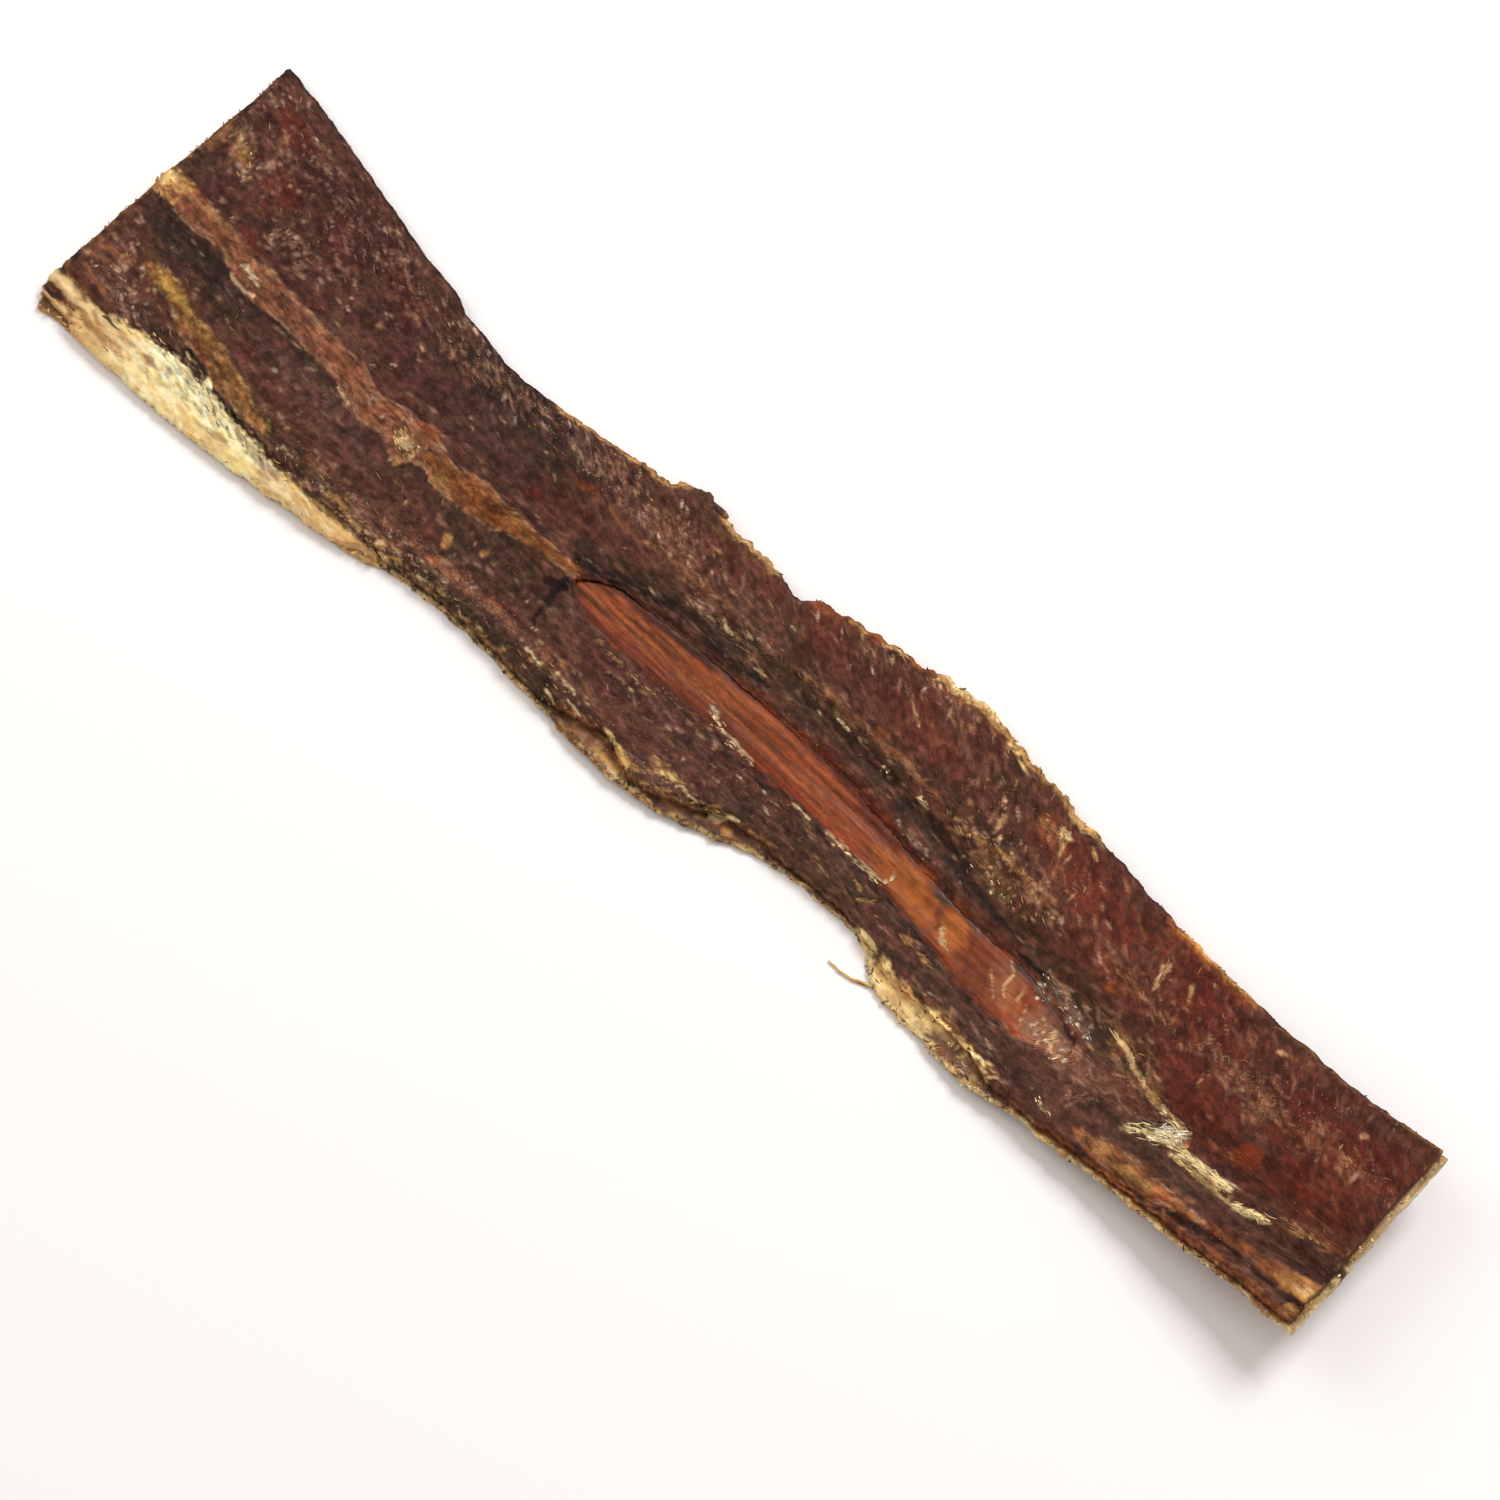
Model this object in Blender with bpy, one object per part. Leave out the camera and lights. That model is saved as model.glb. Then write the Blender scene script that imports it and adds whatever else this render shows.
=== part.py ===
"""Dried beef gullet strip, built as the layers that show in it.

Three closed solids lie on each other with a narrow gap between them:
  lining  the tan inner skin under everything, with the torn corner and the loose strand
  muscle  the dark meat on top, parted by a long opening that lets the lining show
  fat     the pale lumpy seam along the wide half of the lower side

X runs along the strip from its wide end, Y runs across it, Z is up.
The functions work in millimetres on a strip laid out flat, where the height of a point
is its distance from the underside. The last steps raise the narrow end, turn the
lengths into metres and put the origin at the bottom centre of the whole strip.
"""
import math

import bmesh
import bpy
from mathutils import Matrix, Vector, noise

# Driving sizes, in millimetres.
WIDE_END_X = -152.6
NARROW_END_X = 152.4
LINING_THICK = 0.95
MUSCLE_THICK = 1.9
FAT_THICK = 1.6
FAT_LEAST = 0.6
MUSCLE_LEAST = 0.75
LAYER_GAP = 0.3
RIM_WIDTH = 0.9
WIDE_END_RIM = 0.3
NARROW_END_RIM = 1.3
EDGE_ROUND = 0.55
EDGE_INSET = 1.1
END_SPAN = 6.0
RAISED_END = 9.6
RAISED_FROM_X = 58.0
RAISED_POWER = 1.7
OPENING_START_X = -34.2
OPENING_END_X = 93.0
OPENING_START_TAPER = 6.0
OPENING_END_TAPER = 12.0
OPENING_BULGE = 0.95
FOLD_HEIGHT = 0.16
FOLD_PITCH = 3.3
CREASE_RISE = 0.12
CREASE_BAND = (3.0, 9.0)
MEAT_FIBRE_TURN = (-3.0, -25.0, -60.0)
UPPER_HALF_Y = 6.0
FIBRE_STRETCH = 0.35
FAT_START_X = -152.6
FAT_END_X = -64.5
FAT_OVERHANG = 0.35
FAT_TAIL = 11.0
STRAND_RADIUS = 0.34
STRAND_TAPER = 0.4
STRAND_SIDES = 6

# Lift of the two long sides where they stand off the table: height, middle, half length.
LOWER_SIDE_LIFT = (1.1, -4.0, 20.0)
UPPER_SIDE_LIFT = (0.8, 20.0, 22.0)
LOWER_SIDE_BAND = (-14.0, -30.0)
UPPER_SIDE_BAND = (8.0, 22.0)
FAR_SIDE_LIFT = 0.7
FAR_SIDE_SPAN = (66.0, 84.0)

# Parts of the upper border that are torn finely, as (start, full, end of full, end).
TORN_SPAN = (-60.0, -40.0, 96.0, 112.0)

# Mesh steps, in millimetres.
MUSCLE_STEP = 2.7
LINING_STEP = 4.0
FAT_STEP = 2.2
FINE_STEP = 1.5
FINE_ZONES = ((-154.0, -149.0), (-36.0, -21.0), (-3.0, 3.0), (54.0, 60.0))
SNAP = 1e-5
METRE = 0.001

# Border lines as (along, across) stations.
UPPER_EDGE = (
    (-153.5, 35.7), (-130.0, 30.5), (-110.0, 25.4), (-93.0, 21.8), (-88.0, 19.6), (-70.0, 17.4),
    (-45.0, 19.3), (-22.0, 21.2), (-10.0, 21.2), (-1.0, 19.2), (1.0, 20.9), (8.0, 22.6), (22.0, 24.3),
    (33.0, 26.3), (38.5, 27.5), (42.0, 26.4), (50.0, 24.4), (62.0, 22.9), (75.0, 20.5),
    (100.0, 17.0), (130.0, 14.5), (155.0, 14.8),
)
LOWER_EDGE = (
    (-153.5, -30.6), (-151.8, -32.0), (-150.8, -34.6), (-146.0, -33.8), (-120.0, -34.2),
    (-100.0, -33.3), (-80.0, -31.2), (-68.0, -30.0), (-62.0, -27.9), (-40.0, -27.2),
    (-20.0, -28.9), (-3.0, -30.0), (8.0, -28.7), (17.0, -26.0), (28.0, -22.3), (40.0, -21.4),
    (51.0, -21.8), (59.0, -26.7), (72.0, -28.3), (82.0, -29.4), (92.0, -28.3), (110.0, -27.4),
    (135.0, -26.9), (155.0, -26.6),
)
MUSCLE_LOWER_EDGE = (
    (-153.5, -26.4), (-140.0, -27.2), (-128.0, -25.2), (-119.0, -24.4), (-100.0, -27.0),
    (-80.0, -28.1), (-60.0, -26.9), (-40.0, -26.3), (-20.0, -27.2), (-9.0, -25.0), (1.0, -28.0),
    (10.0, -25.2), (19.0, -21.4), (40.0, -20.4), (50.0, -20.7), (60.0, -23.2), (80.0, -24.8),
    (88.0, -27.0), (110.0, -26.2), (135.0, -26.0), (155.0, -25.8),
)
FAT_LIP = ((-153.5, -30.6), (-151.5, -31.8), (-149.0, -32.4), (-144.0, -32.8), (-140.0, -34.0))
OPENING_UPPER = (
    (-36.0, -2.6), (-25.0, -1.5), (-10.0, -0.9), (15.0, -1.0), (30.0, -2.0), (45.0, -4.2),
    (60.0, -6.5), (75.0, -7.2), (95.0, -9.4),
)
OPENING_LOWER = (
    (-36.0, -9.6), (-25.0, -10.7), (-10.0, -10.5), (0.0, -10.0), (20.0, -10.7), (45.0, -11.6),
    (60.0, -14.0), (75.0, -16.6), (95.0, -16.8),
)

# Raised and sunken lines of the meat and of the fat, as (along, across) stations.
BAND_LONG = ((-155.0, 2.6), (-130.0, -1.0), (-110.0, -3.4), (-90.0, -6.6), (-60.0, -6.4), (-36.0, -5.4))
BAND_SHORT = ((-141.0, -14.4), (-120.0, -18.4), (-100.0, -22.4), (-88.0, -25.0))
FURROW = ((-36.0, -2.0), (-20.0, 3.4), (0.0, 4.6), (32.0, 4.2), (50.0, 2.0), (75.0, -2.4), (117.0, -10.4))
SEAM = ((-46.0, 8.4), (-10.0, 8.8), (20.0, 8.6), (45.0, 7.2), (70.0, 6.8), (96.0, 5.0))
CRACK = ((-34.0, -6.0), (-36.0, -12.0), (-34.0, -18.0))
PLEAT_OUTER = ((103.0, -23.0), (116.0, -23.4), (131.0, -22.4))
PLEAT_INNER = ((130.0, -20.2), (142.0, -19.4), (157.0, -20.4))
GROOVE_OUTER = ((108.0, -26.2), (124.0, -24.6), (138.0, -23.0), (157.0, -23.4))
GROOVE_INNER = ((118.0, -16.8), (134.0, -16.8), (146.0, -16.0), (157.0, -16.2))
SINEW = ((107.0, -15.6), (117.0, -13.0), (131.0, -14.6), (148.0, -12.6))
POCKET = ((-156.0, -30.2), (-150.0, -30.4), (-143.5, -30.8))

# Each line with its half width and its rise over the meat around it.
MEAT_LINES = (
    (BAND_LONG, 3.4, 0.45), (BAND_SHORT, 2.4, 0.4), (FURROW, 3.2, -0.75), (SEAM, 1.8, 0.3),
    (CRACK, 1.4, -0.7), (PLEAT_OUTER, 2.0, 0.55), (PLEAT_INNER, 1.9, 0.6),
    (GROOVE_OUTER, 1.2, -0.8), (GROOVE_INNER, 1.4, -0.7), (SINEW, 1.8, 0.45),
)
FAT_LINES = ((POCKET, 0.9, -1.5),)

# A line fades to this part of its rise over this share of its length at each tip.
TIP_RISE = 0.35
TIP_SHARE = 0.1

# Curl on the upper edge: middle, half length, reach outwards, height.
CURL_X = -28.0
CURL_HALF = 6.2
CURL_REACH = 2.6
CURL_HEIGHT = 1.5

# Loose strand on the table beside the lower edge, as (along, across, up).
STRAND = (
    (62.0, -25.4, 0.5), (57.8, -26.8, 0.46), (54.8, -28.0, 0.38), (52.2, -28.4, 0.36), (49.8, -28.3, 0.35),
)

# Rows of each skin, as shares of the width between two borders.
MUSCLE_TOP_SHARES = (0.0, 0.05, 0.14, 0.24, 0.35, 0.46, 0.57, 0.68, 0.79, 0.89, 0.97, 1.0)
MUSCLE_UNDER_SHARES = (0.0, 0.34, 0.67, 1.0)
LINING_SIDE_SHARES = (0.0, 0.05, 0.35, 0.68, 1.0)
LINING_MIDDLE_SHARES = (0.0, 0.2, 0.4, 0.6, 0.8, 1.0)
LINING_UNDER_SHARES = (0.0, 0.06, 0.25, 0.5, 0.75, 0.94, 1.0)
FAT_TOP_SHARES = (0.0, 0.14, 0.38, 0.62, 0.86, 1.0)
FAT_UNDER_SHARES = (0.0, 0.5, 1.0)

# Soft random relief: height, cell size, seed.
EVEN_TOOTH = (0.25, 2.6, 1.5)
TORN_TOOTH = (0.55, 2.6, 1.5)
SIDE_WAVE = (0.35, 9.0, 2.5)
LOWER_TEAR = (0.45, 3.4, 4.5)
MEAT_TEAR = (0.5, 4.0, 6.5)
OPENING_LOWER_TEAR = (0.3, 3.0, 8.5)
OPENING_UPPER_TEAR = (0.25, 4.0, 9.5)
LINING_SWELL = (0.14, 26.0, 7.5)
LINING_GRAIN = (0.12, 1.6, 3.5)
CREASE = (0.42, 11.0, 5.5)
FIBRE = (0.3, 3.4, 12.5)
MEAT_SWELL = (0.35, 17.0, 13.5)
FAT_LUMP = (0.75, 4.6, 15.5)
FAT_SWELL = (0.5, 11.0, 16.5)
END_WAVER = (0.4, 7.0, 21.5)

MUSCLE_COLOUR = (0.09, 0.032, 0.024, 1.0)
LINING_COLOUR = (0.36, 0.13, 0.045, 1.0)
FAT_COLOUR = (0.78, 0.66, 0.33, 1.0)


def smooth(low, high, value):
    """Ease from 0 at low to 1 at high."""
    share = min(max((value - low) / (high - low), 0.0), 1.0)
    return share * share * (3.0 - 2.0 * share)


def bell(offset, half_width):
    """Rounded bump of height one around zero."""
    return math.exp(-(offset / half_width) ** 2)


def line_at(stations, x):
    """Smooth curve through the stations, level beyond the first and the last."""
    if x <= stations[0][0]:
        return stations[0][1]
    if x >= stations[-1][0]:
        return stations[-1][1]
    index = 0
    while stations[index + 1][0] < x:
        index += 1
    x0, y0 = stations[index]
    x1, y1 = stations[index + 1]
    before = stations[max(index - 1, 0)]
    after = stations[min(index + 2, len(stations) - 1)]
    slope0 = (y1 - before[1]) / (x1 - before[0])
    slope1 = (after[1] - y0) / (after[0] - x0)
    span = x1 - x0
    t = (x - x0) / span
    start = (1.0 + 2.0 * t) * (1.0 - t) ** 2
    end = t * t * (3.0 - 2.0 * t)
    leave = t * (1.0 - t) ** 2
    arrive = t * t * (t - 1.0)
    return start * y0 + end * y1 + span * (leave * slope0 + arrive * slope1)


def hill(shape, x):
    """Bump given as height, middle and half length."""
    height, middle, half = shape
    return height * bell(x - middle, half)


def grain(kind, x, y):
    """Soft random height that changes over one cell of its kind."""
    height, cell, seed = kind
    return height * noise.noise(Vector((x / cell, y / cell, seed)))


def distance_to_line(stations, x, y):
    """Distance to a line of stations and the share of its length at the nearest point."""
    best = None
    best_share = 0.0
    count = len(stations) - 1
    for index in range(count):
        x0, y0 = stations[index]
        x1, y1 = stations[index + 1]
        dx = x1 - x0
        dy = y1 - y0
        t = ((x - x0) * dx + (y - y0) * dy) / (dx * dx + dy * dy)
        t = min(max(t, 0.0), 1.0)
        gap = math.hypot(x - x0 - t * dx, y - y0 - t * dy)
        if best is None or gap < best:
            best = gap
            best_share = (index + t) / count
    return best, best_share


def line_relief(lines, x, y):
    """Sum of the raised and sunken lines at a point."""
    height = 0.0
    for stations, half_width, rise in lines:
        gap, share = distance_to_line(stations, x, y)
        fade_in = 1.0 if stations[0][0] < WIDE_END_X else smooth(0.0, TIP_SHARE, share)
        fade_out = 1.0 if stations[-1][0] > NARROW_END_X else smooth(1.0, 1.0 - TIP_SHARE, share)
        height += rise * bell(gap, half_width) * (TIP_RISE + (1.0 - TIP_RISE) * fade_in * fade_out)
    return height


def upper_edge(x):
    """Jagged upper border of the whole strip."""
    torn = smooth(TORN_SPAN[0], TORN_SPAN[1], x) * smooth(TORN_SPAN[3], TORN_SPAN[2], x)
    tooth = grain(EVEN_TOOTH, x, 0.0) + torn * grain(TORN_TOOTH, x, 0.0) + grain(SIDE_WAVE, x, 0.0)
    curl = CURL_REACH * bell(x - CURL_X, CURL_HALF) ** 2
    return line_at(UPPER_EDGE, x) + tooth + curl


def lower_edge(x):
    """Torn lower border of the whole strip."""
    return line_at(LOWER_EDGE, x) + grain(LOWER_TEAR, x, 0.0)


def muscle_lower_edge(x):
    """Lower border of the meat, always inside the border of the lining."""
    line = line_at(MUSCLE_LOWER_EDGE, x) + grain(MEAT_TEAR, x, 0.0)
    return max(line, lower_edge(x) + RIM_WIDTH)


def opening(x):
    """Lower and upper border of the opening in the meat; they meet at both tips."""
    low = line_at(OPENING_LOWER, x) + grain(OPENING_LOWER_TEAR, x, 0.0)
    high = line_at(OPENING_UPPER, x) + grain(OPENING_UPPER_TEAR, x, 0.0)
    start = min(max((x - OPENING_START_X) / OPENING_START_TAPER, 0.0), 1.0)
    end = min(max((OPENING_END_X - x) / OPENING_END_TAPER, 0.0), 1.0)
    share = math.sqrt(start * end)
    middle = 0.5 * (low + high)
    half = 0.5 * (high - low) * share
    return middle - half, middle + half


def lining_bulge(x, y):
    """Cushion of the lining inside the opening, with its lengthwise folds."""
    low, high = opening(x)
    half = 0.5 * (high - low) - LAYER_GAP
    if half < LINING_THICK:
        return 0.0
    share = (y - 0.5 * (low + high)) / half
    if abs(share) >= 1.0:
        return 0.0
    dome = math.sqrt(1.0 - share * share) * smooth(LINING_THICK, 3.0 * LINING_THICK, half)
    folds = FOLD_HEIGHT * math.sin(2.0 * math.pi * y / FOLD_PITCH)
    return (OPENING_BULGE + folds + grain(LINING_GRAIN, FIBRE_STRETCH * x, y)) * dome


def lining_back(x, y):
    """Height of the lining where another layer lies on it."""
    return LINING_THICK + grain(LINING_SWELL, x, y)


def lining_top(x, y):
    """Upper skin of the lining."""
    return lining_back(x, y) + lining_bulge(x, y)


def lining_under(x, y):
    """Underside: flat in the middle, creased near the long borders."""
    inside = min(y - lower_edge(x), upper_edge(x) - y)
    crease = CREASE_RISE + grain(CREASE, x, 2.0 * y)
    return max(crease, 0.0) * smooth(CREASE_BAND[1], CREASE_BAND[0], inside)


def layer_under(x, y):
    """Underside of the meat and of the fat, one gap above the lining."""
    return lining_back(x, y) + LAYER_GAP


def muscle_top(x, y):
    """Upper skin of the meat, rounded down at every border."""
    low, high = opening(x)
    reach = min(y - muscle_lower_edge(x), upper_edge(x) - y)
    if high - low > LAYER_GAP:
        reach = min(reach, low - y if y <= 0.5 * (low + high) else y - high)
    rounding = EDGE_ROUND * smooth(EDGE_INSET, 0.0, reach)
    edge = line_at(UPPER_EDGE, x)
    curl = CURL_HEIGHT * bell(x - CURL_X, CURL_HALF) * smooth(edge - 2.0 * CURL_REACH, edge, y)
    level, shallow, steep = MEAT_FIBRE_TURN
    degrees = shallow + (steep - shallow) * smooth(OPENING_START_X, OPENING_END_X, x)
    turn = math.radians(degrees if y > UPPER_HALF_Y else level)
    along = x * math.cos(turn) + y * math.sin(turn)
    across = y * math.cos(turn) - x * math.sin(turn)
    fibre = grain(FIBRE, FIBRE_STRETCH * along, across) + grain(MEAT_SWELL, x, y)
    thick = MUSCLE_THICK + line_relief(MEAT_LINES, x, y) + fibre + curl - rounding
    return layer_under(x, y) + max(thick, MUSCLE_LEAST)


def fat_upper(x):
    """Inner border of the fat, one gap outside the meat."""
    return muscle_lower_edge(x) - LAYER_GAP


def fat_lower(x):
    """Outer border of the fat: a lip at the torn corner, then the border of the strip."""
    outer = smooth(FAT_LIP[-2][0], FAT_LIP[-1][0], x)
    line = line_at(FAT_LIP, x) * (1.0 - outer) + (lower_edge(x) - FAT_OVERHANG) * outer
    inner = fat_upper(x)
    tail = smooth(FAT_END_X, FAT_END_X - FAT_TAIL, x)
    return inner - max((inner - line) * tail, RIM_WIDTH)


def fat_top(x, y):
    """Lumpy upper skin of the fat, sunken where the corner is torn open."""
    low = fat_lower(x)
    high = fat_upper(x)
    share = 2.0 * (y - low) / (high - low) - 1.0
    crown = math.sqrt(max(1.0 - share * share, 0.0))
    lumps = grain(FAT_LUMP, x, y) + grain(FAT_SWELL, x, y)
    thick = FAT_LEAST + (FAT_THICK - FAT_LEAST + lumps) * crown + line_relief(FAT_LINES, x, y)
    return layer_under(x, y) + max(thick, FAT_LEAST)


def raised(x, y):
    """Height of the underside of the strip over the table."""
    share = max(x - RAISED_FROM_X, 0.0) / (NARROW_END_X - RAISED_FROM_X)
    lower_lift = hill(LOWER_SIDE_LIFT, x) + FAR_SIDE_LIFT * smooth(*FAR_SIDE_SPAN, x)
    lower_lift *= smooth(*LOWER_SIDE_BAND, y)
    upper_lift = hill(UPPER_SIDE_LIFT, x) * smooth(*UPPER_SIDE_BAND, y)
    return RAISED_END * share ** RAISED_POWER + lower_lift + upper_lift


def bent(point):
    """Point of the flat strip moved to where it lies on the table, in metres."""
    x, y, height = point
    at_wide_end = smooth(WIDE_END_X + END_SPAN, WIDE_END_X, x)
    at_narrow_end = smooth(NARROW_END_X - END_SPAN, NARROW_END_X, x)
    x += grain(END_WAVER, y, 0.0) * (at_wide_end + at_narrow_end)
    base = raised(x, y)
    slope_x = raised(x + 0.5, y) - raised(x - 0.5, y)
    slope_y = raised(x, y + 0.5) - raised(x, y - 0.5)
    stretch = height / math.sqrt(1.0 + slope_x ** 2 + slope_y ** 2)
    return Vector((x - slope_x * stretch, y - slope_y * stretch, base + stretch)) * METRE


def columns(start, end, step):
    """Places along the strip where a skin has its corners."""
    places = [start]
    while places[-1] < end - step:
        here = places[-1]
        fine = any(low <= here < high for low, high in FINE_ZONES)
        places.append(here + (min(FINE_STEP, step) if fine else step))
    places.append(end)
    return places


def spread(low, high, shares):
    """Rows between two borders at the given shares of the width."""
    return [low + (high - low) * share for share in shares]


def mirrored(shares):
    """Shares counted from the other border."""
    return tuple(1.0 - share for share in reversed(shares))


def column_of(x, rows, height):
    """Corners of one column on a skin given by its height function."""
    return [(x, y, height(x, y)) for y in rows]


class ClosedMesh:
    """Faces of one closed solid; corners at the same place are shared."""

    def __init__(self):
        self.mesh = bmesh.new()
        self.corners = {}

    def face(self, *points):
        """Face through the points, left out where it has no area."""
        ring = []
        for point in points:
            key = tuple(round(value / SNAP) for value in point)
            if key not in self.corners:
                self.corners[key] = self.mesh.verts.new(point)
            if self.corners[key] not in ring:
                ring.append(self.corners[key])
        if len(ring) > 2:
            self.mesh.faces.new(ring)

    def skin(self, grid):
        """Faces between neighbouring columns of corners."""
        for near, far in zip(grid, grid[1:]):
            self.wall(near, far)

    def wall(self, first, second):
        """Faces between two lines with the same number of corners."""
        for index in range(len(first) - 1):
            self.face(first[index], first[index + 1], second[index + 1], second[index])

    def end_wall(self, upper, lower):
        """Faces between two lines across the strip with different numbers of corners."""
        above = 0
        below = 0
        while above < len(upper) - 1 or below < len(lower) - 1:
            step_above = below == len(lower) - 1
            if not step_above and above < len(upper) - 1:
                step_above = upper[above + 1][1] <= lower[below + 1][1] + SNAP
            if step_above:
                self.face(upper[above], upper[above + 1], lower[below])
                above += 1
            else:
                self.face(upper[above], lower[below + 1], lower[below])
                below += 1

    def sheet(self, top, under):
        """Both skins of one band with its end walls; the long sides stay open."""
        self.skin(top)
        self.skin(under)
        self.end_wall(top[0], under[0])
        self.end_wall(top[-1], under[-1])

    def side(self, top, under, row):
        """Wall along one long border of a band; row is 0 or -1."""
        self.wall([column[row] for column in top], [column[row] for column in under])

    def build(self, name, colour):
        """Bend the strip, triangulate it and make an object of it."""
        for corner in self.mesh.verts:
            corner.co = bent(corner.co)
        bmesh.ops.triangulate(self.mesh, faces=self.mesh.faces[:])
        bmesh.ops.recalc_face_normals(self.mesh, faces=self.mesh.faces[:])
        data = bpy.data.meshes.new(name)
        self.mesh.to_mesh(data)
        self.mesh.free()
        part = bpy.data.objects.new(name, data)
        bpy.context.scene.collection.objects.link(part)
        material = bpy.data.materials.new(name + "_finish")
        material.use_nodes = True
        shader = material.node_tree.nodes["Principled BSDF"]
        shader.inputs["Base Color"].default_value = colour
        shader.inputs["Roughness"].default_value = 0.5
        data.materials.append(material)
        return part


def build_muscle():
    """Meat in a lower and an upper band, which part along the opening."""
    solid = ClosedMesh()
    places = columns(WIDE_END_X, NARROW_END_X, MUSCLE_STEP)
    inner_shares = mirrored(MUSCLE_TOP_SHARES)
    lower_top = []
    lower_under = []
    upper_top = []
    upper_under = []
    for x in places:
        low, high = opening(x)
        bottom = muscle_lower_edge(x)
        top = upper_edge(x)
        lower_top.append(column_of(x, spread(bottom, low, MUSCLE_TOP_SHARES), muscle_top))
        lower_under.append(column_of(x, spread(bottom, low, MUSCLE_UNDER_SHARES), layer_under))
        upper_top.append(column_of(x, spread(high, top, inner_shares), muscle_top))
        upper_under.append(column_of(x, spread(high, top, mirrored(MUSCLE_UNDER_SHARES)), layer_under))
    solid.sheet(lower_top, lower_under)
    solid.sheet(upper_top, upper_under)
    solid.side(lower_top, lower_under, 0)
    solid.side(upper_top, upper_under, -1)
    for index in range(len(places) - 1):
        near_gap = upper_top[index][0][1] - lower_top[index][-1][1]
        far_gap = upper_top[index + 1][0][1] - lower_top[index + 1][-1][1]
        if max(near_gap, far_gap) > SNAP:
            pair = slice(index, index + 2)
            solid.side(lower_top[pair], lower_under[pair], -1)
            solid.side(upper_top[pair], upper_under[pair], 0)
    return solid.build("muscle", MUSCLE_COLOUR)


def build_lining():
    """Inner skin under the meat and the fat."""
    solid = ClosedMesh()
    top = []
    under = []
    for x in columns(WIDE_END_X - WIDE_END_RIM, NARROW_END_X + NARROW_END_RIM, LINING_STEP):
        bottom = lower_edge(x)
        edge = upper_edge(x) - LAYER_GAP
        low = line_at(OPENING_LOWER, x)
        high = line_at(OPENING_UPPER, x)
        if OPENING_START_X < x < OPENING_END_X:
            low, high = opening(x)
        rows = spread(bottom, low, LINING_SIDE_SHARES)
        rows += spread(low, high, LINING_MIDDLE_SHARES)[1:]
        rows += spread(high, edge, mirrored(LINING_SIDE_SHARES))[1:]
        top.append(column_of(x, rows, lining_top))
        under.append(column_of(x, spread(bottom, edge, LINING_UNDER_SHARES), lining_under))
    solid.sheet(top, under)
    solid.side(top, under, 0)
    solid.side(top, under, -1)
    return solid.build("lining", LINING_COLOUR)


def build_fat():
    """Pale seam along the lower side of the wide half."""
    solid = ClosedMesh()
    top = []
    under = []
    for x in columns(FAT_START_X, FAT_END_X, FAT_STEP):
        low = fat_lower(x)
        high = fat_upper(x)
        top.append(column_of(x, spread(low, high, FAT_TOP_SHARES), fat_top))
        under.append(column_of(x, spread(low, high, FAT_UNDER_SHARES), layer_under))
    solid.sheet(top, under)
    solid.side(top, under, 0)
    solid.side(top, under, -1)
    return solid.build("fat", FAT_COLOUR)


def build_strand():
    """Loose strand, a tapering rod that starts inside the lining."""
    solid = ClosedMesh()
    rings = []
    count = len(STRAND)
    for index, (x, y, up) in enumerate(STRAND):
        before = STRAND[max(index - 1, 0)]
        after = STRAND[min(index + 1, count - 1)]
        heading = math.atan2(after[1] - before[1], after[0] - before[0]) + 0.5 * math.pi
        radius = STRAND_RADIUS * (1.0 - STRAND_TAPER * index / (count - 1))
        ring = []
        for side in range(STRAND_SIDES):
            angle = 2.0 * math.pi * side / STRAND_SIDES
            out = radius * math.cos(angle)
            height = up + radius * math.sin(angle)
            ring.append((x + out * math.cos(heading), y + out * math.sin(heading), height))
        rings.append(ring + [ring[0]])
    solid.skin(rings)
    solid.face(*rings[0][:-1])
    solid.face(*rings[-1][:-1])
    return solid.build("strand", LINING_COLOUR)


def fuse(part, piece):
    """Join a piece into a part with one applied union and remove the piece."""
    group = bpy.data.collections.new("fused_bits")
    bpy.context.scene.collection.children.link(group)
    bpy.context.scene.collection.objects.unlink(piece)
    group.objects.link(piece)
    union = part.modifiers.new("union", "BOOLEAN")
    union.operation = "UNION"
    union.operand_type = "COLLECTION"
    union.collection = group
    union.solver = "MANIFOLD"
    graph = bpy.context.evaluated_depsgraph_get()
    joined = bpy.data.meshes.new_from_object(part.evaluated_get(graph))
    part.modifiers.remove(union)
    joined.name = part.name
    part.data = joined
    bpy.data.objects.remove(piece)
    bpy.data.collections.remove(group)
    mesh = bmesh.new()
    mesh.from_mesh(joined)
    bmesh.ops.triangulate(mesh, faces=mesh.faces[:])
    mesh.to_mesh(joined)
    mesh.free()


def centre(parts):
    """Put the origin at the bottom centre of everything."""
    corners = [corner.co for part in parts for corner in part.data.vertices]
    low = Vector([min(corner[axis] for corner in corners) for axis in range(3)])
    high = Vector([max(corner[axis] for corner in corners) for axis in range(3)])
    shift = Vector((-0.5 * (low.x + high.x), -0.5 * (low.y + high.y), -low.z))
    for part in parts:
        part.data.transform(Matrix.Translation(shift))


def main():
    """Clear the scene and build the strip."""
    for old in list(bpy.data.objects):
        bpy.data.objects.remove(old)
    lining = build_lining()
    fuse(lining, build_strand())
    muscle = build_muscle()
    fat = build_fat()
    centre([lining, muscle, fat])


main()
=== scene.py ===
"""Looks of the dried beef gullet strip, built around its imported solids.

The pieces are shaped on a strip laid out flat, in millimetres: x along it from the wide
end, y across it, height above its underside. The last step of each piece bends the strip
to where it lies and turns the lengths into metres. Colours are painted where the camera
sees them, on the level of the meat, which is the frame that the painted places are in.
"""

import logging
import math
from dataclasses import dataclass, field
from enum import Enum
from typing import Callable

import bmesh
import bpy
import numpy as np
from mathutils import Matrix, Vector, noise


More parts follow.
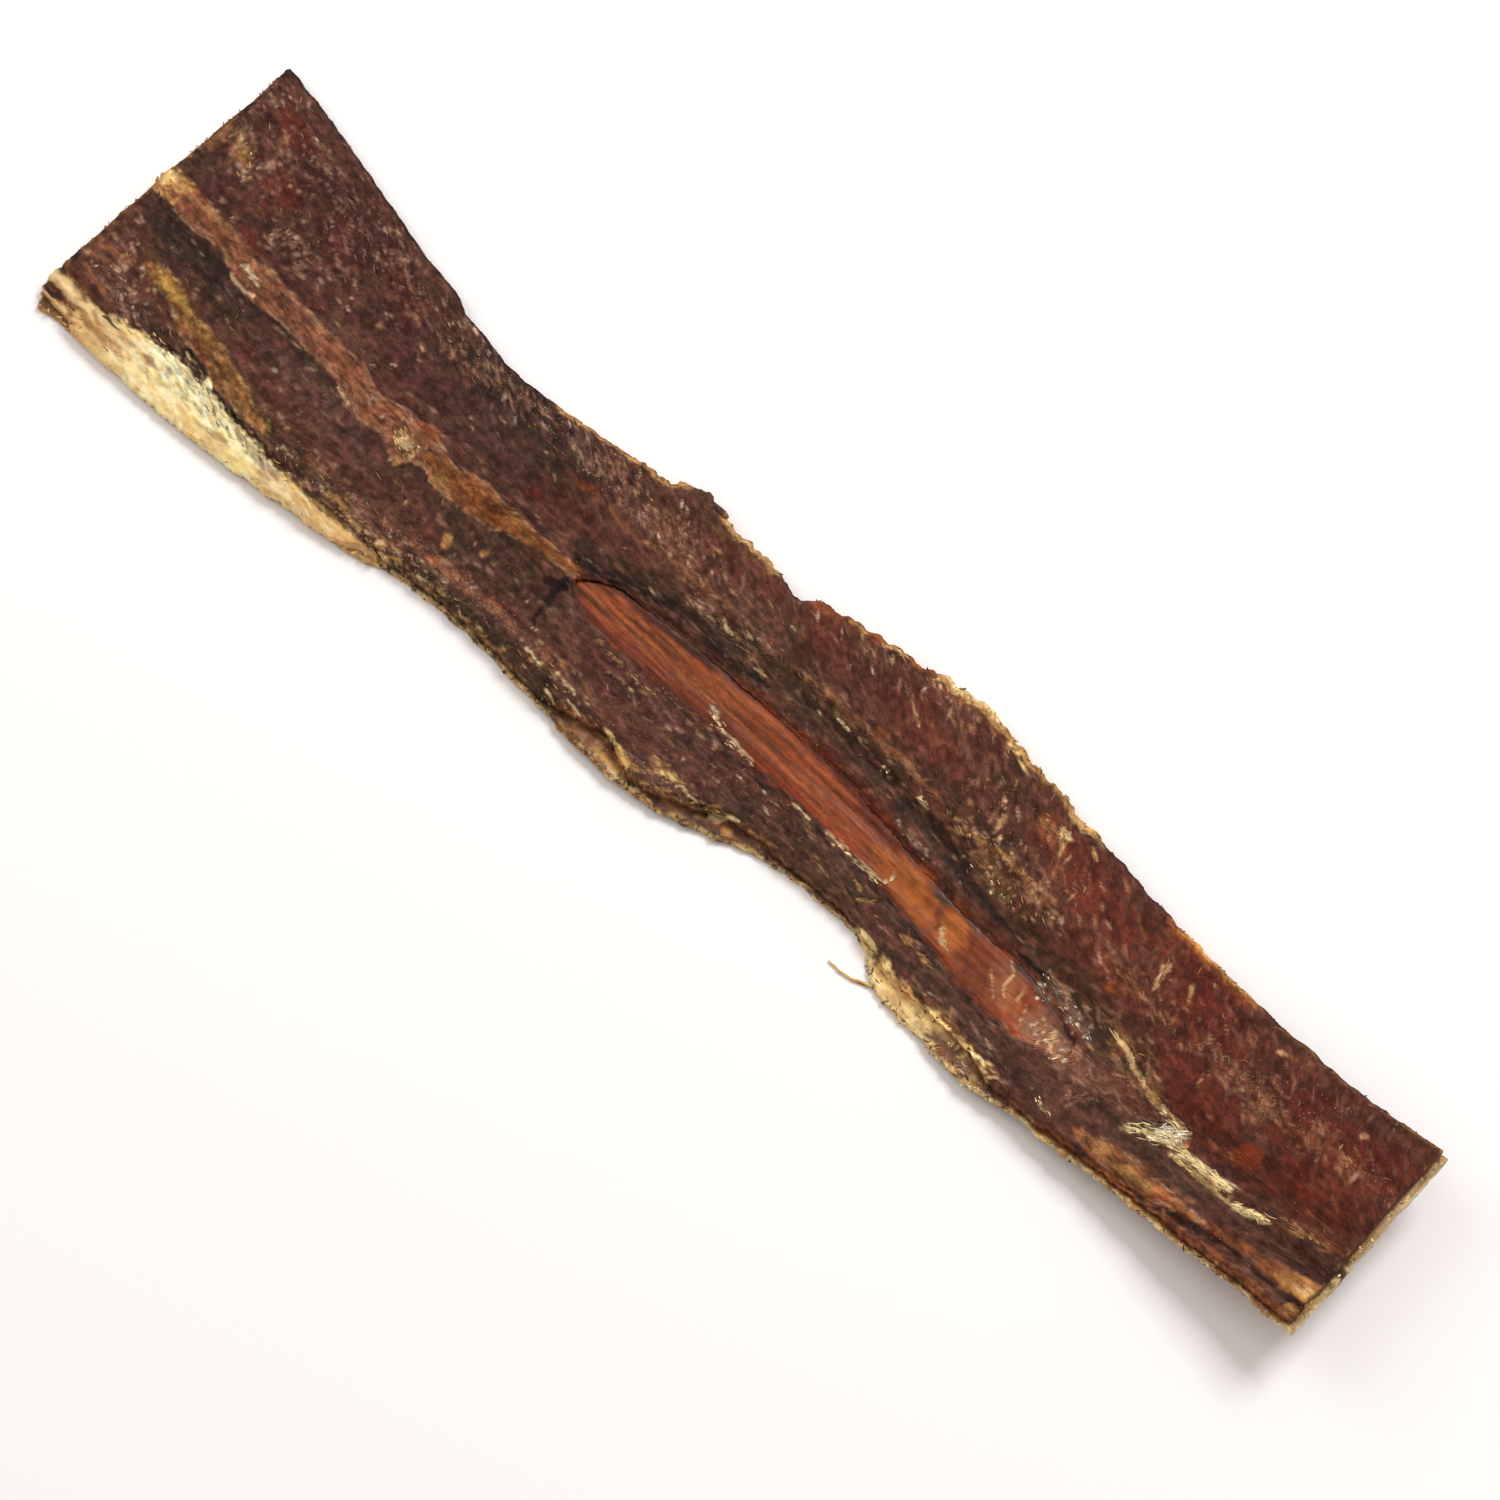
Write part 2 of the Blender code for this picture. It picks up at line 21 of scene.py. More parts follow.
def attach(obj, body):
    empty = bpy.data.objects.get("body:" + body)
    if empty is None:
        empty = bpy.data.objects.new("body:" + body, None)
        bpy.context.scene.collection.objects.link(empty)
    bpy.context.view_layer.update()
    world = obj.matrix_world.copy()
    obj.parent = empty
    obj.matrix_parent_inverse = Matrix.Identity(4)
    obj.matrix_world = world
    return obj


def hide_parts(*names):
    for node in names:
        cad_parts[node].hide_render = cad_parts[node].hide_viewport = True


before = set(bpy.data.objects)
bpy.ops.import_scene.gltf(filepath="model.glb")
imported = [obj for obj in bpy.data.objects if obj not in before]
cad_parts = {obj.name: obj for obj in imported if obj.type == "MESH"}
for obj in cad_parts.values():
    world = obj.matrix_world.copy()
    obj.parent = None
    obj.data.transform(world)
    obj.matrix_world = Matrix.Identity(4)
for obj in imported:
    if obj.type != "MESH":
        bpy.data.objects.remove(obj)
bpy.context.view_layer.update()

Array = np.ndarray
Line = tuple[tuple[float, float], ...]
Grain = tuple[float, float, float]
Colour = tuple[float, float, float]
Height = Callable[[Array, Array], Array]

log = logging.getLogger("strip")
METRE = 0.001
MERGE = 2e-4
NEAR = 1e-3


def smooth(low: float, high: float, value: Array) -> Array:
    """Ease from 0 at low to 1 at high."""
    share = np.clip((value - low) / (high - low), 0.0, 1.0)
    return share * share * (3.0 - 2.0 * share)


def bell(offset: Array, half_width: float) -> Array:
    """Rounded bump of height one around zero."""
    return np.exp(-((offset / half_width) ** 2))


def line_at(stations: Line, x: Array) -> Array:
    """Smooth curve through stations, level beyond the first and the last.

    Args:
        stations: Places along the strip with their places across it.
        x: Places along the strip to read.

    Returns:
        Places across the strip.
    """
    along = np.array([station[0] for station in stations])
    across = np.array([station[1] for station in stations])
    last = len(along) - 1
    x = np.clip(x, along[0], along[-1])
    index = np.clip(np.searchsorted(along, x, side="left") - 1, 0, last - 1)
    before = np.maximum(index - 1, 0)
    after = np.minimum(index + 2, last)
    span = along[index + 1] - along[index]
    leave = (across[index + 1] - across[before]) / (along[index + 1] - along[before])
    arrive = (across[after] - across[index]) / (along[after] - along[index])
    t = (x - along[index]) / span
    curve = (1.0 + 2.0 * t) * (1.0 - t) ** 2 * across[index] + t * t * (3.0 - 2.0 * t) * across[index + 1]
    return curve + span * (t * (1.0 - t) ** 2 * leave + t * t * (t - 1.0) * arrive)


def straight(stations: Line, x: Array) -> Array:
    """Straight runs through stations, level beyond the first and the last."""
    return np.interp(x, *np.array(stations).T)


def on_path(path: tuple[tuple[float, ...], ...], step: Array) -> list[Array]:
    """Places on a path, for steps counted from one of its corners to the next."""
    return [np.interp(step, range(len(path)), axis) for axis in zip(*path)]


def turned(x: Array, y: Array, turn: float) -> tuple[Array, Array]:
    """Places along and across a direction, for its turn in radians."""
    cosine, sine = math.cos(turn), math.sin(turn)
    return x * cosine + y * sine, y * cosine - x * sine


def grain(kind: Grain, x: Array, y: Array | float) -> Array:
    """Soft random height.

    Args:
        kind: Height, cell size and seed.
        x: Places along the strip.
        y: Places across the strip.

    Returns:
        One height for each place.
    """
    height, cell, seed = kind
    x, y = np.broadcast_arrays(np.asarray(x, float), np.asarray(y, float))
    places = zip((x.ravel() / cell).tolist(), (y.ravel() / cell).tolist())
    values = (noise.noise((along, across, seed)) for along, across in places)
    return height * np.fromiter(values, float, x.size).reshape(x.shape)


def line_gap(stations: Line, x: Array, y: Array) -> tuple[Array, Array]:
    """Distance to a line.

    Args:
        stations: Corners of the line.
        x: Places along the strip.
        y: Places across the strip.

    Returns:
        The distance, and the share of the line's corners passed at the nearest point.
    """
    best = np.full(np.shape(x), 1e9)
    share = np.zeros(np.shape(x))
    count = len(stations) - 1
    for index in range(count):
        (x0, y0), (x1, y1) = stations[index], stations[index + 1]
        dx, dy = x1 - x0, y1 - y0
        t = np.clip(((x - x0) * dx + (y - y0) * dy) / (dx * dx + dy * dy), 0.0, 1.0)
        gap = np.hypot(x - x0 - t * dx, y - y0 - t * dy)
        nearer = gap < best
        best = np.where(nearer, gap, best)
        share = np.where(nearer, (index + t) / count, share)
    return best, share


def torn(stations: Line, x: Array, *tears: Grain) -> Array:
    """Smooth line with soft random tears along it."""
    return line_at(stations, x) + sum(grain(tear, x, 0.0) for tear in tears)


@dataclass(frozen=True)
class Strip:
    """Form of the whole strip: its borders, its layers and how it lies."""

    wide_end: float = -152.6
    narrow_end: float = 152.4
    wide_rim: float = 0.3
    narrow_rim: float = 1.3
    gap: float = 0.3
    lining_thick: float = 0.95
    muscle_thick: float = 1.9
    muscle_least: float = 0.75
    fat_thick: float = 1.6
    fat_least: float = 0.6
    rim: float = 0.9
    opening_start: float = -34.2
    opening_end: float = 93.0
    raised_end: float = 9.6
    raised_from: float = 58.0
    raised_power: float = 1.7
    curl_x: float = -28.0
    fat_end: float = -64.5
    shift: tuple[float, float] = (-0.3686, -0.3166)
    eye: tuple[float, float, float] = (176.7, -185.1, 599.0)
    seen_level: float = 3.0

    upper_line: Line = (
        (-153.5, 35.7), (-130.0, 30.5), (-110.0, 25.4), (-93.0, 21.8), (-88.0, 19.6), (-70.0, 17.4),
        (-45.0, 19.3), (-22.0, 21.2), (-10.0, 21.2), (-1.0, 19.2), (1.0, 20.9), (8.0, 22.6), (22.0, 24.3),
        (33.0, 26.3), (38.5, 27.5), (42.0, 26.4), (50.0, 24.4), (62.0, 22.9), (75.0, 20.5),
        (100.0, 17.0), (130.0, 14.5), (142.0, 14.5), (155.0, 15.4),
    )
    lower_line: Line = (
        (-153.5, -30.6), (-151.8, -32.0), (-150.8, -34.6), (-146.0, -33.8), (-120.0, -34.2),
        (-100.0, -33.3), (-80.0, -31.2), (-68.0, -30.0), (-62.0, -27.9), (-40.0, -27.2),
        (-20.0, -28.9), (-3.0, -30.0), (8.0, -28.7), (17.0, -26.0), (28.0, -22.3), (40.0, -21.4),
        (51.0, -21.8), (59.0, -26.7), (72.0, -28.3), (82.0, -29.4), (92.0, -28.3), (110.0, -27.4),
        (135.0, -26.9), (155.0, -26.6),
    )
    muscle_lower_line: Line = (
        (-153.5, -26.4), (-140.0, -27.2), (-128.0, -25.2), (-119.0, -24.4), (-100.0, -27.0),
        (-80.0, -28.1), (-60.0, -26.9), (-40.0, -26.3), (-20.0, -27.2), (-9.0, -25.0), (1.0, -28.0),
        (10.0, -25.2), (19.0, -21.4), (40.0, -20.4), (50.0, -20.7), (60.0, -23.2), (80.0, -24.8),
        (88.0, -27.0), (110.0, -26.2), (135.0, -26.0), (155.0, -25.8),
    )
    fat_lip: Line = ((-153.5, -30.6), (-151.5, -31.8), (-149.0, -32.4), (-144.0, -32.8), (-140.0, -34.0))
    opening_upper: Line = (
        (-36.0, -2.6), (-25.0, -1.3), (-10.0, -0.6), (15.0, -0.6), (30.0, -1.4), (45.0, -3.4),
        (60.0, -5.6), (75.0, -6.4), (95.0, -9.0),
    )
    opening_lower: Line = (
        (-36.0, -9.6), (-25.0, -10.7), (-10.0, -10.5), (0.0, -10.0), (20.0, -10.7), (45.0, -11.6),
        (60.0, -14.0), (75.0, -16.6), (95.0, -16.8),
    )
    meat_lines: tuple[tuple[Line, float, float], ...] = (
        (((-155.0, 2.6), (-130.0, -1.0), (-110.0, -3.4), (-90.0, -6.6), (-60.0, -6.4), (-36.0, -5.4)),
            3.4, 0.45),
        (((-141.0, -14.4), (-120.0, -18.4), (-100.0, -22.4), (-88.0, -25.0)), 2.4, 0.4),
        (((-36.0, -2.0), (-20.0, 3.4), (0.0, 4.6), (32.0, 4.2), (50.0, 2.0), (75.0, -2.4), (117.0, -10.4)),
            3.2, -0.75),
        (((-46.0, 8.4), (-10.0, 8.8), (20.0, 8.6), (45.0, 7.2), (70.0, 6.8), (96.0, 5.0)), 1.8, 0.3),
        (((-34.0, -6.0), (-36.0, -12.0), (-34.0, -18.0)), 1.6, -0.35),
        (((103.0, -23.0), (116.0, -23.4), (131.0, -22.4)), 2.0, 0.55),
        (((130.0, -20.2), (142.0, -19.4), (157.0, -20.4)), 1.9, 0.6),
        (((108.0, -26.2), (124.0, -24.6), (138.0, -23.0), (157.0, -23.4)), 1.2, -0.8),
        (((118.0, -16.8), (134.0, -16.8), (146.0, -16.0), (157.0, -16.2)), 1.4, -0.7),
        (((107.0, -15.6), (117.0, -13.0), (131.0, -14.6), (148.0, -12.6)), 1.8, 0.45),
    )
    pocket: Line = ((-156.0, -30.2), (-150.0, -30.4), (-143.5, -30.8))

    def relief(self, x: Array, y: Array) -> Array:
        """Sum of the raised and sunken lines of the meat.

        Args:
            x: Places along the flat strip.
            y: Places across the flat strip.

        Returns:
            Heights over the plain skin.
        """
        height = np.zeros(np.shape(x))
        for stations, half_width, rise in self.meat_lines:
            gap, share = line_gap(stations, x, y)
            fade = np.ones(np.shape(x))
            if stations[0][0] >= self.wide_end:
                fade = fade * smooth(0.0, 0.1, share)
            if stations[-1][0] <= self.narrow_end:
                fade = fade * smooth(1.0, 0.9, share)
            height += rise * bell(gap, half_width) * (0.35 + 0.65 * fade)
        return height

    def upper_edge(self, x: Array) -> Array:
        """Jagged upper border of the whole strip.

        Args:
            x: Places along the flat strip.

        Returns:
            Places across the strip.
        """
        torn = smooth(-60.0, -40.0, x) * (0.25 + 0.75 * smooth(82.0, 68.0, x)) * smooth(112.0, 96.0, x)
        tooth = grain((0.25, 2.6, 1.5), x, 0.0) + torn * grain((0.55, 2.6, 1.5), x, 0.0)
        tooth += grain((0.35, 9.0, 2.5), x, 0.0) + (0.12 + 0.3 * torn) * grain((1.0, 0.9, 31.5), x, 0.0)
        return line_at(self.upper_line, x) + tooth + 2.6 * bell(x - self.curl_x, 6.2) ** 2

    def lower_edge(self, x: Array) -> Array:
        """Torn lower border of the whole strip."""
        return torn(self.lower_line, x, (0.45, 3.4, 4.5), (0.3, 0.9, 33.5))

    def muscle_lower_edge(self, x: Array) -> Array:
        """Lower border of the meat, inside the border of the lining."""
        edge = torn(self.muscle_lower_line, x, (0.5, 4.0, 6.5), (0.45, 1.1, 35.5))
        return np.maximum(edge, self.lower_edge(x) + self.rim)

    def opening(self, x: Array) -> tuple[Array, Array]:
        """Lower and upper border of the opening in the meat; they meet at both tips.

        Args:
            x: Places along the flat strip.

        Returns:
            Places across the strip, first those of the lower border.
        """
        low = torn(self.opening_lower, x, (0.3, 3.0, 8.5), (0.35, 0.9, 37.5))
        high = torn(self.opening_upper, x, (0.25, 4.0, 9.5), (0.25, 0.9, 39.5))
        start = np.clip((x - self.opening_start) / 6.0, 0.0, 1.0)
        end = np.clip((self.opening_end - x) / 12.0, 0.0, 1.0)
        middle = 0.5 * (low + high)
        half = 0.5 * (high - low) * np.sqrt(start * end)
        return middle - half, middle + half

    def lining_back(self, x: Array, y: Array) -> Array:
        """Height of the lining where another layer lies on it."""
        return self.lining_thick + grain((0.14, 26.0, 7.5), x, y)

    def layer_under(self, x: Array, y: Array) -> Array:
        """Underside of the meat and of the fat, one gap above the lining."""
        return self.lining_back(x, y) + self.gap

    def fat_upper(self, x: Array) -> Array:
        """Inner border of the fat, one gap outside the meat."""
        return self.muscle_lower_edge(x) - self.gap

    def fat_lower(self, x: Array) -> Array:
        """Outer border of the fat: a lip at the torn corner, then the strip's border.

        Args:
            x: Places along the flat strip.

        Returns:
            Places across the strip.
        """
        outer = smooth(-144.0, -140.0, x)
        line = line_at(self.fat_lip, x) * (1.0 - outer) + (self.lower_edge(x) - 0.35) * outer
        inner = self.fat_upper(x)
        tail = smooth(self.fat_end, self.fat_end - 11.0, x)
        return inner - np.maximum((inner - line) * tail, self.rim)

    def raised(self, x: Array, y: Array) -> Array:
        """Height of the underside of the strip over the table.

        Args:
            x: Places along the flat strip.
            y: Places across the flat strip.

        Returns:
            Heights over the table.
        """
        share = np.maximum(x - self.raised_from, 0.0) / (self.narrow_end - self.raised_from)
        lower = 1.1 * bell(x + 4.0, 20.0) + 0.7 * smooth(66.0, 84.0, x)
        upper = 0.8 * bell(x - 20.0, 22.0)
        sides = lower * smooth(-14.0, -30.0, y) + upper * smooth(8.0, 22.0, y)
        return self.raised_end * share**self.raised_power + sides

    def bend(self, x: Array, y: Array, height: Array) -> Array:
        """Places of the flat strip moved to where it lies on the table, in millimetres.

        Args:
            x: Places along the strip.
            y: Places across the strip.
            height: Heights above its underside.

        Returns:
            Rows of three lengths, before the shift into the solids' frame.
        """
        wide, narrow = self.wide_end, self.narrow_end
        ends = smooth(wide + 6.0, wide, x) + smooth(narrow - 6.0, narrow, x)
        x = x + (grain((0.4, 7.0, 21.5), y, 0.0) + grain((0.18, 0.8, 41.5), y, 0.0)) * ends
        slope_x = self.raised(x + 0.5, y) - self.raised(x - 0.5, y)
        slope_y = self.raised(x, y + 0.5) - self.raised(x, y - 0.5)
        up = height / np.sqrt(1.0 + slope_x**2 + slope_y**2)
        return np.stack((x - slope_x * up, y - slope_y * up, self.raised(x, y) + up), -1)

    def place(self, bent: Array) -> Array:
        """Bent places shifted into the solids' frame, in metres."""
        return (bent + np.array((*self.shift, 0.0))) * METRE

    def seen(self, bent: Array) -> tuple[Array, Array]:
        """Where the camera sees bent places, on the level of the meat.

        Args:
            bent: Bent places, one row each.

        Returns:
            Places along and across the strip, as seen.
        """
        x, y, over = bent[:, 0], bent[:, 1], bent[:, 2] - self.seen_level
        reach = over / (self.eye[2] - self.seen_level - over)
        return x + (x - self.eye[0]) * reach, y + (y - self.eye[1]) * reach

    def from_seen(self, x: Array, y: Array) -> tuple[Array, Array]:
        """Places on the flat strip for places that were read on the level of the meat.

        Args:
            x: Places along the strip, as seen.
            y: Places across the strip, as seen.

        Returns:
            Places along and across the flat strip.
        """
        flat_x, flat_y = np.array(x, float), np.array(y, float)
        for _ in range(3):
            over = self.raised(flat_x, flat_y)
            reach = over / (self.eye[2] - self.seen_level - over)
            flat_x = (x + reach * self.eye[0]) / (1.0 + reach)
            flat_y = (y + reach * self.eye[1]) / (1.0 + reach)
        return flat_x, flat_y


STRIP = Strip()


class Tone(Enum):
    """Colours of the strip, as linear red, green and blue."""

    MAROON = (0.074, 0.028, 0.021)
    BROWN = (0.094, 0.042, 0.027)
    RED = (0.130, 0.027, 0.016)
    PURPLE = (0.086, 0.037, 0.031)
    MOSS = (0.046, 0.030, 0.018)
    # Near-black: dark marks, and painted shadow above the opening and in the pit by its tip.
    DARK_MARK_AND_SHADOW = (0.014, 0.008, 0.006)
    TAN = (0.260, 0.115, 0.045)
    GOLD = (0.380, 0.215, 0.075)
    PINK = (0.290, 0.140, 0.090)
    OLIVE = (0.150, 0.095, 0.032)
    AMBER = (0.240, 0.068, 0.018)
    ORANGE = (0.330, 0.085, 0.018)
    FLAME = (0.480, 0.150, 0.028)
    DEEP_ORANGE = (0.210, 0.046, 0.015)
    # Dark red for marks and lines; also painted shade along the upper border of the opening.
    DARK_RED_AND_SHADE = (0.100, 0.024, 0.010)
    WHITE = (1.000, 0.900, 0.660)
    STRAW = (1.000, 0.800, 0.400)
    CREAM = (0.800, 0.640, 0.340)
    BUTTER = (0.780, 0.560, 0.240)
    HONEY = (0.540, 0.290, 0.085)
    SILVER = (0.380, 0.310, 0.220)
    SMOKE = (0.230, 0.165, 0.095)
    DUSK = (0.165, 0.088, 0.062)

    @property
    def paint(self) -> Array:
        """The tone as an array."""
        return np.array(self.value)


def mixed(first: Array, second: Array, share: Array) -> Array:
    """Colours between two colours or paints.

    Args:
        first: One colour, or one row a place.
        second: Colour or rows that the share brings in.
        share: Share of the second at each place, from 0 to 1.

    Returns:
        Colours, one row a place.
    """
    return first * (1.0 - share[:, None]) + second * share[:, None]


def shades_along(places: tuple[float, ...], shades: tuple[tuple[float, ...], ...], x: Array) -> Array:
    """Factors for red, green and blue that change along the strip."""
    return np.stack([np.interp(x, places, shade) for shade in shades], -1)


class Border(Enum):
    """Borders of the strip that carry a fringe."""

    LOWER = "lower"
    UPPER = "upper"
    MEAT = "meat"
    WIDE = "wide"
    NARROW = "narrow"


Patch = tuple[float, float, float, float, float, float]
Stroke = tuple[float, float, Line]


@dataclass(frozen=True)
class Coat:
    """One tone with the patches and strokes that it covers.

    A patch is (cover, x, y, half length, half width, turn in degrees), and a stroke is
    (cover, half width, line). Their borders are broken up along the fibres.
    """

    tone: Tone
    patches: tuple[Patch, ...] = ()
    strokes: tuple[Stroke, ...] = ()

    def cover(self, x: Array, y: Array, ragged: Array) -> Array:
        """How much of the tone lies at each place, from 0 to 1.

        Args:
            x: Places along the strip, as seen.
            y: Places across the strip, as seen.
            ragged: Random heights that break up the borders.

        Returns:
            Shares from 0 to 1.
        """
        left = np.ones(np.shape(x))
        for strength, middle_x, middle_y, half_x, half_y, turn in self.patches:
            along, across = turned(x - middle_x, y - middle_y, math.radians(turn))
            reach = np.hypot(along / half_x, across / half_y) + 0.55 * ragged
            left *= 1.0 - strength * smooth(1.2, 0.65, reach)
        for strength, half_width, line in self.strokes:
            ends = [station[0] for station in line]
            near = (x > min(ends) - 5) & (x < max(ends) + 5)
            gap, share = line_gap(line, x[near], y[near])
            tips = 0.45 + 0.55 * smooth(0.0, 0.25, share) * smooth(1.0, 0.75, share)
            reach = gap / (half_width * tips) + 0.75 * ragged[near]
            left[near] *= 1.0 - strength * smooth(1.3, 0.5, reach)
        return 1.0 - left


def painted(coats: tuple[Coat, ...], colours: Array, x: Array, y: Array) -> Array:
    """Colours after all coats have been laid over them.

    Args:
        coats: Coats in the order that they are laid.
        colours: Colours under the coats, one row a place.
        x: Places along the strip, as seen.
        y: Places across the strip, as seen.

    Returns:
        Colours, one row a place.
    """
    ragged = grain((1.0, 1.3, 51.5), 0.45 * x, y) + grain((0.7, 0.5, 53.5), 0.4 * x, y)
    wide = grain((0.9, 3.4, 55.5), 0.6 * x, y)
    x = x + grain((1.1, 2.6, 57.5), x, y)
    y = y + grain((0.6, 1.9, 59.5), x, y)
    for coat in coats:
        cover = coat.cover(x, y, 0.6 * ragged + 0.5 * wide)
        colours = mixed(colours, coat.tone.paint, cover)
    return colours


@dataclass(frozen=True)
class Band:
    """Stripe between two lines across the strip, streaked along its length."""

    tone: Tone
    lower: Line
    upper: Line
    cover: float = 0.9
    soft: float = 0.5
    streaks: float = 0.3
    open_ends: tuple[bool, bool] = (False, False)

    def lay(self, colours: Array, x: Array, y: Array) -> Array:
        """Colours with the band laid over them.

        Args:
            colours: Colours under the band, one row a place.
            x: Places along the strip, as seen.
            y: Places across the strip, as seen.

        Returns:
            Colours, one row a place.
        """
        start, end = self.lower[0][0], self.lower[-1][0]
        near = (x > start - 1.0) & (x < end + 1.0)
        x, y = x[near], y[near]
        low, high = straight(self.lower, x), straight(self.upper, x)
        ragged = grain((0.7, 1.5, 131.5), 0.5 * x, y) + grain((0.45, 0.6, 133.5), 0.6 * x, y)
        fade = np.ones(x.size)
        for tip, side, is_open in ((start, 1.0, self.open_ends[0]), (end, -1.0, self.open_ends[1])):
            if not is_open:
                fade *= smooth(tip - 0.5 * side, tip + 4.0 * side, x + 3.0 * ragged)
        inside = np.minimum(y - low, high - y) + 0.8 * ragged
        share = np.clip((y - low) / np.maximum(high - low, 0.1), 0.0, 1.0)
        streak = grain((1.0, 0.34, 135.5), 0.05 * x, 2.2 * share) + grain((1.0, 0.9, 137.5), 0.3 * x, y)
        tone = self.tone.paint * np.clip(1.0 + self.streaks * streak, 0.3, 2.0)[:, None]
        colours = colours.copy()
        colours[near] = mixed(colours[near], tone, self.cover * fade * smooth(-self.soft, self.soft, inside))
        return colours


def smeared(colours: Array, x: Array, y: Array, strokes: Array) -> Array:
    """Colours after many short soft strokes have been laid over them.

    Args:
        colours: Colours under the strokes, one row a place.
        x: Places along the strip, as seen.
        y: Places across the strip, as seen.
        strokes: One row a stroke: its middle, direction, half length, half width, cover and colour.

    Returns:
        Colours, one row a place.
    """
    order = np.argsort(x)
    colours = colours.copy()
    reach = 1.25 * np.hypot(strokes[:, 3], strokes[:, 4])
    first = np.searchsorted(x[order], strokes[:, 0] - reach)
    last = np.searchsorted(x[order], strokes[:, 0] + reach)
    for row, start, end in zip(strokes, first.tolist(), last.tolist()):
        near = order[start:end]
        near = near[np.abs(y[near] - row[1]) < 1.25 * (row[3] + row[4])]
        along, across = turned(x[near] - row[0], y[near] - row[1], row[2])
        gap = np.hypot(along / row[3], across / row[4])
        colours[near] = mixed(colours[near], row[6:], row[5] * smooth(1.25, 0.3, gap))
    return colours


class Flow:
    """Direction of the fibres of the meat."""

    turns = (-4.0, -27.0, -45.0, -62.0)
    border: Line = (
        (-153.0, 4.0), (-120.0, 1.0), (-90.0, -2.0), (-60.0, -3.0), (-36.0, -3.0), (-20.0, 3.0), (0.0, 5.0),
        (40.0, 4.0), (60.0, 0.0), (90.0, -4.0), (117.0, -9.0), (152.0, -11.0),
    )
    upper_turns: Line = (
        (-150, -22), (-90, -25), (-60, -26), (-20, -29), (10, -36), (50, -47), (100, -60), (150, -62),
    )
    lower_turns: Line = (
        (-150, -9), (-110, -11), (-60, -3), (-34, -3), (20, -3), (60, -8), (100, -10), (120, -3), (150, 3),
    )

    @classmethod
    def degrees(cls, x: Array, y: Array) -> Array:
        """Turn of the fibres at each place, in degrees.

        Args:
            x: Places along the flat strip.
            y: Places across the flat strip.

        Returns:
            Turns in degrees.
        """
        lower = straight(cls.lower_turns, x)
        inside = smooth(0.0, 13.0, y - line_at(cls.border, x))
        return lower + (straight(cls.upper_turns, x) - lower) * inside

    @classmethod
    def weights(cls, x: Array, y: Array) -> Array:
        """Shares of the four painted directions at each place, one row a place.

        Args:
            x: Places along the flat strip.
            y: Places across the flat strip.

        Returns:
            Shares, in one column a direction.
        """
        count = len(cls.turns)
        order = np.interp(-cls.degrees(x, y), [-turn for turn in cls.turns], range(count))
        return np.stack([np.clip(1.0 - np.abs(order - index), 0.0, 1.0) for index in range(count)], -1)

    @classmethod
    def grain(cls, kind: Grain, stretch: float, x: Array, y: Array) -> Array:
        """Soft random height drawn out along the fibres.

        Args:
            kind: Height, cell size across the fibres and seed.
            stretch: Cell length over cell width.
            x: Places along the strip.
            y: Places across the strip.

        Returns:
            One height for each place.
        """
        height, cell, seed = kind
        weights = cls.weights(x, y)
        total = np.zeros(x.size)
        for index, turn in enumerate(cls.turns):
            here = weights[:, index] > 0.0
            along, across = turned(x[here], y[here], math.radians(turn))
            heights = grain((height, cell, seed + 3.3 * index), along / stretch, across)
            total[here] += weights[here, index] * heights
        return total


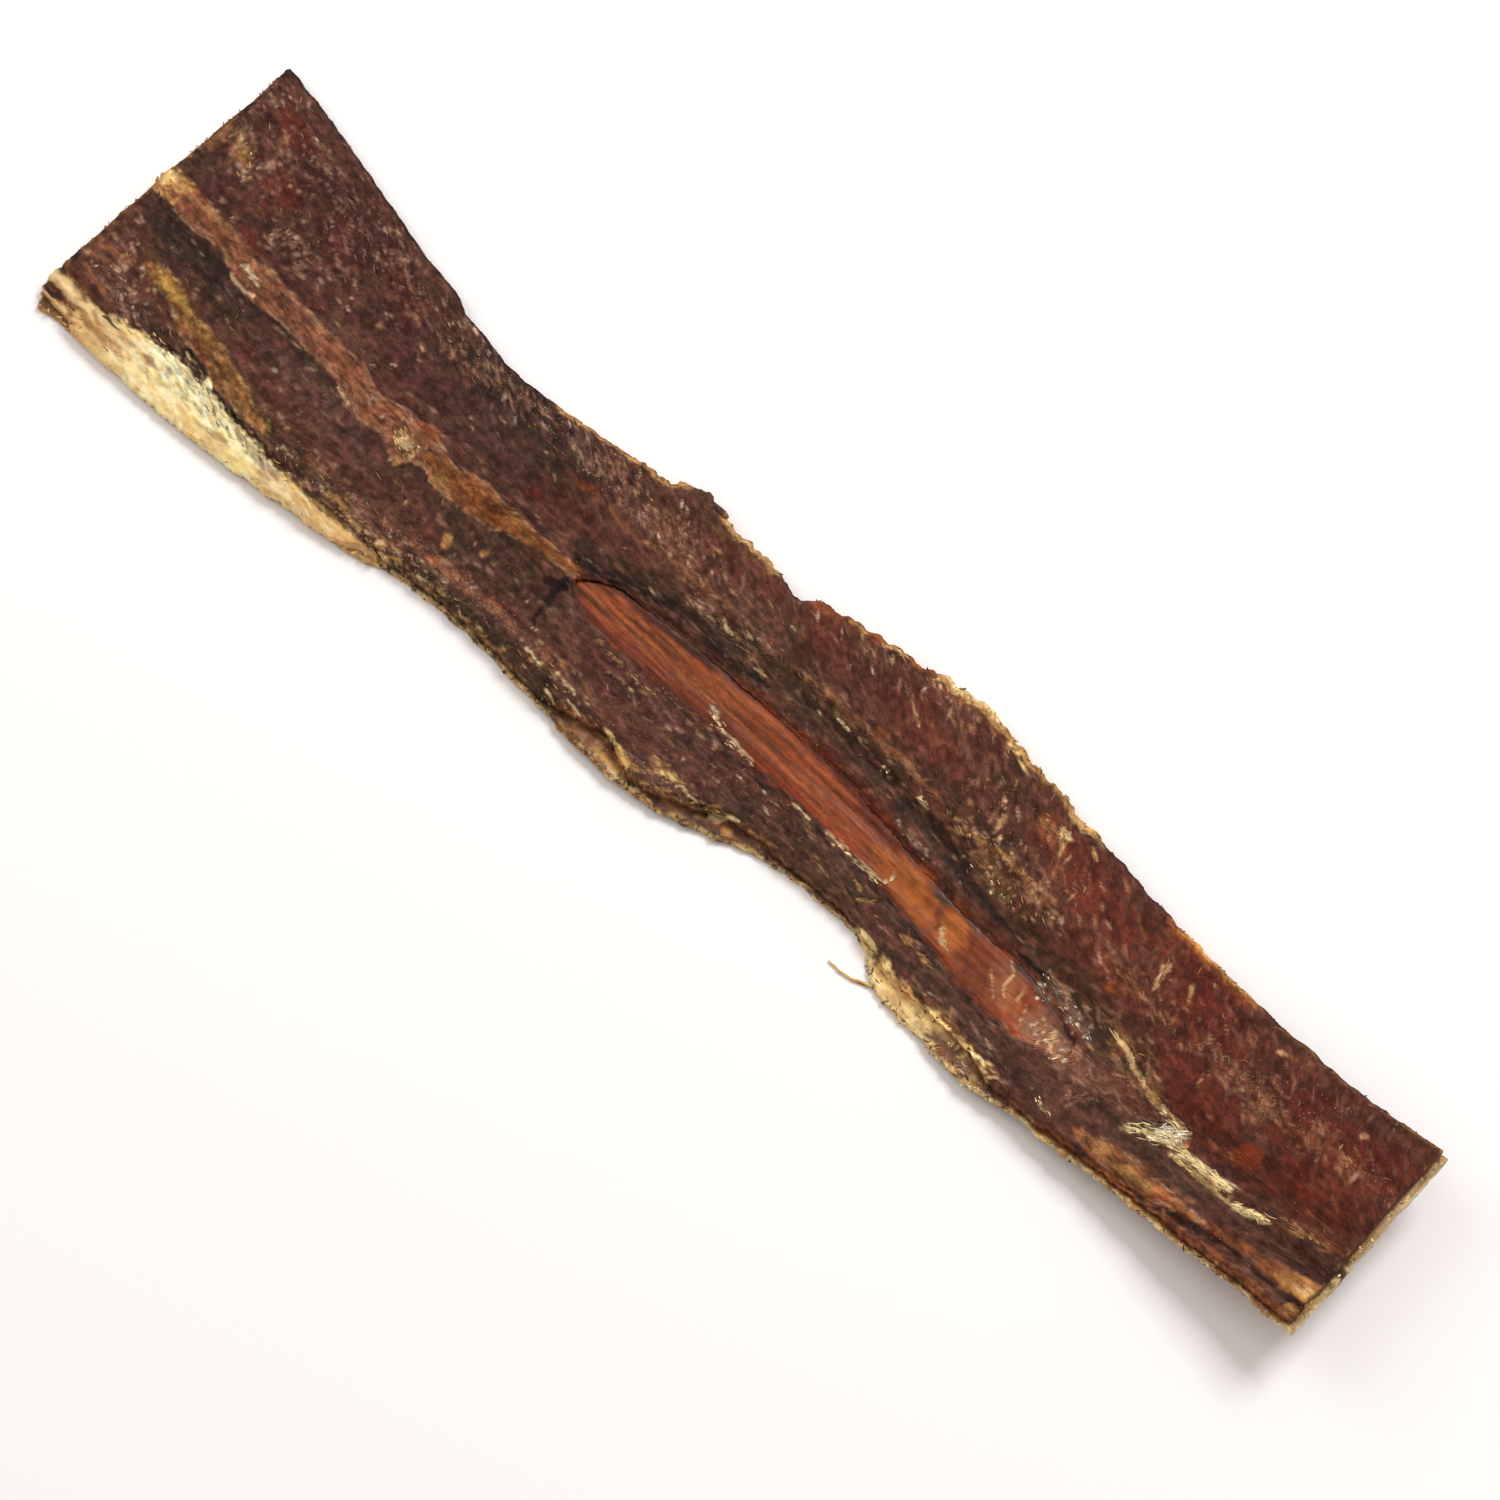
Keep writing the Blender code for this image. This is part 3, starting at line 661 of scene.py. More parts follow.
class Board:
    """Node board of one material, with short calls for the nodes on it."""

    def __init__(self, name: str) -> None:
        """Start a material with its shader.

        Args:
            name: Name of the material.
        """
        self.material = bpy.data.materials.new(name)
        self.material.use_nodes = True
        self.tree = self.material.node_tree
        self.shader = self.tree.nodes["Principled BSDF"]

    def node(self, kind: str, inputs: dict, **settings: object) -> bpy.types.Node:
        """Node of a kind with its inputs linked or set.

        Args:
            kind: Name of the node's type.
            inputs: Sockets or values by the name or number of the input.
            settings: Properties of the node.

        Returns:
            The new node.
        """
        made = self.tree.nodes.new(kind)
        for name, value in settings.items():
            setattr(made, name, value)
        for key, value in inputs.items():
            if isinstance(value, bpy.types.NodeSocket):
                self.tree.links.new(value, made.inputs[key])
            else:
                made.inputs[key].default_value = value
        return made

    def maths(self, operation: str, first: object, second: object = 0.0) -> bpy.types.NodeSocket:
        """Result of one operation on two numbers."""
        return self.node("ShaderNodeMath", {0: first, 1: second}, operation=operation).outputs[0]

    def grade(
        self, value: object, low: float, high: float, bottom: float = 0.0, top: float = 1.0,
    ) -> bpy.types.NodeSocket:
        """Number eased from bottom at low to top at high."""
        inputs = {"Value": value, "From Min": low, "From Max": high, "To Min": bottom, "To Max": top}
        return self.node("ShaderNodeMapRange", inputs, interpolation_type="SMOOTHSTEP").outputs[0]

    def vector(self, operation: str, inputs: dict) -> bpy.types.NodeSocket:
        """Result of one operation on vectors."""
        return self.node("ShaderNodeVectorMath", inputs, operation=operation).outputs[0]

    def mix(self, factor: object, first: object, second: object, blend: str = "MIX") -> bpy.types.NodeSocket:
        """Two colours mixed by a factor."""
        inputs = {0: factor, 6: first, 7: second}
        return self.node("ShaderNodeMix", inputs, data_type="RGBA", blend_type=blend).outputs[2]

    def noise(self, place: object, scale: float, detail: float = 2.0) -> bpy.types.NodeSocket:
        """Noise of a scale at a place."""
        inputs = {"Vector": place, "Scale": scale, "Detail": detail}
        return self.node("ShaderNodeTexNoise", inputs).outputs["Fac"]

    def attribute(self, name: str) -> bpy.types.Node:
        """Values painted on the mesh."""
        return self.node("ShaderNodeAttribute", {}, attribute_name=name)

    def set(self, **values: object) -> None:
        """Set or link inputs of the shader, by their names with underscores for blanks."""
        for name, value in values.items():
            socket = self.shader.inputs[name.replace("_", " ")]
            if isinstance(value, bpy.types.NodeSocket):
                self.tree.links.new(value, socket)
            else:
                socket.default_value = value


@dataclass(frozen=True)
class Finish:
    """Painted surface with mottles, fibres, painted glint specks, fine grain and gloss."""

    name: str
    roughness: float = 0.5
    spread: float = 0.2
    streak: tuple[float, float] = (3.0, 0.4)
    contrast: float = 0.12
    mottle: float = 0.2
    sparkle: float = 0.0
    depth: float = 0.025
    specular: float = 0.1
    subsurface: float = 0.0
    sparkle_colour: tuple[float, float, float, float] = (0.50, 0.38, 0.24, 1.0)

    def fibres(
        self, board: Board, place: bpy.types.NodeSocket, sizes: tuple[float, float], detail: float,
    ) -> bpy.types.NodeSocket:
        """Noise drawn out along the four directions of the fibres.

        Args:
            board: Board of the material.
            place: Places on the object.
            sizes: Length and width of a cell in millimetres.
            detail: Detail of the noise.

        Returns:
            The noise, around one half.
        """
        weights = board.attribute("flow")
        parts = board.node("ShaderNodeSeparateColor", {"Color": weights.outputs["Color"]})
        shares = [parts.outputs[0], parts.outputs[1], parts.outputs[2], weights.outputs["Alpha"]]
        total = None
        for share, turn in zip(shares, Flow.turns):
            inputs = {
                "Vector": place,
                "Rotation": (0.0, 0.0, math.radians(turn)),
                "Scale": (sizes[0] * METRE, sizes[1] * METRE, 1.6 * sizes[1] * METRE),
            }
            mapped = board.node("ShaderNodeMapping", inputs, vector_type="TEXTURE").outputs[0]
            part = board.maths("MULTIPLY", board.noise(mapped, 1.0, detail), share)
            total = part if total is None else board.maths("ADD", total, part)
        return total

    def swayed(self, board: Board) -> bpy.types.NodeSocket:
        """Places on the object, moved a little to and fro so that no fibre runs straight.

        Args:
            board: Board of the material.

        Returns:
            The places.
        """
        place = board.node("ShaderNodeTexCoord", {}).outputs["Object"]
        inputs = {"Vector": place, "Scale": 300.0, "Detail": 2.0}
        cloud = board.node("ShaderNodeTexNoise", inputs).outputs["Color"]
        sway = board.vector("SUBTRACT", {0: cloud, 1: (0.5, 0.5, 0.5)})
        sway = board.vector("SCALE", {0: sway, "Scale": 1.2 * METRE})
        return board.vector("ADD", {0: place, 1: sway})

    def material(self) -> bpy.types.Material:
        """Material with all its nodes.

        Returns:
            The material.
        """
        board = Board(self.name)
        place = self.swayed(board)
        paint = board.attribute("paint")
        streaks = self.fibres(board, place, self.streak, 2.0)
        medium, fine = board.noise(place, 640.0, 3.0), board.noise(place, 2400.0, 2.0)
        light = None
        for value, depth in ((streaks, self.contrast), (medium, self.mottle), (fine, 0.5 * self.mottle)):
            part = board.grade(value, 0.3, 0.7, 1.0 - depth, 1.0 + 1.15 * depth)
            light = part if light is None else board.maths("MULTIPLY", light, part)
        tone = board.node("ShaderNodeCombineColor", {0: light, 1: light, 2: light}).outputs[0]
        colour = board.mix(1.0, paint.outputs["Color"], tone, "MULTIPLY")
        # Painted glints: tiny pale specks mixed into the base colour, denser where the paint's alpha, the
        # fleck cover, is high.
        if self.sparkle > 0.0:
            sparkle_mask = board.maths("MULTIPLY", paint.outputs["Alpha"], 0.08)
            sparkle_mask = board.maths("ADD", self.fibres(board, place, (0.5, 0.3), 1.0), sparkle_mask)
            colour = board.mix(board.grade(sparkle_mask, 0.74, 0.80, 0.0, self.sparkle), colour, self.sparkle_colour)
        half = self.spread / 2
        blotch = board.noise(place, 420.0, 3.0)
        rough = board.grade(blotch, 0.35, 0.7, self.roughness - half, self.roughness + half)
        relief = board.maths("ADD", streaks, board.maths("MULTIPLY", board.noise(place, 1300.0, 3.0), 0.9))
        inputs = {"Strength": 1.0, "Distance": self.depth * METRE, "Height": relief}
        bump = board.node("ShaderNodeBump", inputs).outputs[0]
        board.set(Base_Color=colour, Roughness=rough, Normal=bump, Specular_IOR_Level=self.specular)
        if self.subsurface > 0.0:
            board.set(Subsurface_Weight=self.subsurface, Subsurface_Scale=METRE)
            board.set(Subsurface_Radius=(1.2, 0.6, 0.3))
        return board.material


def corners_of(piece: bpy.types.Object) -> Array:
    """Places of a mesh's corners, one row each.

    Args:
        piece: Mesh to read.

    Returns:
        Places, one row each.
    """
    flat = np.empty(len(piece.data.vertices) * 3)
    piece.data.vertices.foreach_get("co", flat)
    return flat.reshape(-1, 3)


def set_corners(piece: bpy.types.Object, places: Array) -> None:
    """Move a mesh's corners."""
    piece.data.vertices.foreach_set("co", np.ascontiguousarray(places, float).ravel())
    piece.data.update()


def paint_mesh(
    piece: bpy.types.Object, colours: Array, flow: Array | None = None, flecks: Array | None = None,
) -> None:
    """Store the paint and the direction of the fibres on a mesh.

    Args:
        piece: Object to paint.
        colours: Red, green and blue, one row a corner.
        flow: Shares of the four directions, one row a corner; else all run along the strip.
        flecks: How many flecks show at each corner; else none.
    """
    count = len(colours)
    flow = np.tile((1.0, 0.0, 0.0, 0.0), (count, 1)) if flow is None else flow
    flecks = np.zeros(count) if flecks is None else flecks
    for name, values in (("paint", np.column_stack((colours, flecks))), ("flow", flow)):
        layer = piece.data.attributes.new(name, "FLOAT_COLOR", "POINT")
        layer.data.foreach_set("color", np.ascontiguousarray(np.clip(values, 0.0, 1.0), np.float32).ravel())


def select_none() -> None:
    """Leave no object selected."""
    bpy.ops.object.select_all(action="DESELECT")


def flat_grid(name: str, columns: int, rows: int) -> tuple[bpy.types.Object, Array, Array]:
    """Grid primitive, with the share along and across of each of its corners.

    Args:
        name: Name of the object.
        columns: Corners along.
        rows: Corners across.

    Returns:
        The grid, and two arrays of shares from 0 to 1.
    """
    select_none()
    bpy.ops.mesh.primitive_grid_add(x_subdivisions=columns - 1, y_subdivisions=rows - 1, size=1.0)
    grid = bpy.context.object
    grid.name = name
    places = corners_of(grid)
    return grid, places[:, 0] + 0.5, places[:, 1] + 0.5


def close_mesh(merge: float | None = None, triangles: bool = False) -> None:
    """Close the active object's mesh and turn its faces outwards.

    Args:
        merge: Corners closer than this become one and holes are filled, unless it is None.
        triangles: Whether the faces are split into triangles.
    """
    bpy.ops.object.mode_set(mode="EDIT")
    bpy.ops.mesh.select_all(action="SELECT")
    if merge is not None:
        bpy.ops.mesh.remove_doubles(threshold=merge)
        bpy.ops.mesh.fill_holes(sides=0)
        bpy.ops.mesh.select_all(action="SELECT")
    if triangles:
        bpy.ops.mesh.quads_convert_to_tris(quad_method="SHORTEST_DIAGONAL", ngon_method="BEAUTY")
    bpy.ops.mesh.normals_make_consistent(inside=False)
    bpy.ops.object.mode_set(mode="OBJECT")


def finish_piece(piece: bpy.types.Object, finish: Finish, angle: float = 60.0) -> None:
    """Shade a finished piece, give it its material and let it ride.

    Args:
        piece: Object in its place.
        finish: Finish of the piece.
        angle: Edges sharper than this stay sharp, in degrees.
    """
    piece.data.materials.clear()
    piece.data.materials.append(finish.material())
    select_none()
    piece.select_set(True)
    bpy.context.view_layer.objects.active = piece
    bpy.ops.object.shade_smooth_by_angle(angle=math.radians(angle))
    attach(piece, "root")
    log.info("%s: %d corners, %d faces", piece.name, len(piece.data.vertices), len(piece.data.polygons))


@dataclass
class Layer:
    """Closed layer of the flat strip between two skins."""

    name: str
    places: Array
    top_rows: Array
    under_rows: Array
    top: Height
    under: Height
    parted: tuple[int, int] | None = None

    def skin(self, rows: Array, height: Height, parted: int | None) -> bpy.types.Object:
        """Grid moved onto one skin, parted between two bands of rows.

        Args:
            rows: Places across the strip, one line for each column.
            height: Height function of the skin.
            parted: First row of the second band, or None.

        Returns:
            The skin as an object.
        """
        columns, lines = rows.shape
        sheet, along, across = flat_grid(self.name, columns, lines)
        column = np.rint(along * (columns - 1)).astype(int)
        row = np.rint(across * (lines - 1)).astype(int)
        x, y = self.places[column], rows[column, row]
        set_corners(sheet, np.stack((x, y, height(x, y)), -1))
        if parted is None:
            return sheet
        bpy.ops.object.mode_set(mode="EDIT")
        bpy.ops.mesh.select_mode(type="FACE")
        bpy.ops.mesh.select_all(action="DESELECT")
        mesh = bmesh.from_edit_mesh(sheet.data)
        for face in mesh.faces:
            if min(row[corner.index] for corner in face.verts) == parted - 1:
                face.select_set(True)
        bmesh.update_edit_mesh(sheet.data)
        bpy.ops.mesh.delete(type="FACE")
        bpy.ops.mesh.select_mode(type="VERT")
        bpy.ops.mesh.select_all(action="SELECT")
        bpy.ops.mesh.remove_doubles(threshold=MERGE)
        bpy.ops.object.mode_set(mode="OBJECT")
        return sheet

    def walls(self, sheet: bpy.types.Object) -> None:
        """Walls along all borders of the upper skin but its two ends.

        Args:
            sheet: Upper skin of the layer.
        """
        bpy.ops.object.mode_set(mode="EDIT")
        bpy.ops.mesh.select_mode(type="EDGE")
        bpy.ops.mesh.select_all(action="DESELECT")
        mesh = bmesh.from_edit_mesh(sheet.data)
        low, high = self.places[0] + NEAR, self.places[-1] - NEAR
        for edge in mesh.edges:
            first, second = edge.verts[0].co.x, edge.verts[1].co.x
            at_end = max(first, second) < low or min(first, second) > high
            if edge.is_boundary and not at_end:
                edge.select_set(True)
        bmesh.update_edit_mesh(sheet.data)
        bpy.ops.mesh.extrude_edges_move()
        bpy.ops.mesh.select_mode(type="VERT")
        bpy.ops.object.mode_set(mode="OBJECT")
        chosen = np.empty(len(sheet.data.vertices), bool)
        sheet.data.vertices.foreach_get("select", chosen)
        corners = corners_of(sheet)
        corners[chosen, 2] = self.under(corners[chosen, 0], corners[chosen, 1])
        set_corners(sheet, corners)

    def build(self) -> bpy.types.Object:
        """Both skins, the walls and the ends, joined to one closed mesh.

        Returns:
            The closed layer.
        """
        top_part, under_part = self.parted or (None, None)
        below = self.skin(self.under_rows, self.under, under_part)
        above = self.skin(self.top_rows, self.top, top_part)
        self.walls(above)
        select_none()
        below.select_set(True)
        above.select_set(True)
        bpy.context.view_layer.objects.active = above
        bpy.ops.object.join()
        close_mesh(MERGE, triangles=True)
        above.name = self.name
        return above


def shares(count: int, tight: float = 0.35) -> Array:
    """Shares of a width from 0 to 1, closer together at both ends."""
    t = np.linspace(0.0, 1.0, count)
    return t - tight * np.sin(2.0 * math.pi * t) / (2.0 * math.pi)


def spread(low: Array, high: Array, parts: Array) -> Array:
    """Rows between two borders, one line for each column."""
    return low[:, None] + (high - low)[:, None] * parts[None, :]


@dataclass
class Rods:
    """Many small tapered rods joined to one mesh, each with its own colour."""

    name: str
    rings: int = 2

    def template(self) -> tuple[Array, Array]:
        """Corners and triangles of one rod along X, with three sides and closed tips.

        Returns:
            Places of the corners, and the numbers of each triangle's corners.
        """
        select_none()
        turn = (0.0, math.pi / 2, 0.0)
        bpy.ops.mesh.primitive_cylinder_add(
            vertices=3, radius=1.0, depth=1.0, end_fill_type="NOTHING", rotation=turn,
        )
        rod = bpy.context.object
        bpy.ops.object.transform_apply(location=False, rotation=True, scale=False)
        bpy.ops.object.mode_set(mode="EDIT")
        for ring in range(self.rings):
            bpy.ops.mesh.select_all(action="SELECT")
            cut = -0.5 + (ring + 0.7) / (self.rings + 0.4)
            bpy.ops.mesh.bisect(plane_co=(cut, 0.0, 0.0), plane_no=(1.0, 0.0, 0.0))
        for side in (-1.0, 1.0):
            bpy.ops.mesh.select_all(action="DESELECT")
            mesh = bmesh.from_edit_mesh(rod.data)
            for corner in mesh.verts:
                corner.select_set(corner.co.x * side > 0.499)
            bmesh.update_edit_mesh(rod.data)
            bpy.ops.mesh.merge(type="CENTER")
        bpy.ops.mesh.select_all(action="SELECT")
        bpy.ops.mesh.quads_convert_to_tris()
        bpy.ops.mesh.normals_make_consistent(inside=False)
        bpy.ops.object.mode_set(mode="OBJECT")
        corners = corners_of(rod)
        faces = np.array([tuple(face.vertices) for face in rod.data.polygons])
        bpy.data.objects.remove(rod)
        return corners, faces

    def build(
        self, x: Array, y: Array, turn: Array, length: Array, half_width: Array, rise: Array,
        height: Height, colours: Array, lift: Array | None = None, bow: Array | None = None,
        raise_by: Array | None = None,
    ) -> bpy.types.Object:
        """Rods copied to their places.

        Args:
            x: Places of the middles along the flat strip.
            y: Places of the middles across it.
            turn: Directions in radians.
            length: Lengths.
            half_width: Half widths.
            rise: Heights over the surface.
            height: Height function of the surface that carries the rods.
            colours: Colour of each rod.
            lift: Extra height of the far tip of each rod.
            bow: Sideways bow of each rod as a part of its length.
            raise_by: Height of each whole rod over the surface.

        Returns:
            The joined rods as an object.
        """
        corners, faces = self.template()
        count = len(x)
        along = corners[None, :, 0] * length[:, None]
        side = corners[None, :, 1] * half_width[:, None]
        if bow is not None:
            side = side + (4.0 * corners[None, :, 0] ** 2 - 0.5) * (bow * length)[:, None]
        up = corners[None, :, 2] * rise[:, None]
        if lift is not None:
            up = up + lift[:, None] * (corners[None, :, 0] + 0.5) ** 2
        if raise_by is not None:
            up = up + raise_by[:, None]
        cosine, sine = np.cos(turn)[:, None], np.sin(turn)[:, None]
        flat_x = (x[:, None] + along * cosine - side * sine).ravel()
        flat_y = (y[:, None] + along * sine + side * cosine).ravel()
        flat_z = height(flat_x, flat_y) + up.ravel()
        bent = STRIP.bend(flat_x, flat_y, flat_z)
        size = len(corners)
        triangles = (faces[None, :, :] + size * np.arange(count)[:, None, None]).reshape(-1, 3)
        data = bpy.data.meshes.new(self.name)
        data.from_pydata(STRIP.place(bent).tolist(), [], triangles.tolist())
        rods = bpy.data.objects.new(self.name, data)
        bpy.context.scene.collection.objects.link(rods)
        paint_mesh(rods, np.repeat(colours, size, 0), Flow.weights(flat_x, flat_y))
        return rods


MEAT_BANDS = (
    Band(Tone.TAN, ((-154, -2.2), (-148, -1.8), (-144, -2.6), (-140, -3), (-136, -2.4), (-132, -2.8),
        (-128, -4.4), (-126, -5.4), (-120, -6), (-114, -5.6), (-108, -6), (-103, -6.6), (-97, -6.8),
        (-95, -7.6), (-92, -9), (-89, -9.8), (-86.5, -10.3), (-84, -9.4), (-81, -9), (-80, -10.6),
        (-76, -11.6), (-74.5, -10), (-72, -8.6), (-70, -9.2), (-68, -10.2), (-64, -10.4), (-56, -9.8),
        (-53, -9.6), (-51, -8), (-48, -7.4), (-44, -6.6), (-35, -6.2)), ((-154, 4), (-148, 3.8), (-144, 3.2),
        (-138, 2.6), (-134, 2), (-130, 0.6), (-126, 0.2), (-122, 1), (-118, 0.2), (-112, -0.2), (-106, -0.8),
        (-100, -1.4), (-95, -1.2), (-91, -3.2), (-88, -4), (-84, -2.6), (-80, -3), (-76, -1.2), (-73, -1.8),
        (-71, -4.6), (-66, -4.8), (-63, -3.6), (-60, -3.2), (-55, -3.9), (-50, -4.2), (-35, -3.8)), 0.82,
        0.45, 0.5, (True, False)),
    Band(Tone.TAN, ((-141, -15), (-137, -16), (-134, -16.4), (-131, -17.6), (-128, -18.8), (-125, -20.6),
        (-121, -21), (-117, -21.8), (-113, -23.6), (-108, -24.2), (-99, -24.8)), ((-141, -14.2), (-137, -13),
        (-134, -12.9), (-131, -13.8), (-129.6, -15.2), (-126, -15.8), (-118, -16.6), (-115, -17.6),
        (-111, -19), (-107, -20.4), (-99, -23.2)), 0.8, 0.45, 0.45),
    Band(Tone.DUSK, ((-64, -22.2), (-40, -21.8), (-10, -22.6)), ((-64, -20.2), (-40, -19.6), (-10, -20)), 0.5,
        0.6, 0.6),
    Band(Tone.TAN, ((102, -23.2), (107, -24.2), (113, -24.3), (120, -23), (127, -21), (131, -20)),
        ((102, -22.6), (107, -20.7), (111, -19.6), (120, -19.5), (127, -20), (131, -19.8)), 0.9, 0.35, 0.4),
    Band(Tone.TAN, ((127, -20.2), (133, -20.1), (140, -19.7), (146, -19.2), (153, -18.7)), ((127, -19.6),
        (133, -18.7), (140, -17.2), (146, -15.7), (153, -14)), 0.85, 0.35, 0.5, (False, True)),
    Band(Tone.DARK_MARK_AND_SHADOW, ((100, -26), (107, -26), (117, -25), (127, -22.6), (137, -21.2), (153, -20.6)),
        ((100, -25.4), (107, -24.8), (117, -24), (127, -21.6), (137, -20), (153, -19.2)), 0.85, 0.4, 0.3,
        (False, True)),
    Band(Tone.DARK_MARK_AND_SHADOW, ((112, -18.6), (120, -18.4), (130, -17.8), (140, -16.6), (147, -15.4), (153, -14)),
        ((112, -18), (120, -17.4), (130, -16.6), (140, -15), (147, -13.6), (153, -12.4)), 0.7, 0.5, 0.3,
        (False, True)),
    Band(Tone.TAN, ((112, -19.4), (122, -19), (134, -17.8), (144, -16)), ((112, -18.8), (122, -18.2),
        (134, -17), (144, -15.4)), 0.35, 0.4, 0.4),
    Band(Tone.BUTTER, ((108, -16.6), (112, -15.2), (116, -13.8), (119, -14.2), (124, -14.6), (130, -14.8),
        (131.4, -14)), ((108, -16), (112, -13.4), (114.6, -11.4), (118.6, -10.2), (119, -12.2), (124, -11.9),
        (130, -12.4), (131.4, -13.4)), 0.62, 0.5, 0.8),
    Band(Tone.BUTTER, ((129.6, -14.9), (134, -14.2), (139, -12.2)), ((129.6, -14.2), (134, -12.6),
        (139, -11.5)), 0.65, 0.4, 0.8),
    Band(Tone.TAN, ((136, -12.2), (144, -10.6), (153, -8.6)), ((136, -10.2), (144, -8.2), (153, -6.2)), 0.4,
        0.6, 0.9, (False, True)),
)

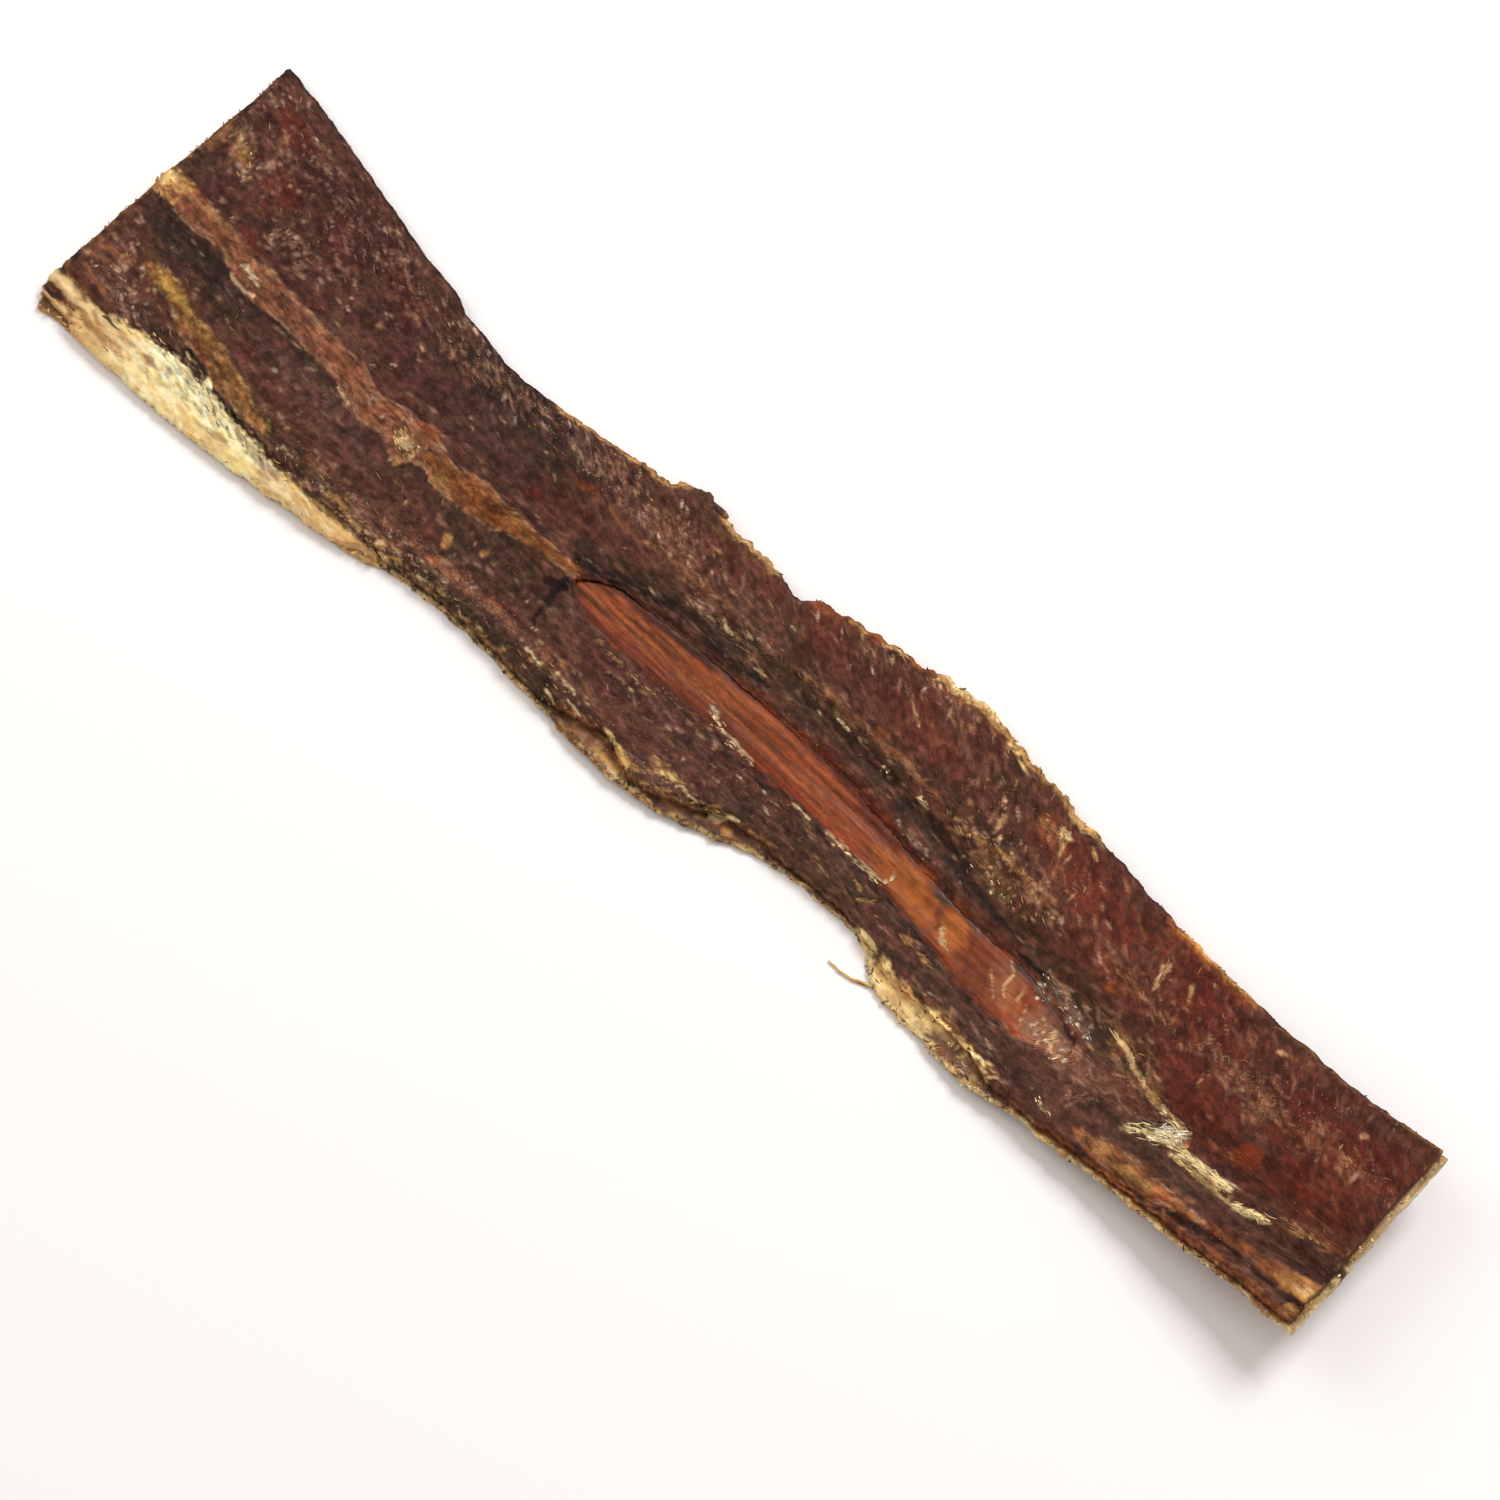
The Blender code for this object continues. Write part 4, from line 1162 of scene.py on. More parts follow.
MEAT_COATS = (
    Coat(Tone.BROWN, ((0.5, -100, 22, 50, 7, -15), (0.5, -30, 16, 30, 5, 0), (0.4, 20, 22, 40, 4, 5),
        (0.5, 125, 13, 30, 4, 0), (0.6, -80, -22, 26, 5, -3), (0.5, -148, -6, 8, 5, -3))),
    Coat(Tone.RED, ((0.6, -142, 26, 7, 3, -20), (0.6, -134, 14, 6, 5, -30), (0.35, -118, 15, 8, 4, -25),
        (0.3, -100, 14, 8, 4, -25), (0.95, -52.6, 1, 2.9, 1.2, 12), (0.8, -129.6, 2.6, 4, 1.6, -22),
        (0.3, -46, 3, 7, 4, -5), (0.4, -12, 17, 10, 3, 0), (0.45, 6, 18, 9, 4, -20),
        (0.35, 35, 14, 14, 6, -30), (0.7, 75, 13, 16, 5, -15), (0.65, 104, 11, 12, 6, -20),
        (0.6, 112, -2, 12, 6, -10), (0.65, 138, 3, 14, 8, -10), (0.5, 146, 10, 8, 4, 0),
        (0.45, 88, 4, 10, 4, -10), (0.4, -102, -13, 9, 4, -12))),
    Coat(Tone.PURPLE, ((0.8, -92, -13, 26, 5, -6), (0.7, -136, -22.5, 8, 3, 0), (0.6, -12, -15, 20, 4.5, 0),
        (0.5, 14, -16, 18, 4, 0), (0.4, -30, -13, 8, 3, 0), (0.5, -75, 5, 20, 5, -4))),
    Coat(Tone.MOSS, ((0.85, -137, -6, 15, 3.4, -5), (0.8, -123, -9, 6, 5, 0), (0.9, -105, -7.6, 14, 1.4, -10),
        (0.7, -50, -13, 18, 6, -4), (0.5, -70, -12, 10, 2, 0), (0.7, -66, 14, 20, 5, -8),
        (0.75, -100, -24, 32, 2.6, -3), (0.75, -35, -24, 28, 2.4, 0), (0.6, 35, -16, 22, 4, 2),
        (0.8, 62, 3, 16, 5, -12), (0.85, 96, -5, 16, 4.4, -14), (0.6, 52, 18, 6, 4, -50),
        (0.6, 40, 9, 20, 2.4, 0), (0.7, 75, -21, 20, 2.2, -2), (0.6, 110, -17, 14, 2, 0),
        (0.6, -150, 8, 5, 4, 0), (0.5, -70, 9, 24, 3, -5), (0.4, 150, -6, 4, 10, 0),
        (0.6, -73, -7.4, 2, 1.6, -20)), ((0.8, 3.2, ((-38, 0), (-20, 4), (0, 5), (30, 5.4), (46, 2.6),
        (70, -1.5), (92, -5), (112, -10))),)),
    # Near-black coat. Painted shadow: under the overhanging meat above the left part of the opening, and in
    # the pit and crack left of its tip. The other patches and lines are dark marks along the edges of the
    # bands, the furrow and the borders of the opening.
    Coat(Tone.DARK_MARK_AND_SHADOW, ((0.7, -132, -17.6, 5, 0.8, -14), (0.8, -122, -22, 5, 1, -14),
        (0.7, -108, -25.2, 8, 0.7, 0), (0.6, -140, -4, 7, 0.9, 0)), ((0.9, 1.5, ((-39, -3), (-33, -2),
        (-26, 0.4), (-20, 1.6), (-10, 2.6), (-2, 1.2), (6, 2.4))), (0.8, 1.6, ((12, 5.6), (24, 5.2),
        (40, 4.2), (48, 3.0), (60, -1.4), (72, -2.4))), (0.95, 1.1, ((-34.6, -4.5), (-35.6, -9), (-35, -13),
        (-33.8, -18))), (0.95, 0.9, ((-38, -10), (-34.5, -8.6))), (0.95, 0.7, ((73.5, -4.9), (77, -5.1),
        (80.5, -4.9))), (0.8, 0.8, ((56, -4.4), (57.5, -6.4))), (0.7, 0.7, ((-8, -11.6), (6, -11.8),
        (20, -12.4), (44, -13), (58, -15.2), (70, -17.8), (84, -18.2))), (0.6, 0.9, ((-130, -18.9),
        (-118, -22.6), (-104, -25.6), (-92, -26.6))), (0.8, 0.6, ((-138.6, -27.2), (-134.8, -27.2))), (0.6,
        0.8, ((10, -22.6), (17, -20.6), (22, -20))), (0.5, 1.0, ((-60, -24.4), (-30, -24.8), (-8, -24))),
        (0.5, 0.8, ((99, -12), (108, -9.4), (116, -9.8))), (0.6, 0.5, ((-98, -7.4), (-94.6, -8.6),
        (-92, -10))), (0.5, 0.5, ((-62, -1.8), (-52, -2.6), (-44, -2))))),
    Coat(Tone.DARK_RED_AND_SHADE, ((0.5, -117, -3.4, 3, 1, 0), (0.4, -144, -0.4, 4, 1, 0), (0.4, -66, -7.6, 2, 1, 0),
        (0.35, -57, -7, 2, 0.7, 0), (0.4, -103, -6, 3, 0.5, 0)), ((0.6, 0.5, ((-88, -9), (-83, -8.8),
        (-81, -8.6))),)),
    Coat(Tone.AMBER, ((0.9, -76.8, -2.8, 3.4, 1.5, 8), (0.6, -46, 9, 3, 1.2, 0), (0.7, 27, 9, 1.6, 1.6, 0),
        (0.6, 127.5, -5.4, 2.6, 2.6, 50), (0.6, 90.3, 1, 1.2, 1.4, 0), (0.6, 35, 25.6, 6, 1.2, 0),
        (0.6, 101, 16.6, 9, 1.1, -6), (0.5, 58, 23, 10, 0.9, -12), (0.5, 8, 21.6, 8, 1.2, 10),
        (0.4, -104.5, -22.6, 3.6, 1.6, -18), (0.6, -87.6, -8.2, 2.4, 1.3, -20), (0.5, -57, -6.2, 6, 1.6, 0),
        (0.5, -64, -6.4, 4, 1.2, 0), (0.4, -151, -0.4, 2, 0.8, 0)), ((0.4, 1.0, ((-120, -2), (-110, -3.4),
        (-100, -4), (-90, -6))),)),
    Coat(Tone.TAN, ((0.6, -145, 15, 3.6, 2.4, -25), (0.6, -151.5, 15, 1.6, 3, 0), (0.5, -133, 8.2, 1.4, 1, 0),
        (0.5, 63, 16, 3.2, 1.4, -20), (0.5, -141, 22, 1.6, 0.9, -30), (0.5, 2, -26, 10, 1.4, 3),
        (0.4, -72, -21.8, 4, 0.8, 0), (0.4, -27, 13, 7, 3, -20), (0.45, 74, -24, 10, 1.5, -10),
        (0.3, 10, -23, 9, 1.2, 0), (0.5, -86, -22.6, 3, 0.8, -10)), ((0.45, 0.8, ((-46, 9), (-36, 8.2),
        (-24, 8.6), (-10, 9.4))), (0.5, 0.9, ((-153.6, -17.8), (-148, -16.8), (-141, -15.6))), (0.5, 0.7,
        ((10, 8.8), (22, 8.6), (32, 8.4), (44, 7.4))), (0.5, 0.7, ((50, 6), (58, 7), (66, 6.6), (72, 6.2))),
        (0.6, 0.5, ((104, -26.6), (116, -25.8), (130, -24.6), (148, -23.2))), (0.5, 0.8, ((-153.6, -24),
        (-151.6, -26), (-145, -27), (-138, -26.6))), (0.5, 0.7, ((-152, -20), (-146, -19), (-142, -20.6))),
        (0.4, 0.8, ((-150, -22.6), (-144, -23.4), (-139, -25.4))), (0.4, 0.5, ((110, 3), (120, 4.6),
        (130, 3.8), (138, 5), (150, 6.6))), (0.35, 0.5, ((84, 4.6), (92, 4.4), (100, 3.2))), (0.5, 0.5,
        ((-153.6, 20), (-153.2, 10), (-153, 4))), (0.5, 0.4, ((-153.4, -4), (-153, -12), (-153.4, -22))))),
    Coat(Tone.PINK, ((0.5, 92, -13.5, 7, 3.0, -8), (0.35, 78, -10, 9, 4, -15), (0.3, 103, -12.5, 5, 3, 0),
        (0.25, -92, -5.4, 4, 1.8, -20), (0.3, -116, -1.2, 4, 0.8, 0), (0.3, -80, -9, 2.4, 1.6, 0)), ((0.8,
        0.55, ((-127.6, -1.4), (-125.4, -1.8), (-123, -2.3))), (0.6, 0.5, ((-127, -4.6), (-125, -5.4),
        (-121, -5.4))), (0.5, 0.4, ((-112, -4.6), (-107.6, -5.2))), (0.5, 0.4, ((-88, -9.6),
        (-86.4, -10.3))))),
    Coat(Tone.OLIVE, ((0.4, 62, 3, 6, 2.6, -15), (0.35, 100, -6.5, 7, 2.4, -20), (0.5, -78, -5.2, 3, 0.8, 0),
        (0.4, -44, -5.6, 7, 1.2, 3), (0.3, -20, 19.6, 8, 1, 0), (0.35, -35, 19.8, 3, 1, 0),
        (0.3, -151, -12, 3, 1.4, 0), (0.3, -104, 2, 6, 1, 0))),
    Coat(Tone.GOLD, ((0.95, -98.6, 6.4, 0.85, 1.0, 30), (0.9, -77.4, -7.6, 1.5, 1.0, -10),
        (0.8, -75, -9, 1.0, 0.8, 0), (0.8, -75.9, -11.6, 0.7, 0.9, 0), (0.8, -49.8, -14, 0.8, 0.8, 0),
        (0.85, -57.4, -16.9, 2.2, 0.8, -32), (0.5, -66.4, -8.8, 3, 1, -5), (0.4, -135, 1.6, 12, 0.6, -2),
        (0.6, -133, -15, 6.5, 1.0, -12), (0.25, -146, 15.4, 3, 1.2, -30), (0.7, -65.6, -25.6, 1.4, 1, -30),
        (0.5, -122.4, 0.6, 1.6, 0.6, 0), (0.4, -105, -23, 2.6, 0.8, -15), (0.7, 115, -22.2, 5.6, 1.0, 6),
        (0.5, 108, -21.8, 2.6, 1.2, 30)), ((0.6, 0.35, ((-63, -3.8), (-60, -3.3), (-55.6, -4))), (0.6, 0.4,
        ((-70, -9.2), (-67, -10.2), (-64.6, -10.3))), (0.6, 0.35, ((-132, -2.4), (-129, -4))), (0.5, 0.5,
        ((-82, -24.6), (-74, -25.2))), (0.6, 0.5, ((-74.6, -26.4), (-72, -25.9), (-70.6, -26.8))), (0.6, 0.4,
        ((-100.6, -22.8), (-98, -23))), (0.6, 0.4, ((0, -22.4), (12, -22.2))), (0.5, 0.6, ((60, -23.6),
        (76, -24.6), (84, -26))), (0.45, 0.4, ((-84, -4), (-80.6, -3.7))))),
    Coat(Tone.HONEY, ((0.95, -151.8, 2.0, 2.2, 1.6, -10), (0.7, -153, 0, 1.2, 2.4, 0),
        (0.5, -133.4, -15.6, 2.6, 0.5, -14), (0.75, 149.6, -17, 6, 1.6, 12),
        (0.7, 150.4, -22, 1.6, 1.2, 35))),
    Coat(Tone.CREAM, ((0.75, -77.6, -7.7, 0.9, 0.5, 0), (0.5, -75, -8.8, 0.6, 0.5, 0),
        (0.8, 57, 9.3, 0.55, 0.45, 0), (0.45, 120.2, 12.6, 0.6, 0.6, 0), (0.6, 65, 18, 1.4, 0.6, -20),
        (0.7, -136.2, 3.7, 0.5, 0.35, -40), (0.3, 140.5, 11, 0.7, 0.5, 60), (0.6, -85, -6.9, 0.9, 0.35, 0),
        (0.6, -52.8, -13.8, 0.4, 0.35, 0), (0.35, 150.4, -17.2, 3, 0.7, 12)), ((0.75, 0.4, ((-127.6, -1.5),
        (-125.4, -1.9), (-122.8, -2.4))), (0.6, 0.35, ((-127.4, -4.7), (-125, -5.4), (-121, -5.4))), (0.5,
        0.28, ((26.6, 19), (29, 17), (31.6, 15.4))), (0.6, 0.32, ((94.4, 12), (95.4, 9), (96.6, 6))), (0.4,
        0.28, ((100.2, 11.4), (101.6, 8.6))), (0.5, 0.3, ((65, 17), (66.4, 15), (67.4, 13.4))), (0.45, 0.3,
        ((11.4, 22.6), (13.2, 20.8))), (0.6, 0.35, ((96, -4.4), (101, -6.2), (106.4, -8.4))), (0.45, 0.3,
        ((54.6, 13), (55.4, 9.6))), (0.5, 0.3, ((-9, 6), (-5.6, 5.6))), (0.5, 0.3, ((2, 3.4), (5, 3.2))),
        (0.5, 0.3, ((20, 6.4), (24, 6.2))), (0.4, 0.25, ((71, 19), (72.4, 17.4))), (0.7, 0.3, ((-94.6, -8),
        (-92.4, -8.8), (-90, -9.3))), (0.45, 0.3, ((40, 5.2), (44, 4.4))), (0.6, 0.3, ((-138.4, -26.6),
        (-135, -26.5))), (0.4, 0.22, ((-94, -23.9), (-89, -24))), (0.5, 0.25, ((-77, -26.8), (-75.4, -26.6))),
        (0.5, 0.25, ((-70, -25.6), (-68, -25.5))), (0.35, 0.2, ((-57, -12.6), (-54.6, -12.2))))),
    Coat(Tone.SILVER, ((0.12, 88, -6.8, 5.6, 1.4, -12), (0.15, 46, -1.8, 4, 0.6, -8),
        (0.35, -112, -7, 1.4, 0.4, 0))),
    Coat(Tone.RED, ((0.5, -52.6, 1, 2.6, 1, 12), (0.35, -142, 26.4, 6, 2.2, -20),
        (0.4, -129.6, 2.4, 4, 1.2, -22), (0.3, -134, 14, 5, 3, -30))),
    Coat(Tone.AMBER, ((0.5, -76.8, -2.8, 3, 1.1, 8), (0.45, 127.5, -5.4, 2.6, 2, 50),
        (0.4, -46, 9, 3, 0.9, 0), (0.3, 90.3, 1, 1.4, 1, 0))),
    # Near-black coat laid over the strokes: painted shadow under the overhang above the left part of the
    # opening and in the pit and crack left of its tip, with dark lines along the furrow and at the upper
    # border near x 75.
    Coat(Tone.DARK_MARK_AND_SHADOW, (), ((0.6, 0.9, ((-37, -3.4), (-31, -1.6), (-25, 0.5))), (0.4, 0.7, ((-25, 0.6), (-14, 3),
        (-4, 4.4))), (0.75, 0.7, ((-35, -7), (-35.6, -12), (-34, -17))), (0.6, 0.5, ((-39, -9.8),
        (-36, -8.6))), (0.45, 0.6, ((40, 3.6), (50, 2), (62, -1.4), (72, -2.8))), (0.7, 0.5, ((73.5, -4.9),
        (77, -5.1), (80.5, -4.9))))),
)

EDGE_TINTS: tuple[tuple[float, float, float, float, Tone], ...] = (
    (-152, -92, 0.7, 0.4, Tone.DARK_MARK_AND_SHADOW), (-90, -62, 0.7, 0.4, Tone.DARK_MARK_AND_SHADOW), (-62, -38, 0.9, 0.85, Tone.TAN),
    (-39, -33, 1.8, 0.8, Tone.TAN), (-23, -8, 1.3, 0.8, Tone.GOLD), (-8, 2, 0.7, 0.5, Tone.DARK_MARK_AND_SHADOW),
    (1, 26, 1.1, 0.7, Tone.AMBER), (10, 13, 1.6, 0.5, Tone.GOLD), (27, 44, 2.4, 0.7, Tone.AMBER),
    (29, 42, 1.2, 0.9, Tone.BUTTER), (44, 72, 1.6, 0.7, Tone.TAN), (47, 51, 1.8, 0.8, Tone.HONEY),
    (64, 69, 1.4, 0.8, Tone.HONEY), (52, 62, 0.8, 0.7, Tone.GOLD), (70, 92, 0.8, 0.5, Tone.DARK_MARK_AND_SHADOW),
    (90, 112, 1.9, 0.85, Tone.AMBER), (92, 110, 0.9, 0.8, Tone.HONEY), (112, 150, 0.8, 0.5, Tone.DARK_MARK_AND_SHADOW),
)

FLECK_PATCHES = Coat(Tone.CREAM, (
    (0.8, -139, -22, 10, 3, -14), (0.5, -148, -13, 6, 5, 0), (0.55, -140, 24, 16, 8, -14),
    (0.55, -128, 12, 24, 8, -14), (0.5, -100, 14, 16, 6, -16), (0.1, -140, -9, 16, 6, 0),
    (0.6, -134, -21, 12, 4, -10), (0.5, 66, 12, 16, 7, -20), (0.5, 96, 3, 14, 4, -10),
    (0.7, 86, -14, 14, 4, -6), (0.8, -60, -23, 40, 3, 0), (0.35, 120, 8, 30, 8, 0), (0.7, -75, 15, 24, 5, -6),
    (0.7, -48, 15, 14, 5, 0), (0.8, -27, 13, 11, 5, 0), (0.9, -125, 8, 15, 5, -10), (1.0, -145, 15, 8, 5, 0),
    (0.5, -140, 25, 12, 6, -12), (0.6, -112, 19, 22, 6, -14), (0.8, 60, 13, 14, 8, -20),
    (1.0, 62, 4, 14, 4, -8), (1.0, 100, -6, 13, 4, -16), (1.0, 88, -7, 9, 3, -10), (0.7, 128, 5, 28, 4, 4),
    (0.8, 75, -23, 16, 3, 0), (0.9, -80, -24, 28, 4, -2), (1.0, 5, -25, 16, 3, 4), (0.6, -10, 7, 16, 3, 0),
    (0.7, 20, 8, 24, 2, 0), (0.6, -146, -18, 10, 5, 0), (0.7, -45, -20, 24, 2, 0), (0.6, -80, -7, 14, 4, 0),
    (0.7, 30, 22, 24, 3, 8), (0.6, 105, -12, 12, 4, 0), (0.15, -60, -12, 24, 6, 0), (0.4, 10, -15, 30, 4, 0),
))

LINING_COATS = (
    Coat(Tone.HONEY, ((0.6, -6, -26.6, 7, 2.4, 0), (0.5, 21, -22.6, 6, 2, 30), (0.4, 65, -25.5, 12, 2, -8),
        (0.4, 120, -26.4, 20, 1, 3))),
    Coat(Tone.CREAM, ((0.5, 38, 26.4, 6, 1.2, 0), (0.45, 58, -24.5, 8, 1.2, -10),
        (0.4, 80, -27.5, 8, 1, -3))),
    Coat(Tone.AMBER, ((0.35, 8, 21.6, 9, 1, 10), (0.4, 100, 17.2, 9, 1, -5), (0.5, -6, -27.5, 5, 1, 0),
        (0.4, 16, -25, 3, 1, 30))),
)

OPENING_COATS = (
    Coat(Tone.ORANGE, ((0.7, 56, -9.5, 15, 4.5, -10), (0.5, 5, -4.5, 22, 3.2, 0), (0.4, -28, -5.5, 7, 3.4, 0),
        (0.5, 30, -7, 16, 3, -4))),
    Coat(Tone.FLAME, ((0.7, 50, -8.6, 9, 3.2, -12), (0.65, 62.6, -10.2, 3.6, 3.4, -30),
        (0.35, 78, -12.4, 5, 2.4, -20)), ((0.26, 0.9, ((-31, -7), (-14, -6.2), (4, -6.4), (22, -7),
        (40, -8.4))), (0.2, 0.5, ((-28, -4.4), (-10, -3.6), (10, -2.2), (30, -3.2), (46, -6))))),
    Coat(Tone.AMBER, ((0.3, 46, -8.8, 8, 2.2, -8), (0.35, 15, -6.6, 18, 1.5, 0)), ((0.4, 0.7, ((-30, -7.6),
        (-12, -7.4), (4, -7))), (0.3, 0.5, ((-28, -3.6), (-10, -3), (8, -3.4), (28, -4.4))))),
    Coat(Tone.PINK, ((0.75, 88, -13.2, 6, 3.2, -10), (0.3, 76, -11, 5, 4, -20), (0.4, 95, -13.4, 4, 2, 0))),
    # Dark red coat: lengthwise dark red lines in the lining, a thin line along its lower border, and painted
    # shade along the upper border of the opening, under the overhanging meat.
    Coat(Tone.DARK_RED_AND_SHADE, ((0.6, 42, -5, 10, 1, -14), (0.4, 70, -13.6, 5, 2, -20)), ((0.75, 0.8, ((-34, -5),
        (-26, -2.6), (-12, -1.8), (-2, -1.6))), (0.5, 0.9, ((-2, -1), (14, -0.4), (30, -1.2), (44, -3.8))),
        (0.6, 0.5, ((57.4, -4.6), (58.4, -8), (60, -12))), (0.5, 0.5, ((66, -6), (67, -10), (70, -15))),
        (0.45, 0.35, ((-26, -5), (-12, -4.6), (4, -4.8), (18, -5.4))), (0.4, 0.3, ((-20, -6.2), (-6, -6),
        (8, -5.8), (22, -6.6), (36, -8))), (0.35, 0.3, ((0, -8.2), (14, -8), (28, -8.6), (40, -9.4))), (0.4,
        0.35, ((8, -3.4), (22, -3.8), (36, -5.6), (46, -7.4))), (0.35, 0.3, ((-30, -8.8), (-18, -8.8),
        (-6, -8.6))), (0.4, 0.4, ((66, -9), (72, -12), (75, -15.6))), (0.35, 0.4, ((78, -9.4), (80, -13))),
        (0.5, 0.3, ((-33, -9.6), (-14, -10.4), (6, -10.2), (24, -10.8), (44, -11.8), (60, -14),
        (74, -16.4))))),
    Coat(Tone.CREAM, ((0.6, 3, -8.2, 1.6, 0.5, -20), (0.5, 36, -11.2, 2.6, 0.4, 0),
        (0.55, 43, -11.6, 3.4, 0.5, -6), (0.5, 89, -13, 2.4, 0.5, -60)), ((0.6, 0.3, ((4.6, -9.6), (10, -9.8),
        (14.6, -10.2))), (0.6, 0.35, ((25, -11), (29, -11.4))), (0.65, 0.22, ((47.4, -8.6), (48, -10),
        (47.2, -11.6))), (0.5, 0.24, ((60.4, -10.4), (62.2, -12.4), (64.2, -13))), (0.55, 0.22, ((73.4, -6),
        (75.8, -9), (77.4, -13))), (0.45, 0.2, ((72.4, -10), (74.6, -12.2), (76.2, -14.6))), (0.5, 0.24,
        ((81, -10), (82, -12.6), (83.2, -15))), (0.4, 0.2, ((78.6, -8.6), (79.4, -11), (79.2, -13))), (0.3,
        0.2, ((22.8, -4.6), (23.4, -5.4))), (0.4, 0.24, ((86, -11), (87.4, -13.4), (88, -15.6))))),
)

UNDER_COATS = (
    Coat(Tone.DEEP_ORANGE, ((0.5, -90, 0, 40, 9, -8), (0.5, 20, -4, 36, 8, -4), (0.45, 110, -6, 30, 7, -4),
        (0.4, -130, 14, 18, 8, -20))),
    Coat(Tone.BUTTER, ((0.4, -110, -20, 40, 7, 0), (0.35, -40, 12, 30, 5, 0), (0.35, 70, 12, 40, 5, -8),
        (0.4, 40, -16, 30, 4, 0))),
)

FAT_COATS = (
    Coat(Tone.CREAM, ((0.7, -126, -26.6, 7, 1.6, 10), (0.7, -113, -26, 5, 1.8, -10),
        (0.6, -104, -28.4, 9, 1.4, -8), (0.5, -146, -27.6, 5, 1, 0), (0.5, -92, -29.4, 8, 1, 0),
        (0.4, -130, -32, 12, 1.2, 0))),
    Coat(Tone.HONEY, ((0.5, -125, -28.6, 3.4, 0.9, 0), (0.4, -84, -29.4, 8, 1, -4),
        (0.45, -72, -29, 6, 1, -6), (0.35, -110, -31.6, 9, 0.9, 0)), ((0.6, 0.7, ((-142, -30.4),
        (-138, -30.8), (-133.6, -31.2))), (0.35, 0.6, ((-128, -33.4), (-112, -33), (-98, -32))))),
    Coat(Tone.SMOKE, ((0.6, -112, -27, 2.2, 0.8, -10), (0.55, -97, -28.4, 4, 1, -10),
        (0.5, -134, -27.6, 2.4, 0.5, 0), (0.45, -104, -26.4, 3, 0.6, -20), (0.4, -90, -28.8, 3, 0.5, 0),
        (0.5, -119, -25.6, 2, 0.5, 30)), ((0.4, 0.25, ((-122, -25), (-112, -28.6), (-102, -30))), (0.4, 0.25,
        ((-108, -25.6), (-99, -28.6), (-92, -30))))),
)

FAT_MARKS = (
    Coat(Tone.TAN, ((0.7, -125, -28.5, 2.8, 0.8, 0), (0.65, -104.4, -30.6, 2.4, 0.7, 0),
        (0.5, -92, -30.4, 1.6, 0.5, 0)), ((0.55, 0.8, ((-144, -30), (-139, -30.8), (-134, -31.6))), (0.4, 0.5,
        ((-134, -28.6), (-129, -28.2), (-126, -28.4))))),
    Coat(Tone.SMOKE, ((0.6, -117.6, -25.2, 2.2, 0.5, -30), (0.55, -109.4, -27, 2.2, 0.6, -30),
        (0.5, -96, -28.2, 3, 0.6, -20), (0.45, -91, -28.8, 1.6, 0.5, 0)), ((0.5, 0.24, ((-122, -24.8),
        (-116, -27), (-112, -27.6))), (0.6, 0.24, ((-114, -25.2), (-108, -28), (-102, -29.4))), (0.5, 0.22,
        ((-107, -25.8), (-100, -28.6), (-95, -29.6))), (0.5, 0.22, ((-102, -27.2), (-96, -28.8),
        (-90, -30))))),
    Coat(Tone.WHITE, ((0.35, -128, -27, 3, 0.8, 10), (0.25, -113.4, -27.4, 2.4, 0.8, -20),
        (0.35, -118, -31, 5, 0.8, 0), (0.3, -104, -28.2, 3, 0.6, -15))),
    Coat(Tone.DARK_RED_AND_SHADE, (), ((0.95, 0.8, ((-154, -30.4), (-149, -30.6), (-144.4, -30.8))), (0.4, 0.25,
        ((-126.6, -28.6), (-123.6, -28.6))))),
    Coat(Tone.DARK_MARK_AND_SHADOW, (), ((0.85, 0.45, ((-152.6, -31.2), (-150.4, -31), (-147, -30.9))), (0.9, 0.45,
        ((-138.6, -27.7), (-134.8, -27.7))))),
)


